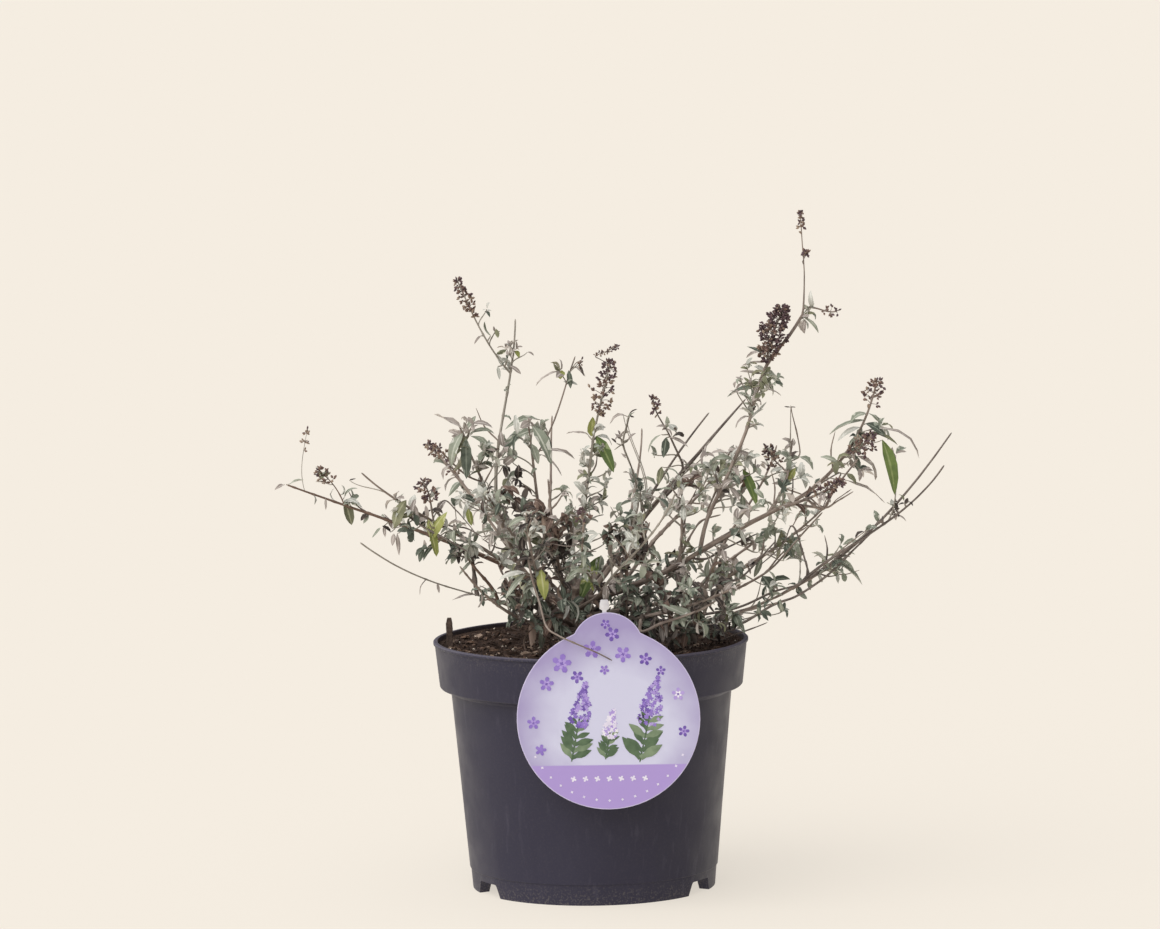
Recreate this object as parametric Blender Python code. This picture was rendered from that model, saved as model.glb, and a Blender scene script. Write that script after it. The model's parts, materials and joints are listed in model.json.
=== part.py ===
"""Butterfly bush in winter, in its round nursery pot with a hanging label.

Metres, +Z up. The origin is the centre of the pot's flat underside, and the label hangs at the front, on -Y.
The bush is a short woody foot in the soil, boughs that fork from it, and masses of twigs, leaves and dry
flower spikes that carry each bough on. A bough or shoot is one curve from where it leaves to its tip,
so that it is set by its tip, the slope that it arrives with and its thickness. Lengths in the tables are mm.
"""

import math
import random
from dataclasses import dataclass

import bmesh
import bpy
import numpy as np
from mathutils import Matrix, Vector
from mathutils.bvhtree import BVHTree

MM = 0.001
GAP = 0.3 * MM

# Pot
RIM_RADIUS = 95 * MM
POT_HEIGHT = 150 * MM
BAND_HEIGHT = 28 * MM
BAND_FOOT_RADIUS = 91.4 * MM
BODY_TOP_RADIUS = 84.6 * MM
BODY_FOOT_RADIUS = 74 * MM
LEDGE_HEIGHT = 12 * MM
LEDGE_DEPTH = 0.7 * MM
WALL = 1.8 * MM
CHANNEL_HEIGHT = 8 * MM
CHANNEL_INNER_RADIUS = 52 * MM
CHANNEL_OUTER_RADIUS = 66 * MM
POT_SEGMENTS = 36
NOTCH_ANGLES = (60, 120, 240, 300)
NOTCH_WIDTH = 15 * MM
DRAIN_HOLES = 4
DRAIN_RADIUS = 4.5 * MM

# Soil
SOIL_LEVEL = 142 * MM
SOIL_ROUGHNESS = 1.6 * MM
BARK_CHIP = (3.0 * MM, 5.0 * MM, 26 * MM)
BARK_CHIP_PLACE = (-87.5 * MM, -4 * MM)

# Label and its stake
LABEL_CENTRE = (9.6 * MM, 115.3 * MM)
LABEL_RADIUS = 53.8 * MM
LABEL_HEAD_RADIUS = 21.2 * MM
LABEL_HEAD_RISE = 41.6 * MM
LABEL_SHOULDER = 27 * MM
LABEL_THICKNESS = 0.6 * MM
LABEL_FACE = -RIM_RADIUS - GAP
STAKE_WIDTH = 3.6 * MM
STAKE_THICKNESS = 1.2 * MM
STAKE_TOP = 184.5 * MM
STAKE_SHIFT = -1.5 * MM
STAKE_BARB = (5.8 * MM, 4.2 * MM)

# Woody foot
FOOT_PLACE = Vector((-8 * MM, 0, SOIL_LEVEL))
FOOT_HEIGHT = 34 * MM
FOOT_RADIUS = 12.5 * MM
FOOT_TOP_RADIUS = 7.0 * MM
FOOT_SIDES = 9
STUB_REACH = 15 * MM
STUB_SWELL = 1.25

# Growth
CLEARANCE = 0.9 * MM
LIMB_SIDES = 5
TWIG_SIDES = 3
STEM_SEGMENTS = 6
TWIG_RADIUS = 0.5 * MM
SHOOT_ANGLE = math.radians(50)
TWIG_ANGLE = math.radians(52)
LEAF_ANGLE = math.radians(62)
LEAF_SLENDERNESS = 0.31
LEAF_FOLD = 0.07
CAPSULE = 2.6 * MM


@dataclass(frozen=True)
class Bough:
    """A limb from the woody foot, or from another bough, to the place where foliage takes over."""

    name: str
    tip: tuple
    leave: float
    arrive: float
    radius: float
    tip_radius: float
    launch: float = 20
    parent: str = ""


@dataclass(frozen=True)
class Fork:
    """A long side twig of a mass, that leaves its stem at a share of the stem's length."""

    at: float
    tip: tuple
    arrive: float
    leaves: int = 2
    bloom: float = 0
    radius: float = 0.6


@dataclass(frozen=True)
class Mass:
    """A shoot with its twigs, leaves and dry flower spike.

    It leaves its bough at a distance back from the bough's tip, or the woody foot at its launch height.
    """

    name: str
    bough: str
    tip: tuple
    arrive: float
    radius: float
    leaves: int
    leaf: float = 22
    bare: float = 0.15
    twigs: int = 1
    reach: float = 16
    droop: float = 35
    bloom: float = 0
    back: float = 0
    launch: float = 14
    leave: float = 14
    forks: tuple = ()


BOUGHS = (
    Bough("bough_left_low", (-60, -17, 177), 8, 16, 2.2, 1.5, launch=12),
    Bough("bough_left_long", (-54, -5, 197), 34, 24, 2.4, 1.6, launch=20),
    Bough("bough_left_tall", (-47, 24, 200), 30, 60, 2.3, 1.5, launch=24),
    Bough("bough_centre_back", (26, 30, 212), 46, 54, 2.3, 1.6, launch=30),
    Bough("bough_stub", (45, 14, 235), 44, 46, 2.8, 2.2, launch=26),
    Bough("bough_right", (66, -13, 203), 12, 32, 3.0, 2.4, launch=30),
    Bough("bough_right_outer", (116, -25, 231), 30, 26, 2.3, 1.7, parent="bough_right"),
    Bough("bough_right_back", (74, 35, 177), 8, 22, 2.3, 1.6, launch=20),
    Bough("bough_far_right", (131, 12, 182), 3, 32, 2.4, 1.6, launch=10),
    Bough("bough_front", (8, -60, 188), 24, 30, 1.9, 1.4, launch=24),
    Bough("bough_back_left", (-36, 66, 187), 18, 30, 2.2, 1.5, launch=16),
    Bough("bough_back_right", (32, 70, 190), 16, 32, 2.3, 1.5, launch=16),
)

MASSES = (
    Mass("whip_left", "bough_left_low", (-135, -68, 218), 36, 1.2, 6, leaf=14, bare=0.2, twigs=0),
    Mass("tuft_left_low", "bough_left_low", (-76, -30, 212), 76, 1.1, 8, leaf=24, twigs=2, reach=12, back=5),
    Mass(
        "shoot_left_long", "bough_left_long", (-180, -30, 249), 22, 1.6, 10, leaf=20, reach=13, bare=0.1,
        forks=(
            Fork(0.58, (-158, -38, 256), 40, leaves=4, bloom=11),
            Fork(0.88, (-172, -28, 272), 84, leaves=1),
        ),
    ),
    Mass(
        "shoot_left_mid", "bough_left_long", (-134, -56, 258), 42, 1.2, 9, leaf=23, reach=12, back=5,
        forks=(Fork(0.55, (-99, -36, 251), 50, leaves=3, bloom=16),),
    ),
    Mass(
        "shoot_left_tall", "bough_left_tall", (-43, 45, 340), 84, 1.5, 10, leaf=22, twigs=2, reach=14, bare=0.0,
        forks=(Fork(0.78, (-78, 32, 366), 66, leaves=5, bloom=24),),
    ),
    Mass(
        "shoot_left_upper", "bough_left_tall", (-77, -8, 281), 66, 1.3, 12, leaf=26, twigs=2, reach=15, back=5,
        forks=(Fork(0.6, (-93, -14, 270), 35, leaves=1, bloom=12),),
    ),
    Mass("shoot_left_back", "bough_left_tall", (-98, 74, 262), 36, 1.2, 9, leaf=24, bloom=12, back=11),
    Mass(
        "shoot_left_inner", "", (-36, 4, 282), 82, 1.7, 16, leaf=26, twigs=2, reach=16, launch=30, leave=52,
        forks=(Fork(0.8, (-7, 30, 318), 62, leaves=4),),
    ),
    Mass("tuft_dry", "", (-60, -30, 240), 56, 1.5, 16, leaf=26, twigs=2, reach=12, launch=26, leave=40),
    Mass("shoot_centre", "", (13, -45, 321), 80, 1.7, 16, leaf=26, twigs=2, reach=14, bloom=33, launch=32, leave=56),
    Mass("tuft_centre", "", (-24, -50, 252), 76, 1.4, 14, leaf=27, twigs=2, reach=12, launch=22, leave=24),
    Mass("tuft_centre_right", "", (36, -38, 224), 66, 1.4, 14, leaf=27, twigs=2, reach=12, launch=24, leave=30),
    Mass("tuft_centre_back", "", (-10, 58, 222), 66, 1.4, 14, leaf=27, twigs=2, reach=12, launch=22, leave=24),
    Mass("shoot_centre_back", "bough_centre_back", (27, 64, 284), 72, 1.2, 10, leaf=24, twigs=2, back=5),
    Mass("stick_centre", "bough_centre_back", (74, 46, 281), 48, 1.3, 6, leaf=22, bare=0.1),
    Mass("stick_stub", "bough_stub", (96, 35, 290), 44, 2.1, 4, leaf=20, bare=0.2, twigs=0),
    Mass("shoot_stub", "bough_stub", (38, -24, 297), 66, 1.1, 9, leaf=22, bare=0.15, twigs=2, bloom=15, back=4),
    Mass(
        "shoot_tall", "bough_right", (129, 26, 406), 88, 1.8, 14, leaf=24, bare=0.2, twigs=2, reach=15, bloom=16,
        forks=(
            Fork(0.58, (116, 6, 350), 76, leaves=2, bloom=31, radius=0.8),
            Fork(0.74, (152, 14, 345), 30, leaves=2, bloom=8),
        ),
        back=6,
    ),
    Mass("shoot_right_inner", "bough_right", (56, -16, 246), 84, 1.2, 12, leaf=23, bare=0.1, twigs=2, back=14),
    Mass(
        "shoot_right", "bough_right_outer", (172, -36, 307), 78, 1.5, 10, leaf=27, bare=0.2, twigs=2, bloom=16,
        forks=(Fork(0.55, (180, -16, 270), 40, leaves=3, bloom=14),),
    ),
    Mass("shoot_right_dry", "bough_right_outer", (150, -68, 251), 30, 1.2, 8, leaf=22, bloom=18, back=4),
    Mass(
        "shoot_right_leafy", "bough_right_outer", (124, 28, 266), 64, 1.2, 8, leaf=25, reach=14, back=10,
        forks=(Fork(0.6, (108, 22, 262), 60, leaves=1, bloom=13),),
    ),
    Mass("shoot_right_back", "bough_right_back", (144, 66, 219), 38, 1.4, 11, leaf=23),
    Mass("shoot_right_back_up", "bough_right_back", (124, 74, 280), 80, 1.2, 12, leaf=24, back=4),
    Mass("shoot_right_back_low", "bough_right_back", (116, 104, 206), 26, 1.2, 10, leaf=23, back=9),
    Mass("whip_right", "bough_far_right", (220, 22, 269), 54, 1.4, 7, leaf=20, bare=0.15, reach=10),
    Mass("whip_right_front", "bough_far_right", (211, -42, 256), 54, 1.2, 7, leaf=20, back=5),
    Mass("tuft_right_low", "bough_far_right", (160, 44, 194), 24, 1.1, 9, leaf=23, back=10),
    Mass("shoot_front_right", "", (88, -84, 192), 26, 1.7, 14, leaf=25, bare=0.25, launch=13, leave=14),
    Mass("shoot_front_left", "", (-37, -74, 236), 84, 1.7, 14, leaf=25, bare=0.25, launch=16, leave=8),
    Mass("shoot_front_low", "", (-76, -92, 206), 44, 1.6, 12, leaf=24, bare=0.35, launch=12, leave=8),
    Mass("shoot_front", "bough_front", (-4, -134, 244), 56, 1.2, 9, leaf=24, bloom=14, back=4),
    Mass("shoot_front_side", "bough_front", (50, -118, 250), 58, 1.2, 11, leaf=24),
    Mass("shoot_back_far", "bough_back_left", (-88, 150, 244), 42, 1.3, 9, leaf=24, bloom=14),
    Mass("shoot_back_left", "bough_back_left", (-22, 136, 272), 66, 1.2, 9, leaf=24, back=5),
    Mass("shoot_back_right", "bough_back_right", (92, 156, 250), 46, 1.3, 9, leaf=24),
    Mass("shoot_back_mid", "bough_back_right", (34, 128, 290), 74, 1.2, 9, leaf=24, bloom=18, back=5),
    Mass("tuft_foot_left", "", (-52, -42, 190), 60, 1.4, 12, leaf=27, bare=0.25, twigs=2, reach=13),
    Mass("tuft_foot_front", "", (62, -44, 190), 60, 1.4, 12, leaf=27, bare=0.25, twigs=2, reach=13),
    Mass("tuft_foot_right", "", (58, 62, 194), 50, 1.4, 12, leaf=27, bare=0.25, twigs=2, reach=13),
    Mass("tuft_foot_back", "", (-56, 48, 190), 60, 1.4, 12, leaf=27, bare=0.25, twigs=2, reach=13),
)


def clear_scene():
    """Removes what the scene starts with."""
    for item in list(bpy.data.objects):
        bpy.data.objects.remove(item)


def material(name, colour, roughness):
    """A plain finish."""
    made = bpy.data.materials.new(name)
    made.use_nodes = True
    shader = made.node_tree.nodes["Principled BSDF"]
    shader.inputs["Base Color"].default_value = (*colour, 1)
    shader.inputs["Roughness"].default_value = roughness
    shader.inputs["Metallic"].default_value = 0
    made.diffuse_color = (*colour, 1)
    return made


def add_object(name, mesh, finish=None, place=(0, 0, 0)):
    """Puts a mesh in the scene as an object of that name."""
    made = bpy.data.objects.new(name, mesh)
    made.location = place
    bpy.context.scene.collection.objects.link(made)
    if finish:
        made.data.materials.append(finish)
    return made


def shade_round(body, degrees):
    """Shades an object smooth, with sharp edges where its faces meet at more than an angle."""
    body.data.shade_smooth()
    body.data.set_sharp_from_angle(angle=math.radians(degrees))


def mesh_from(name, points, faces):
    """A mesh from points and faces, with its faces turned outwards."""
    mesh = bpy.data.meshes.new(name)
    mesh.from_pydata([tuple(point) for point in points], [], faces)
    shape = bmesh.new()
    shape.from_mesh(mesh)
    bmesh.ops.recalc_face_normals(shape, faces=shape.faces)
    shape.to_mesh(mesh)
    shape.free()
    return mesh


def applied(body):
    """Makes an object's modifiers part of its mesh."""
    graph = bpy.context.evaluated_depsgraph_get()
    mesh = bpy.data.meshes.new_from_object(body.evaluated_get(graph))
    body.modifiers.clear()
    body.data = mesh


def boolean(body, others, operation, solver="EXACT"):
    """Joins the other objects to the body, or cuts them from it, and removes them."""
    helpers = bpy.data.collections.new(body.name + "_pieces")
    bpy.context.scene.collection.children.link(helpers)
    for other in others:
        helpers.objects.link(other)
        bpy.context.scene.collection.objects.unlink(other)
    change = body.modifiers.new("change", "BOOLEAN")
    change.operation = operation
    change.operand_type = "COLLECTION"
    change.collection = helpers
    change.solver = solver
    applied(body)
    for other in others:
        bpy.data.objects.remove(other)
    bpy.data.collections.remove(helpers)


def keep_largest(body):
    """Drops the loose scraps and the sealed hollows that a union can leave."""
    shape = bmesh.new()
    shape.from_mesh(body.data)
    bmesh.ops.triangulate(shape, faces=shape.faces)
    left = set(shape.verts)
    groups = []
    while left:
        group, edge = set(), [left.pop()]
        while edge:
            vertex = edge.pop()
            group.add(vertex)
            near = [link.other_vert(vertex) for link in vertex.link_edges]
            fresh = [other for other in near if other in left]
            left.difference_update(fresh)
            edge.extend(fresh)
        groups.append(group)
    groups.sort(key=len)
    for group in groups[:-1]:
        bmesh.ops.delete(shape, geom=list(group), context="VERTS")
    shape.to_mesh(body.data)
    shape.free()


def turned(name, profile, segments):
    """A solid of revolution about Z from (radius, height) points that start and end on the axis."""
    shape = bmesh.new()
    points = [shape.verts.new((radius, 0, height)) for radius, height in profile]
    edges = [shape.edges.new(pair) for pair in zip(points, points[1:])]
    bmesh.ops.spin(
        shape, geom=points + edges, cent=(0, 0, 0), axis=(0, 0, 1), angle=math.tau, steps=segments,
        use_merge=True, use_duplicate=False,
    )
    bmesh.ops.remove_doubles(shape, verts=shape.verts, dist=1e-6)
    bmesh.ops.recalc_face_normals(shape, faces=shape.faces)
    mesh = bpy.data.meshes.new(name)
    shape.to_mesh(mesh)
    shape.free()
    return mesh


def prism(outline, low, high, axis="Z"):
    """An outline's mesh, thick from low to high along an axis. On Y the outline is in X and Z."""
    place = (lambda a, b, c: (a, b, c)) if axis == "Z" else (lambda a, b, c: (a, c, b))
    points = [place(a, b, level) for level in (low, high) for a, b in outline]
    count = len(outline)
    faces = [list(range(count)), list(range(count, 2 * count))]
    for i in range(count):
        j = (i + 1) % count
        faces.append([i, j, count + j, count + i])
    return mesh_from("prism", points, faces)


# Pot, soil and label


def wall_radius(height):
    """The body's outer radius at a height, below the band and above the foot ledge."""
    top = POT_HEIGHT - BAND_HEIGHT
    return BODY_FOOT_RADIUS + (BODY_TOP_RADIUS - BODY_FOOT_RADIUS) * height / top


def pot_inside(clear):
    """The (radius, height) points inside the pot, from its rim down to the axis, moved in by clear."""
    band_foot = POT_HEIGHT - BAND_HEIGHT
    floor = CHANNEL_HEIGHT + WALL + clear
    return [
        (RIM_RADIUS - 1.4 * WALL - clear, POT_HEIGHT),
        (BAND_FOOT_RADIUS - WALL - clear, band_foot + WALL + clear),
        (BODY_TOP_RADIUS - WALL - clear, band_foot - WALL + clear),
        (wall_radius(floor) - WALL - clear, floor),
        (CHANNEL_INNER_RADIUS - WALL - clear, floor),
        (CHANNEL_INNER_RADIUS - 2 * WALL - clear, WALL + clear),
        (0, WALL + clear),
    ]


def build_pot(finish):
    """The pot: a banded rim, a tapered body, a foot with drain notches and a flat underside."""
    band_foot = POT_HEIGHT - BAND_HEIGHT
    lip = 0.5 * WALL
    outside = [
        (0, 0),
        (CHANNEL_INNER_RADIUS - WALL, 0),
        (CHANNEL_INNER_RADIUS, CHANNEL_HEIGHT),
        (CHANNEL_OUTER_RADIUS, CHANNEL_HEIGHT),
        (CHANNEL_OUTER_RADIUS + lip, 0),
        (BODY_FOOT_RADIUS - LEDGE_DEPTH, 0),
        (wall_radius(LEDGE_HEIGHT) - LEDGE_DEPTH, LEDGE_HEIGHT),
        (wall_radius(LEDGE_HEIGHT), LEDGE_HEIGHT + LEDGE_DEPTH),
        (BODY_TOP_RADIUS, band_foot - 3 * MM),
        (BAND_FOOT_RADIUS, band_foot),
        (RIM_RADIUS - lip, POT_HEIGHT - 2 * lip),
        (RIM_RADIUS, POT_HEIGHT - lip),
        (RIM_RADIUS - lip, POT_HEIGHT),
    ]
    pot = add_object("pot", turned("pot", outside + pot_inside(0), POT_SEGMENTS), finish)
    cutters = []
    for angle in NOTCH_ANGLES:
        half, top = NOTCH_WIDTH / 2, 0.7 * NOTCH_WIDTH / 2
        outline = [(-half, -1 * MM), (half, -1 * MM), (top, CHANNEL_HEIGHT), (-top, CHANNEL_HEIGHT)]
        mesh = prism(outline, -BODY_TOP_RADIUS, -CHANNEL_OUTER_RADIUS + 3 * MM, axis="Y")
        mesh.transform(Matrix.Rotation(math.radians(angle), 4, "Z"))
        cutters.append(add_object("notch", mesh))
    for i in range(DRAIN_HOLES):
        angle = math.tau * (i + 0.5) / DRAIN_HOLES
        middle = (CHANNEL_INNER_RADIUS + CHANNEL_OUTER_RADIUS) / 2
        outline = [
            (
                middle * math.cos(angle) + DRAIN_RADIUS * math.cos(turn),
                middle * math.sin(angle) + DRAIN_RADIUS * math.sin(turn),
            )
            for turn in (math.tau * k / 8 for k in range(8))
        ]
        cutters.append(add_object("drain", prism(outline, CHANNEL_HEIGHT - WALL, CHANNEL_HEIGHT + 2 * WALL)))
    boolean(pot, cutters, "DIFFERENCE")
    keep_largest(pot)
    shade_round(pot, 30)


def build_soil(finish):
    """The soil that fills the pot to just under its rim, with a bark chip that stands up at the left."""
    rng = random.Random("soil")
    rim = pot_inside(GAP)[1:]
    top_radius = np.interp(SOIL_LEVEL, [POT_HEIGHT - BAND_HEIGHT, POT_HEIGHT], [rim[0][0], RIM_RADIUS - 1.4 * WALL - GAP])
    rings = [0, 0.28, 0.64, 1]
    top = [(share * top_radius, SOIL_LEVEL) for share in rings]
    mesh = turned("soil", top + rim, POT_SEGMENTS)
    flat = 2.6 * FOOT_RADIUS
    for vertex in mesh.vertices:
        place = Vector((vertex.co.x, vertex.co.y))
        near_foot = (place - FOOT_PLACE.to_2d()).length < flat
        if abs(vertex.co.z - SOIL_LEVEL) < MM and place.length > 1 * MM and not near_foot:
            lift = 1 if place.length > 0.9 * top_radius else rng.uniform(-1, 1)
            vertex.co.z += SOIL_ROUGHNESS * lift * (0.4 if lift == 1 else 1)
    soil = add_object("soil", mesh, finish)
    thick, wide, tall = BARK_CHIP
    x, y = BARK_CHIP_PLACE
    foot = [(x, y - wide / 2), (x + thick, y - wide / 3), (x + thick, y + wide / 3), (x, y + wide / 2)]
    chip = prism(foot, SOIL_LEVEL - 4 * MM, SOIL_LEVEL + tall)
    for vertex in chip.vertices:
        if vertex.co.z > SOIL_LEVEL:
            vertex.co.y = y + (vertex.co.y - y) * 0.5
            vertex.co.x += 0.6 * MM
    boolean(soil, [add_object("chip", chip)], "UNION")
    keep_largest(soil)


def label_outline():
    """The label's outline in X and Z about its disc's centre: a disc with a smaller round head on its shoulders."""
    meet = math.asin(LABEL_SHOULDER / LABEL_RADIUS)
    points = []
    for i in range(33):
        turn = meet + (math.tau - 2 * meet) * i / 32
        points.append((LABEL_RADIUS * math.sin(turn), LABEL_RADIUS * math.cos(turn)))
    drop = LABEL_HEAD_RISE - LABEL_RADIUS * math.cos(meet) - 4 * MM
    start = math.acos(-drop / LABEL_HEAD_RADIUS)
    for i in range(13):
        turn = -start + 2 * start * i / 12
        points.append((LABEL_HEAD_RADIUS * math.sin(turn), LABEL_HEAD_RISE + LABEL_HEAD_RADIUS * math.cos(turn)))
    return points


def build_label(finish, stake_finish):
    """The thin label in front of the rim, hung on the barbed stake that stands in the soil behind it."""
    x, z = LABEL_CENTRE
    mesh = prism(label_outline(), -LABEL_THICKNESS, 0, axis="Y")
    add_object("label", mesh, finish, place=(x, LABEL_FACE, z))
    inner = RIM_RADIUS - 1.4 * WALL - 2 * GAP
    rows = [
        (-inner + 2.2 * MM, SOIL_LEVEL + 1.5 * MM, STAKE_WIDTH),
        (-inner + 1.6 * MM, POT_HEIGHT + 1 * MM, STAKE_WIDTH),
        (LABEL_FACE + GAP + STAKE_THICKNESS, POT_HEIGHT + 12 * MM, STAKE_WIDTH),
        (LABEL_FACE + GAP + STAKE_THICKNESS, STAKE_TOP - 5 * MM, STAKE_WIDTH),
        (LABEL_FACE + GAP + STAKE_THICKNESS, STAKE_TOP - 4.9 * MM, STAKE_BARB[0]),
        (LABEL_FACE + GAP + STAKE_THICKNESS, STAKE_TOP + 1 * MM, STAKE_BARB[1]),
    ]
    points = []
    for depth, height, width in rows:
        for side, layer in ((-1, 0), (1, 0), (1, 1), (-1, 1)):
            points.append((side * width / 2, depth - layer * STAKE_THICKNESS, height))
    faces = [[0, 1, 2, 3], [4 * len(rows) - 4 + k for k in range(4)]]
    for row in range(len(rows) - 1):
        for k in range(4):
            a, b = 4 * row + k, 4 * row + (k + 1) % 4
            faces.append([a, b, b + 4, a + 4])
    add_object("label_stake", mesh_from("label_stake", points, faces), stake_finish, place=(x + STAKE_SHIFT, 0, 0))


# Curves of limbs


def slope(heading, degrees):
    """A direction that climbs at an angle over a level heading."""
    angle = math.radians(degrees)
    return Vector((heading.x * math.cos(angle), heading.y * math.cos(angle), math.sin(angle)))


def bent(start, first, tip, last, count):
    """Points along a smooth curve that leaves start along first and arrives at tip along last."""
    pull = (tip - start).length * 0.36
    handles = (start, start + first * pull, tip - last * pull, tip)
    points = []
    for i in range(count + 1):
        t = i / count
        shares = ((1 - t) ** 3, 3 * t * (1 - t) ** 2, 3 * t * t * (1 - t), t**3)
        points.append(sum((handle * share for handle, share in zip(handles, shares)), Vector()))
    return points


def heading(start, tip):
    """The level direction from start to tip."""
    level = Vector((tip.x - start.x, tip.y - start.y, 0))
    return level.normalized() if level.length > MM else Vector((0, 1, 0))


@dataclass
class Limb:
    """A curve with a radius at each of its points. group names the node it belongs to."""

    group: str
    points: list
    radii: list

    def length(self):
        """The curve's length."""
        return sum((b - a).length for a, b in zip(self.points, self.points[1:]))

    def at(self, share):
        """The point, direction and radius at a share of the curve."""
        place = min(max(share, 0), 0.9999) * (len(self.points) - 1)
        i = int(place)
        part = place - i
        step = self.points[i + 1] - self.points[i]
        radius = self.radii[i] + (self.radii[i + 1] - self.radii[i]) * part
        return self.points[i] + step * part, step.normalized(), radius

    def trimmed(self, share, count):
        """The rest of the curve from a share of it, as a new limb of count segments."""
        shares = [share + (1 - share) * i / count for i in range(count + 1)]
        found = [self.at(value) for value in shares]
        return Limb(self.group, [point for point, _, _ in found], [radius for _, _, radius in found])


def limb_between(group, start, first, tip, arrive, radius, tip_radius, count):
    """A tapering limb on a bent curve."""
    last = slope(heading(start, tip), arrive)
    points = bent(start, first, tip, last, count)
    radii = [radius + (tip_radius - radius) * i / count for i in range(count + 1)]
    return Limb(group, points, radii)


def distances(points, limb):
    """How far each point is from a limb's surface."""
    ends = np.array([tuple(point) for point in limb.points])
    starts, steps = ends[:-1], ends[1:] - ends[:-1]
    radii = np.array(limb.radii)
    offsets = points[:, None, :] - starts[None]
    shares = np.clip((offsets * steps).sum(2) / (steps**2).sum(1), 0, 1)
    nearest = offsets - shares[..., None] * steps
    surface = radii[:-1] + (radii[1:] - radii[:-1]) * shares
    return (np.sqrt((nearest**2).sum(2)) - surface).min(1)


def clear_share(limb, others, least):
    """The share of a limb from which it stays clear of the other limbs, or least if that is more."""
    shares = np.linspace(0, 1, 61)
    points = np.array([tuple(limb.at(value)[0]) for value in shares])
    radii = np.array([limb.at(value)[2] for value in shares])
    start = least
    for other in others:
        near = np.nonzero(distances(points, other) < radii + CLEARANCE)[0]
        if len(near):
            start = max(start, shares[min(near[-1] + 1, 60)])
    return start


def seated_share(limb, body, least):
    """The smallest share at which a stem can start just clear of the body that it leaves."""
    share = least
    while share < 0.6:
        mesh = tube(limb.trimmed(share, STEM_SEGMENTS), TWIG_SIDES)
        first = [vertex.co for vertex in mesh.vertices[:TWIG_SIDES]]
        second = [vertex.co for vertex in mesh.vertices[TWIG_SIDES : 2 * TWIG_SIDES]]
        points = [a.lerp(b, part / 12) for a, b in zip(first, second) for part in range(13)]
        points += [a.lerp(b, 0.5) for a, b in zip(first, first[1:] + first[:1])]
        clear = True
        for point in points:
            nearest, normal, _, gap = body.find_nearest(point)
            clear = clear and gap > GAP and (point - nearest).dot(normal) > 0
        if clear:
            return share
        share += 0.5 * GAP / limb.length()
    return share


def plan_boughs():
    """Each bough's whole curve from the middle of the foot, or from its parent's tip."""
    curves = {}
    for bough in BOUGHS:
        tip = Vector(bough.tip) * MM
        if bough.parent:
            start, first, _ = curves[bough.parent].at(1)
        else:
            start = FOOT_PLACE + Vector((0, 0, bough.launch * MM))
            first = slope(heading(start, tip), bough.leave)
        curves[bough.name] = limb_between(
            bough.name, start, first, tip, bough.arrive, bough.radius * MM, bough.tip_radius * MM, 24
        )
    return curves


def plan_shoots(curves):
    """Each mass's stem from its bough, or from the foot, and its forks from the stem."""
    skeletons = {}
    for mass in MASSES:
        tip = Vector(mass.tip) * MM
        if not mass.bough:
            start = FOOT_PLACE + Vector((0, 0, mass.launch * MM))
            first = slope(heading(start, tip), mass.leave)
        elif not mass.back:
            start, first, _ = curves[mass.bough].at(1)
        else:
            limb = curves[mass.bough]
            start, along, _ = limb.at(1 - mass.back * MM / limb.length())
            aside = (tip - start) - along * (tip - start).dot(along)
            first = along * math.cos(SHOOT_ANGLE) + aside.normalized() * math.sin(SHOOT_ANGLE)
        stem = limb_between(mass.name, start, first, tip, mass.arrive, mass.radius * MM, 0.5 * MM, 24)
        limbs = [stem]
        for fork in mass.forks:
            root, along, _ = stem.at(fork.at)
            end = Vector(fork.tip) * MM
            aside = (end - root) - along * (end - root).dot(along)
            out = along * math.cos(TWIG_ANGLE) + aside.normalized() * math.sin(TWIG_ANGLE)
            limbs.append(limb_between(mass.name, root, out, end, fork.arrive, fork.radius * MM, 0.45 * MM, 12))
        skeletons[mass.name] = limbs
    return skeletons


# Meshes of limbs, leaves and flower spikes


def tube(limb, sides, end_share=1.0):
    """A closed tapering tube round a limb's points."""
    points, faces = [], []
    side = limb.at(0)[1].orthogonal().normalized()
    last = len(limb.points) - 1
    for i, (centre, radius) in enumerate(zip(limb.points, limb.radii)):
        before, after = limb.points[max(i - 1, 0)], limb.points[min(i + 1, last)]
        along = (after - before).normalized()
        side = (side - along * side.dot(along)).normalized()
        up = along.cross(side)
        size = radius * (end_share if i == last else 1)
        for k in range(sides):
            turn = math.tau * k / sides
            points.append(centre + (side * math.cos(turn) + up * math.sin(turn)) * size)
    faces.append(list(range(sides)))
    faces.append(list(range(last * sides, last * sides + sides)))
    for i in range(last):
        for k in range(sides):
            a, b = i * sides + k, i * sides + (k + 1) % sides
            faces.append([a, b, b + sides, a + sides])
    return mesh_from(limb.group, points, faces)


def surface(mesh):
    """A mesh's faces as a tree that tells what crosses them and how near they are."""
    points = [vertex.co.copy() for vertex in mesh.vertices]
    return BVHTree.FromPolygons(points, [tuple(face.vertices) for face in mesh.polygons])


def leaf_points(root, along, normal, length, width, fold):
    """A leaf folded along its midrib, as four points: its root, its tip and its two lower edges."""
    side = along.cross(normal).normalized()
    middle = root + along * length * 0.42 - normal * fold
    return [root, root + along * length, middle + side * width / 2, middle - side * width / 2]


LEAF_FACES = [(0, 1, 2), (0, 3, 1), (0, 2, 3), (1, 3, 2)]


def samples(points):
    """Points all over a leaf, to test its place with."""
    root, tip, left, right = (np.array(tuple(point)) for point in points)
    found = []
    for share in np.linspace(0.15, 1, 7):
        found.append(root + (tip - root) * share)
        reach = share / 0.42 if share < 0.42 else (1 - share) / 0.58
        for edge in (left, right):
            along = root + (tip - root) * share
            found.append(along + (edge - (root + (tip - root) * 0.42)) * reach)
    return np.array(found)


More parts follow.
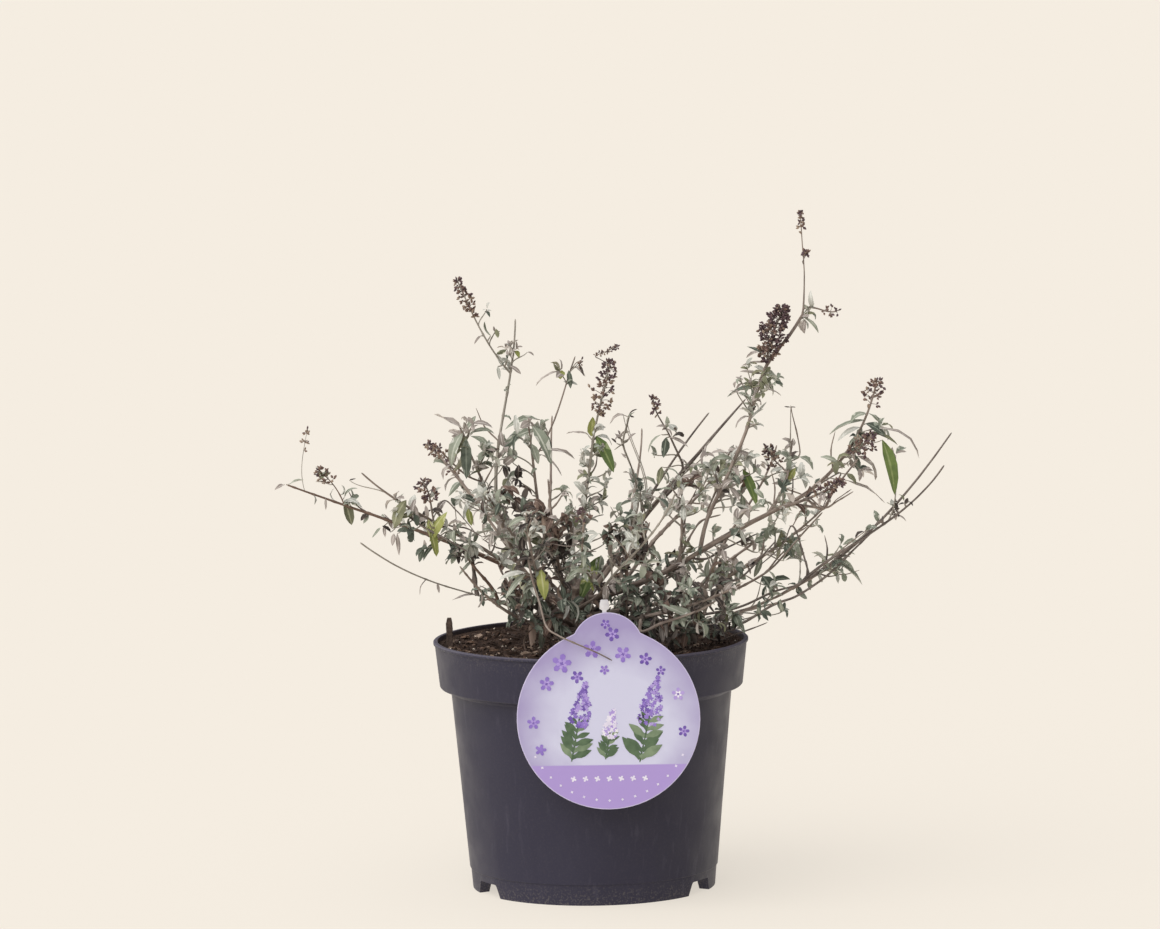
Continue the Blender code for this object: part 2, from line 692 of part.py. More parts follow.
class Spaces:
    """Tells whether a twig or leaf keeps to its own mass's space, clear of all limbs, the pot and the label."""

    def __init__(self, boughs, skeletons):
        self.boughs = boughs
        self.skeletons = skeletons

    def own(self, name, points):
        """True if every point is nearer to its own stem than to any other, and touches nothing."""
        x, y, z = points.T
        reach = np.hypot(x, y)
        low = np.where(reach < RIM_RADIUS + 2 * MM, POT_HEIGHT + 1.5 * MM, 20 * MM)
        low = np.where(reach < RIM_RADIUS - 8 * MM, SOIL_LEVEL + SOIL_ROUGHNESS + 1.2 * MM, low)
        if (z < low).any():
            return False
        beside_label = (np.abs(x - LABEL_CENTRE[0]) < 58 * MM) & (y < -RIM_RADIUS + 9 * MM) & (z < 188 * MM)
        if beside_label.any():
            return False
        foot = Limb("foot", [FOOT_PLACE, FOOT_PLACE + Vector((0, 0, FOOT_HEIGHT))], [FOOT_RADIUS, FOOT_TOP_RADIUS])
        if (distances(points, foot) < CLEARANCE).any():
            return False
        for limb in self.boughs.values():
            if (distances(points, limb) < CLEARANCE * 1.4).any():
                return False
        mine = np.min([distances(points, limb) for limb in self.skeletons[name]], axis=0)
        for other, limbs in self.skeletons.items():
            if other == name:
                continue
            for limb in limbs:
                if (distances(points, limb) < mine + CLEARANCE).any():
                    return False
        return True


def twisted(along, turn):
    """A direction square to along, turned about it."""
    side = along.orthogonal().normalized()
    if abs(along.z) < 0.95:
        side = along.cross(Vector((0, 0, 1))).normalized()
    return (Matrix.Rotation(turn, 3, along) @ side).normalized()


class Grower:
    """Grows one mass: twigs in crossed pairs along each stem, leaves in pairs along each twig, and flower spikes."""

    def __init__(self, mass, limbs, spaces):
        self.mass = mass
        self.limbs = limbs
        self.spaces = spaces
        self.rng = random.Random(mass.name)
        self.pieces = []
        self.taken = []

    def add_tube(self, limb, sides, end_share):
        """Adds a limb's tube, and keeps it as taken."""
        mesh = tube(limb, sides, end_share)
        self.taken.append(surface(mesh))
        self.pieces.append(mesh)

    def add_leaf(self, root, along, normal, length, width, fold):
        """Adds a leaf if it keeps to its space and crosses nothing, and tells whether it did."""
        points = leaf_points(root, along, normal, length, width, fold)
        free = BVHTree.FromPolygons([root + along * max(2.5 * MM, 0.12 * length), *points[1:]], LEAF_FACES)
        if any(free.overlap(other) for other in self.taken):
            return False
        if not self.spaces.own(self.mass.name, samples(points)):
            return False
        self.pieces.append(mesh_from("leaf", points, LEAF_FACES))
        self.taken.append(free)
        return True

    def leaf(self, limb, share, turn, length):
        """One leaf that leaves the limb sideways and droops. It is turned or made smaller until it has room."""
        place, along, radius = limb.at(share)
        for attempt in range(9):
            out = twisted(along, turn + (attempt % 3) * math.radians(35) * (-1) ** attempt)
            spread = LEAF_ANGLE + self.rng.uniform(-0.3, 0.2)
            towards = along * math.cos(spread) + out * math.sin(spread)
            droop = math.radians(self.mass.droop + self.rng.uniform(-30, 30))
            level = Vector((towards.x, towards.y, 0))
            if level.length > 0.05:
                axis = level.normalized().cross(Vector((0, 0, 1)))
                towards = Matrix.Rotation(-droop, 3, axis) @ towards
            normal = Vector((0, 0, 1)) + twisted(along, self.rng.uniform(0, math.tau)) * 0.7
            normal = (normal - towards * normal.dot(towards)).normalized()
            size = length * self.rng.uniform(0.8, 1.15) * (1 - 0.17 * (attempt // 3))
            root = place - towards * radius * 0.4
            if self.add_leaf(root, towards, normal, size, size * LEAF_SLENDERNESS, size * LEAF_FOLD):
                return

    def leaves(self, limb, count, first, last, length):
        """Leaves in crossed pairs along a limb."""
        pairs = max(1, round(count / 2))
        turn = self.rng.uniform(0, math.tau)
        for i in range(pairs):
            share = first + (last - first) * (i + 0.5) / pairs
            for side in (0, math.pi):
                self.leaf(limb, share, turn + i * math.pi / 2 + side, length)

    def capsule(self, root, along, normal, size):
        """One seed capsule that stands out of a spike."""
        points = leaf_points(root, along, normal, size * 1.5, size * 0.9, size * 0.5)
        if self.spaces.own(self.mass.name, samples(points)):
            self.pieces.append(mesh_from("capsule", points, LEAF_FACES))

    def bloom(self, limb, length):
        """A dry flower spike on the limb's last stretch: whorls of seed capsules, widest low down."""
        share = max(0.02, 1 - length * MM / limb.length())
        whorls = max(2, round(length / 6))
        points, radii = [], []
        for i in range(2 * whorls + 1):
            height = i / (2 * whorls)
            place, _, _ = limb.at(share + (1 - share) * height)
            full = CAPSULE * (1.5 - 0.9 * height) * min(1.25, 0.75 + length / 60)
            points.append(place)
            radii.append(full if i % 2 else full * 0.45)
        spike = Limb(self.mass.name, points, radii)
        if not self.spaces.own(self.mass.name, np.array([tuple(point) for point in points[1:]])):
            return
        self.add_tube(spike, 4, end_share=0.6)
        for i in range(whorls):
            place, along, _ = spike.at((i + 0.5) / whorls)
            size = CAPSULE * (2.4 - 1.2 * i / whorls)
            out = twisted(along, self.rng.uniform(0, math.tau))
            self.capsule(place, (along * 0.5 + out).normalized(), along, size)

    def twig(self, limb, share, turn):
        """A side twig with a pair of leaves part way and a pair at its tip."""
        place, along, _ = limb.at(share)
        out = twisted(along, turn)
        towards = along * math.cos(TWIG_ANGLE) + out * math.sin(TWIG_ANGLE)
        reach = self.mass.reach * MM * self.rng.uniform(0.7, 1.15) * (1.15 - 0.4 * share)
        tip = place + towards * reach + Vector((0, 0, reach * 0.25))
        last = (tip - place + Vector((0, 0, reach * 0.5))).normalized()
        curve = bent(place, towards, tip, last, 2)
        grown = Limb(self.mass.name, curve, [TWIG_RADIUS, TWIG_RADIUS * 0.85, TWIG_RADIUS * 0.7])
        points = np.array([tuple(grown.at(value)[0]) for value in (0.35, 0.55, 0.75, 1)])
        if not self.spaces.own(self.mass.name, points):
            return
        self.add_tube(grown, TWIG_SIDES, end_share=0.6)
        self.leaves(grown, 2, 0.3, 0.7, self.mass.leaf * MM * 0.85)
        self.leaves(grown, 2, 0.9, 1.0, self.mass.leaf * MM)

    def grow(self, start):
        """All the pieces of the mass. start is the share of the stem that its bough takes up."""
        mass = self.mass
        stem = self.limbs[0].trimmed(start, STEM_SEGMENTS)
        self.add_tube(stem, TWIG_SIDES, end_share=0.7)
        for limb in self.limbs[1:]:
            self.add_tube(limb.trimmed(0, 4), TWIG_SIDES, end_share=0.7)
        bloom_share = mass.bloom * MM / stem.length()
        turn = self.rng.uniform(0, math.tau)
        for i in range(mass.twigs):
            share = mass.bare + (0.9 - bloom_share - mass.bare) * (i + 0.6) / mass.twigs
            self.twig(stem, share, turn + i * math.radians(137))
        on_twigs = 4 * mass.twigs
        self.leaves(stem, max(2, mass.leaves - on_twigs // 2), mass.bare, 0.99 - bloom_share, mass.leaf * MM)
        if mass.bloom:
            self.bloom(stem, mass.bloom)
        for fork, limb in zip(mass.forks, self.limbs[1:]):
            used = fork.bloom * MM / limb.length()
            self.leaves(limb, fork.leaves, 0.25, 1 - used, mass.leaf * MM * 0.75)
            if fork.bloom:
                self.bloom(limb, fork.bloom)
        return self.pieces


# Assembly


def build_foot(limbs, starts, finish):
    """The woody foot: a flared, lobed stump with a stub for each limb that leaves it."""
    rows = [(0, 1.0), (0.12, 0.82), (0.35, 0.66), (0.7, 0.6), (0.92, 0.56), (1.0, 0.4)]
    points, faces = [], []
    for height, share in rows:
        for k in range(FOOT_SIDES):
            turn = math.tau * k / FOOT_SIDES
            lobe = 1 + 0.12 * math.cos(3 * turn + 1) * (1 - height)
            radius = FOOT_RADIUS * share * lobe
            place = Vector((radius * math.cos(turn), radius * math.sin(turn), GAP + FOOT_HEIGHT * height))
            points.append(FOOT_PLACE + place)
    last = len(rows) - 1
    faces.append(list(range(FOOT_SIDES)))
    faces.append(list(range(last * FOOT_SIDES, (last + 1) * FOOT_SIDES)))
    for i in range(last):
        for k in range(FOOT_SIDES):
            a, b = i * FOOT_SIDES + k, i * FOOT_SIDES + (k + 1) % FOOT_SIDES
            faces.append([a, b, b + FOOT_SIDES, a + FOOT_SIDES])
    foot = add_object("woody_foot", mesh_from("woody_foot", points, faces), finish)
    stubs = []
    for name, start in starts.items():
        limb = limbs[name]
        count = 2
        end = start - GAP / limb.length()
        found = [limb.at(end * i / count) for i in range(count + 1)]
        radii = [radius * (STUB_SWELL + (1 - STUB_SWELL) * i / count) for i, (_, _, radius) in enumerate(found)]
        stub = Limb(name, [point for point, _, _ in found], radii)
        stubs.append(add_object("stub", tube(stub, 4)))
    boolean(foot, stubs, "UNION")
    keep_largest(foot)


def main():
    """Builds the whole potted bush."""
    clear_scene()
    plastic = material("pot_plastic", (0.055, 0.052, 0.062), 0.5)
    earth = material("soil", (0.05, 0.032, 0.022), 0.95)
    print_face = material("label_print", (0.52, 0.42, 0.75), 0.35)
    white = material("stake_plastic", (0.85, 0.85, 0.83), 0.4)
    bark = material("bark", (0.22, 0.15, 0.11), 0.85)
    leafage = material("leafage", (0.27, 0.31, 0.23), 0.75)

    build_pot(plastic)
    build_soil(earth)
    build_label(print_face, white)

    boughs = plan_boughs()
    skeletons = plan_shoots(boughs)
    from_foot = {bough.name: boughs[bough.name] for bough in BOUGHS if not bough.parent}
    from_foot.update({mass.name: skeletons[mass.name][0] for mass in MASSES if not mass.bough})
    starts = {}
    for name, limb in from_foot.items():
        others = [other for key, other in from_foot.items() if key != name]
        starts[name] = clear_share(limb, others, STUB_REACH / limb.length())
    build_foot(from_foot, starts, bark)

    surfaces = {}
    for bough in BOUGHS:
        limb = boughs[bough.name]
        start = starts.get(bough.name, GAP / limb.length())
        made = add_object(bough.name, tube(limb.trimmed(start, 5), LIMB_SIDES), bark)
        shade_round(made, 80)
        surfaces[bough.name] = surface(made.data)

    spaces = Spaces(boughs, skeletons)
    for mass in MASSES:
        limbs = skeletons[mass.name]
        start = starts.get(mass.name, GAP / limbs[0].length())
        if mass.back:
            start = seated_share(limbs[0], surfaces[mass.bough], start)
        pieces = Grower(mass, limbs, spaces).grow(start)
        made = [add_object(mass.name if i == 0 else "piece", mesh) for i, mesh in enumerate(pieces)]
        made[0].data.materials.append(leafage)
        boolean(made[0], made[1:], "UNION", solver="MANIFOLD")
        keep_largest(made[0])


main()
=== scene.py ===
"""A winter butterfly bush in its nursery pot, dressed over its CAD frame.

The pot, soil, label and stake are modelled in edit mode. The foot and its boughs are one carved piece.
Twigs, leaves and seed heads grow on from the same limbs as in the source, by the same rule, and are joined
by kind. All lengths are in metres unless a name or a table says millimetres.
"""

import json
import logging
import math
import random
from dataclasses import dataclass, field
from enum import Enum
from typing import Callable, Iterable, Sequence

import bpy
import numpy as np
from mathutils import Matrix, Vector, noise
from mathutils.bvhtree import BVHTree
from mathutils.kdtree import KDTree

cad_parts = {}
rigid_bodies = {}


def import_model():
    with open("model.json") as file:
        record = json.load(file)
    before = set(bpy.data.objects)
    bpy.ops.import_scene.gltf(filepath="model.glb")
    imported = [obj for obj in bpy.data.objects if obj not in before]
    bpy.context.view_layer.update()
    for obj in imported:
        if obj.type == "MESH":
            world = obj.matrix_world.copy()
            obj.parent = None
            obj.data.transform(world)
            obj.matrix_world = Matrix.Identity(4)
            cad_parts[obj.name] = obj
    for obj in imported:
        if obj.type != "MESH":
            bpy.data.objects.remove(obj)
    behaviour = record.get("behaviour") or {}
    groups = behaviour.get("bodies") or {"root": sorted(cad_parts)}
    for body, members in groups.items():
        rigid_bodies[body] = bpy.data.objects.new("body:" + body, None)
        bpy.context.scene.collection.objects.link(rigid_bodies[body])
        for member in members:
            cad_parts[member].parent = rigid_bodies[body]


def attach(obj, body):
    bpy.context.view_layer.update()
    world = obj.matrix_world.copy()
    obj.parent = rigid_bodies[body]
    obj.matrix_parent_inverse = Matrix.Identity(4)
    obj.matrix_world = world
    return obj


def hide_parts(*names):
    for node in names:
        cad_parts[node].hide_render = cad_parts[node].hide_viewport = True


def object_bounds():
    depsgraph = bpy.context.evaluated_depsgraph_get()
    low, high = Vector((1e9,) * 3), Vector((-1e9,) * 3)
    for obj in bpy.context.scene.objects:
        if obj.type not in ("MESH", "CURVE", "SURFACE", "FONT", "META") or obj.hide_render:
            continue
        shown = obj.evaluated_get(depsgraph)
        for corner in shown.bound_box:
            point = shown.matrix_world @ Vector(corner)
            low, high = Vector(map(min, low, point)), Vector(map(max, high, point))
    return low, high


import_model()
CAD_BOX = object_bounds()

MM = 0.001
LOG = logging.getLogger("bush")


def linear(code: str) -> tuple:
    """A colour of six hex digits, in the linear values that shaders take."""
    parts = [int(code[i : i + 2], 16) / 255 for i in (0, 2, 4)]
    return tuple(v / 12.92 if v <= 0.04045 else ((v + 0.055) / 1.055) ** 2.4 for v in parts) + (1.0,)


class Bench:
    """Blender's own modelling tools, used on one piece at a time."""

    @staticmethod
    def take(piece: bpy.types.Object) -> None:
        """Selects one piece and nothing else.

        Args:
            piece: The piece.
        """
        bpy.ops.object.select_all(action="DESELECT")
        piece.select_set(True)
        bpy.context.view_layer.objects.active = piece

    @staticmethod
    def edit(piece: bpy.types.Object, kind: str = "VERT") -> None:
        """Opens a piece in edit mode with nothing selected.

        Args:
            piece: The piece.
            kind: What is selected in it: VERT, EDGE or FACE.
        """
        Bench.take(piece)
        bpy.ops.object.mode_set(mode="EDIT")
        bpy.ops.mesh.select_mode(type=kind)
        bpy.ops.mesh.select_all(action="DESELECT")

    @staticmethod
    def leave() -> None:
        """Goes back to object mode."""
        bpy.ops.object.mode_set(mode="OBJECT")

    @staticmethod
    def pick(piece: bpy.types.Object, test: Callable, faces: bool = False) -> None:
        """Selects by place, in edit mode.

        Args:
            piece: The piece, open in edit mode.
            test: Takes a vertex's place, or a face's centre and normal, and tells whether it is selected.
            faces: True to go by faces.
        """
        bpy.ops.mesh.select_mode(type="FACE" if faces else "VERT")
        bpy.ops.mesh.select_all(action="DESELECT")
        bpy.ops.object.mode_set(mode="OBJECT")
        if faces:
            for face in piece.data.polygons:
                face.select = bool(test(face.center, face.normal))
        else:
            for vertex in piece.data.vertices:
                vertex.select = bool(test(vertex.co))
        bpy.ops.object.mode_set(mode="EDIT")

    @staticmethod
    def named(name: str) -> bpy.types.Object:
        """The piece just added, with its place put into its mesh and its name given.

        Args:
            name: The name of the piece and its mesh.

        Returns:
            The piece.
        """
        piece = bpy.context.object
        bpy.ops.object.transform_apply(location=True, rotation=True, scale=True)
        piece.name = name
        piece.data.name = name
        return piece

    @staticmethod
    def modify(piece: bpy.types.Object, kind: str, **settings: object) -> None:
        """Adds a modifier with its settings and applies it.

        Args:
            piece: The piece.
            kind: The modifier's type.
            **settings: The modifier's own values.
        """
        Bench.take(piece)
        modifier = piece.modifiers.new(kind.lower(), kind)
        for key, value in settings.items():
            setattr(modifier, key, value)
        bpy.ops.object.modifier_apply(modifier=modifier.name)

    @staticmethod
    def rounded(piece: bpy.types.Object, width: float, degrees: float) -> None:
        """Bevels the edges of a piece that are sharper than an angle."""
        angle = math.radians(degrees)
        Bench.modify(piece, "BEVEL", width=width, segments=2, limit_method="ANGLE", angle_limit=angle)

    @staticmethod
    def coated(piece: bpy.types.Object, *finishes: object) -> None:
        """Gives a piece its materials, one slot for each finish.

        Args:
            piece: The piece.
            *finishes: The finishes, in the order of the slots.
        """
        piece.data.materials.clear()
        for finish in finishes:
            piece.data.materials.append(finish.material())

    @staticmethod
    def block(name: str, size: tuple, place: tuple) -> bpy.types.Object:
        """A box of a size, with its middle at a place.

        Args:
            name: The box's name.
            size: Its three sizes.
            place: Its middle.

        Returns:
            The box, in object mode.
        """
        bpy.ops.object.select_all(action="DESELECT")
        bpy.ops.mesh.primitive_cube_add(size=1, location=place)
        bpy.context.object.scale = size
        return Bench.named(name)

    @staticmethod
    def drawn(step: tuple, scale: tuple, middle: tuple = (0, 0, 0)) -> None:
        """Extrudes what is selected by a step, and scales its far end about a middle."""
        bpy.ops.mesh.extrude_region_move(TRANSFORM_OT_translate={"value": step})
        bpy.ops.transform.resize(value=scale, center_override=middle)

    @staticmethod
    def traced(name: str, points: Sequence[Sequence[float]]) -> bpy.types.Object:
        """A wire through the points, drawn by extruding one vertex from each to the next.

        Args:
            name: The wire's name.
            points: The points, in order.

        Returns:
            The wire, still open in edit mode.
        """
        bpy.ops.object.select_all(action="DESELECT")
        bpy.ops.mesh.primitive_plane_add(size=MM, location=points[0])
        piece = Bench.named(name)
        bpy.ops.object.mode_set(mode="EDIT")
        bpy.ops.mesh.select_mode(type="VERT")
        bpy.ops.mesh.select_all(action="SELECT")
        bpy.ops.mesh.merge(type="CENTER")
        for before, after in zip(points, points[1:]):
            step = tuple(b - a for a, b in zip(before, after))
            bpy.ops.mesh.extrude_vertices_move(TRANSFORM_OT_translate={"value": step})
        return piece

    @staticmethod
    def turned(name: str, profile: Sequence[tuple], steps: int) -> bpy.types.Object:
        """A closed body spun about the upright axis from a profile of radii and heights.

        Args:
            name: The piece's name.
            profile: Pairs of radius and height. Both ends lie on the axis, or the profile closes on itself.
            steps: How many sides it has round the axis.

        Returns:
            The piece, in object mode.
        """
        piece = Bench.traced(name, [(radius, 0, height) for radius, height in profile])
        bpy.ops.mesh.select_all(action="SELECT")
        bpy.ops.mesh.spin(steps=steps, angle=math.tau, center=(0, 0, 0), axis=(0, 0, 1))
        bpy.ops.mesh.select_all(action="SELECT")
        bpy.ops.mesh.remove_doubles(threshold=0.002 * MM)
        bpy.ops.mesh.normals_make_consistent(inside=False)
        Bench.leave()
        return piece

    @staticmethod
    def smooth(piece: bpy.types.Object, degrees: float) -> None:
        """Shades a piece smooth but for edges sharper than an angle."""
        Bench.take(piece)
        bpy.ops.object.shade_smooth_by_angle(angle=math.radians(degrees))

    @staticmethod
    def joined(name: str, pieces: Sequence[bpy.types.Object]) -> bpy.types.Object:
        """Joins pieces into one.

        Args:
            name: The name of the whole.
            pieces: The pieces.

        Returns:
            The first piece, with all joined to it.
        """
        Bench.take(pieces[0])
        for piece in pieces[1:]:
            piece.select_set(True)
        bpy.ops.object.join()
        pieces[0].name = name
        pieces[0].data.name = name
        return pieces[0]


def hand_over(piece: bpy.types.Object, nodes: Sequence[str] = ()) -> None:
    """Rides a piece on the root body, hides the CAD nodes that it stands for, and logs it.

    Args:
        piece: The piece.
        nodes: The CAD nodes that it replaces.
    """
    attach(piece, "root")
    if nodes:
        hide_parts(*nodes)
    triangles = sum(len(face.vertices) - 2 for face in piece.data.polygons)
    LOG.info("%s: %d triangles", piece.name, triangles)


class Shading:
    """A material's nodes round one principled shader."""

    def __init__(self, name: str, colour: str, roughness: float, **sockets: float) -> None:
        """Starts a material.

        Args:
            name: The material's name.
            colour: Its base colour.
            roughness: Its roughness.
            **sockets: More of the shader's values, by the socket's name in small letters.
        """
        self.material = bpy.data.materials.new(name)
        self.material.use_nodes = True
        self.tree = self.material.node_tree
        self.shader = self.tree.nodes["Principled BSDF"]
        self.set("Base Color", linear(colour))
        self.set("Roughness", roughness)
        for key, value in sockets.items():
            self.set(key.replace("_", " ").title().replace("Ior", "IOR"), value)
        self.place = self.tree.nodes.new("ShaderNodeTexCoord").outputs["Object"]

    def set(self, key: str, value: object) -> None:
        """Sets one of the shader's own sockets."""
        self.shader.inputs[key].default_value = value

    def node(self, kind: str, **inputs: object) -> bpy.types.Node:
        """A node whose inputs are set, or linked where the value is a socket.

        Args:
            kind: The node's type.
            **inputs: Values or sockets by the input's name, or by i and its number.

        Returns:
            The node.
        """
        made = self.tree.nodes.new(kind)
        for key, value in inputs.items():
            numbered = key[0] == "i" and key[1:].isdigit()
            socket = made.inputs[int(key[1:]) if numbered else key.replace("_", " ")]
            if isinstance(value, bpy.types.NodeSocket):
                self.tree.links.new(value, socket)
            else:
                socket.default_value = value
        return made

    def noise(
        self, scale: float, detail: float = 2, source: object = None, stretch: tuple = (1, 1, 1)
    ) -> object:
        """Noise of a scale per metre on the object's own coordinates, or on a source.

        Args:
            scale: The noise's scale.
            detail: How many octaves it has.
            source: The vector that it goes by, or none for the object's own place.
            stretch: How much each axis counts.

        Returns:
            A socket from 0 to 1.
        """
        place = self.place if source is None else source
        if stretch != (1, 1, 1):
            place = self.node("ShaderNodeMapping", Vector=place, Scale=stretch).outputs[0]
        made = self.node("ShaderNodeTexNoise", Vector=place, Scale=scale, Detail=detail)
        return made.outputs[0]

    def sums(self, operation: str, first: object, second: object = 0.0) -> object:
        """A sum of two values.

        Args:
            operation: The sum's kind.
            first: A value or socket.
            second: A value or socket.

        Returns:
            A socket.
        """
        made = self.node("ShaderNodeMath", i0=first, i1=second)
        made.operation = operation
        return made.outputs[0]

    def stretch(self, value: object, low: float, high: float, start: float = 0.0, end: float = 1.0) -> object:
        """A value's range from low to high, mapped to start to end.

        Args:
            value: The socket.
            low: The value that becomes start.
            high: The value that becomes end.
            start: The result at low.
            end: The result at high.

        Returns:
            A socket, held between start and end.
        """
        made = self.node("ShaderNodeMapRange", Value=value)
        made.inputs["From Min"].default_value = low
        made.inputs["From Max"].default_value = high
        made.inputs["To Min"].default_value = start
        made.inputs["To Max"].default_value = end
        return made.outputs[0]

    def mixed(self, share: object, first: object, second: object) -> object:
        """One colour mixed into another by a share. Colours are hex digits or sockets.

        Args:
            share: How much of the second.
            first: The first colour.
            second: The second colour.

        Returns:
            A colour socket.
        """
        made = self.tree.nodes.new("ShaderNodeMix")
        made.data_type = "RGBA"
        for index, value in ((0, share), (6, first), (7, second)):
            if isinstance(value, bpy.types.NodeSocket):
                self.tree.links.new(value, made.inputs[index])
            else:
                made.inputs[index].default_value = linear(value) if isinstance(value, str) else value
        return made.outputs[2]

    def link(self, socket: object, key: str) -> None:
        """Links a socket to one of the shader's."""
        self.tree.links.new(socket, self.shader.inputs[key])

    def bump(self, height: object, distance: float, strength: float = 1.0) -> None:
        """Raises the surface by a height of 0 to 1 times a distance."""
        made = self.node("ShaderNodeBump", Height=height, Strength=strength, Distance=distance)
        self.link(made.outputs[0], "Normal")


# Finishes


@dataclass(frozen=True)
class PotPlastic:
    """Satin, almost black plastic: moulding grain, scuffs down it, a dusty foot, and a painted highlight that
    pales the rim band towards its top edge.
    """

    colour: str = "312f40"
    scuff: str = "4c4958"
    # Dust at the foot; the same colour pales the top of the rim band as a painted highlight.
    dust_and_highlight: str = "7d766e"
    # edge: painted highlight, mixed into the rim's top edge
    edge: str = "65606f"
    cloud: str = "2a2839"
    peat: str = "40342f"
    wall_slope: float = 0.104
    dust_height: float = 14 * MM
    peat_height: float = 123 * MM
    rim_height: float = 149.7 * MM

    def material(self) -> bpy.types.Material:
        """The finish as a material.

        Returns:
            The material.
        """
        s = Shading(
            "pot_plastic", self.colour, 0.42, specular_ior_level=0.27, coat_weight=0.03, coat_roughness=0.35
        )
        cloud = s.noise(22, 3)
        scuffs = s.stretch(s.noise(260, 4, stretch=(1, 1, 0.22)), 0.56, 0.74)
        scuffs = s.sums("MULTIPLY", scuffs, s.stretch(cloud, 0.4, 0.65, 0.05, 0.5))
        base = s.mixed(s.stretch(cloud, 0.35, 0.7, 0, 0.35), self.colour, self.cloud)
        base = s.mixed(scuffs, base, self.scuff)
        parts = s.node("ShaderNodeSeparateXYZ", Vector=s.place).outputs
        height = parts[2]
        low = s.stretch(height, self.dust_height, 0, 0, 0.55)
        speck = s.stretch(s.noise(900, 4), 0.5, 0.75)
        # The dust colour also pales the rim band towards its top: dust at the foot, a painted highlight up
        # here.
        high = s.stretch(height, 138 * MM, 149 * MM, 0, 0.3)
        dust_and_rim_highlight = s.sums("MULTIPLY", s.sums("ADD", s.sums("MAXIMUM", low, high), 0.05), speck)
        base = s.mixed(dust_and_rim_highlight, base, self.dust_and_highlight)
        square = s.sums("ADD", s.sums("MULTIPLY", parts[0], parts[0]), s.sums("MULTIPLY", parts[1], parts[1]))
        lean = s.sums("SUBTRACT", s.sums("SQRT", square), s.sums("MULTIPLY", height, self.wall_slope))
        above = s.sums("GREATER_THAN", height, self.peat_height)
        inside = s.sums("MULTIPLY", s.stretch(lean, 78.1 * MM, 77.5 * MM), above)
        base = s.mixed(s.sums("MULTIPLY", inside, s.stretch(speck, 0, 1, 0.6, 0.95)), base, self.peat)
        # Painted highlight: the rim's top edge is mixed towards the pale edge colour.
        painted_rim_highlight = s.stretch(height, self.rim_height - 0.8 * MM, self.rim_height, 0, 0.5)
        s.link(s.mixed(painted_rim_highlight, base, self.edge), "Base Color")
        s.link(s.stretch(s.noise(60, 3), 0.3, 0.7, 0.36, 0.52), "Roughness")
        grain = s.sums("ADD", s.sums("MULTIPLY", s.noise(1500, 2), 0.4), s.noise(45, 2, stretch=(1, 1, 0.3)))
        s.bump(grain, 0.16 * MM, 0.5)
        return s.material


@dataclass(frozen=True)
class PottingSoil:
    """Dark, damp peat with lighter fibres."""

    colour: str = "463730"
    fibre: str = "705846"
    crumb: str = "5c493d"
    damp: str = "261c17"

    def material(self) -> bpy.types.Material:
        """The finish as a material.

        Returns:
            The material.
        """
        s = Shading("potting_soil", self.colour, 0.95, specular_ior_level=0.2)
        crumbs = s.noise(420, 6)
        patches = s.stretch(s.noise(70, 3), 0.35, 0.65)
        base = s.mixed(s.stretch(crumbs, 0.42, 0.68), self.colour, self.crumb)
        base = s.mixed(s.sums("MULTIPLY", patches, 0.4), base, self.damp)
        fibres = s.stretch(s.noise(900, 3, stretch=(1, 0.25, 1)), 0.62, 0.72)
        s.link(s.mixed(s.sums("MULTIPLY", fibres, 0.7), base, self.fibre), "Base Color")
        s.bump(s.sums("ADD", crumbs, s.noise(1600, 3)), 1.2 * MM)
        return s.material


@dataclass(frozen=True)
class Mottled:
    """A matt or satin surface of one colour, mottled towards a second, with a fine relief."""

    name: str
    colour: str
    other: str
    roughness: float = 0.8
    scale: float = 300
    relief: float = 0.1
    grain: float = 1200
    sheen: float = 0.0
    specular: float = 0.35

    def material(self) -> bpy.types.Material:
        """The finish as a material.

        Returns:
            The material.
        """
        shine = {"sheen_weight": self.sheen, "specular_ior_level": self.specular}
        s = Shading(self.name, self.colour, self.roughness, **shine)
        s.link(s.mixed(s.stretch(s.noise(self.scale, 4), 0.36, 0.66), self.colour, self.other), "Base Color")
        s.bump(s.noise(self.grain, 3), self.relief * MM)
        return s.material


@dataclass(frozen=True)
class Bark:
    """Fibrous bark: streaks that run along the limb, pale peeling flakes and dark cracks.

    The pieces keep a vector called grain: where a point lies across its limb, and how far along it is.
    """

    name: str
    colour: str
    crack: str
    flake: str
    flakes: float = 0.5
    relief: float = 0.35
    peel: str = "b6a596"

    def material(self) -> bpy.types.Material:
        """The finish as a material.

        Returns:
            The material.
        """
        s = Shading(self.name, self.colour, 0.82, specular_ior_level=0.3)
        grain = s.tree.nodes.new("ShaderNodeAttribute")
        grain.attribute_name = "grain"
        along = grain.outputs["Vector"]
        streaks = s.noise(900, 4, along, (1, 1, 0.16))
        cracks = s.stretch(s.noise(560, 3, along, (1, 1, 0.12)), 0.54, 0.66)
        peel = s.stretch(s.noise(240, 5, along, (1, 1, 0.4)), 0.6 - 0.12 * self.flakes, 0.7)
        base = s.mixed(s.stretch(streaks, 0.3, 0.7), self.colour, self.flake)
        base = s.mixed(s.sums("MULTIPLY", cracks, 0.75), base, self.crack)
        base = s.mixed(s.sums("MULTIPLY", peel, 0.6 * self.flakes), base, self.peel)
        s.link(s.mixed(s.stretch(s.noise(35, 2), 0.35, 0.65, 0, 0.35), base, self.crack), "Base Color")
        s.bump(s.sums("SUBTRACT", streaks, s.sums("MULTIPLY", cracks, 0.8)), self.relief * MM)
        return s.material


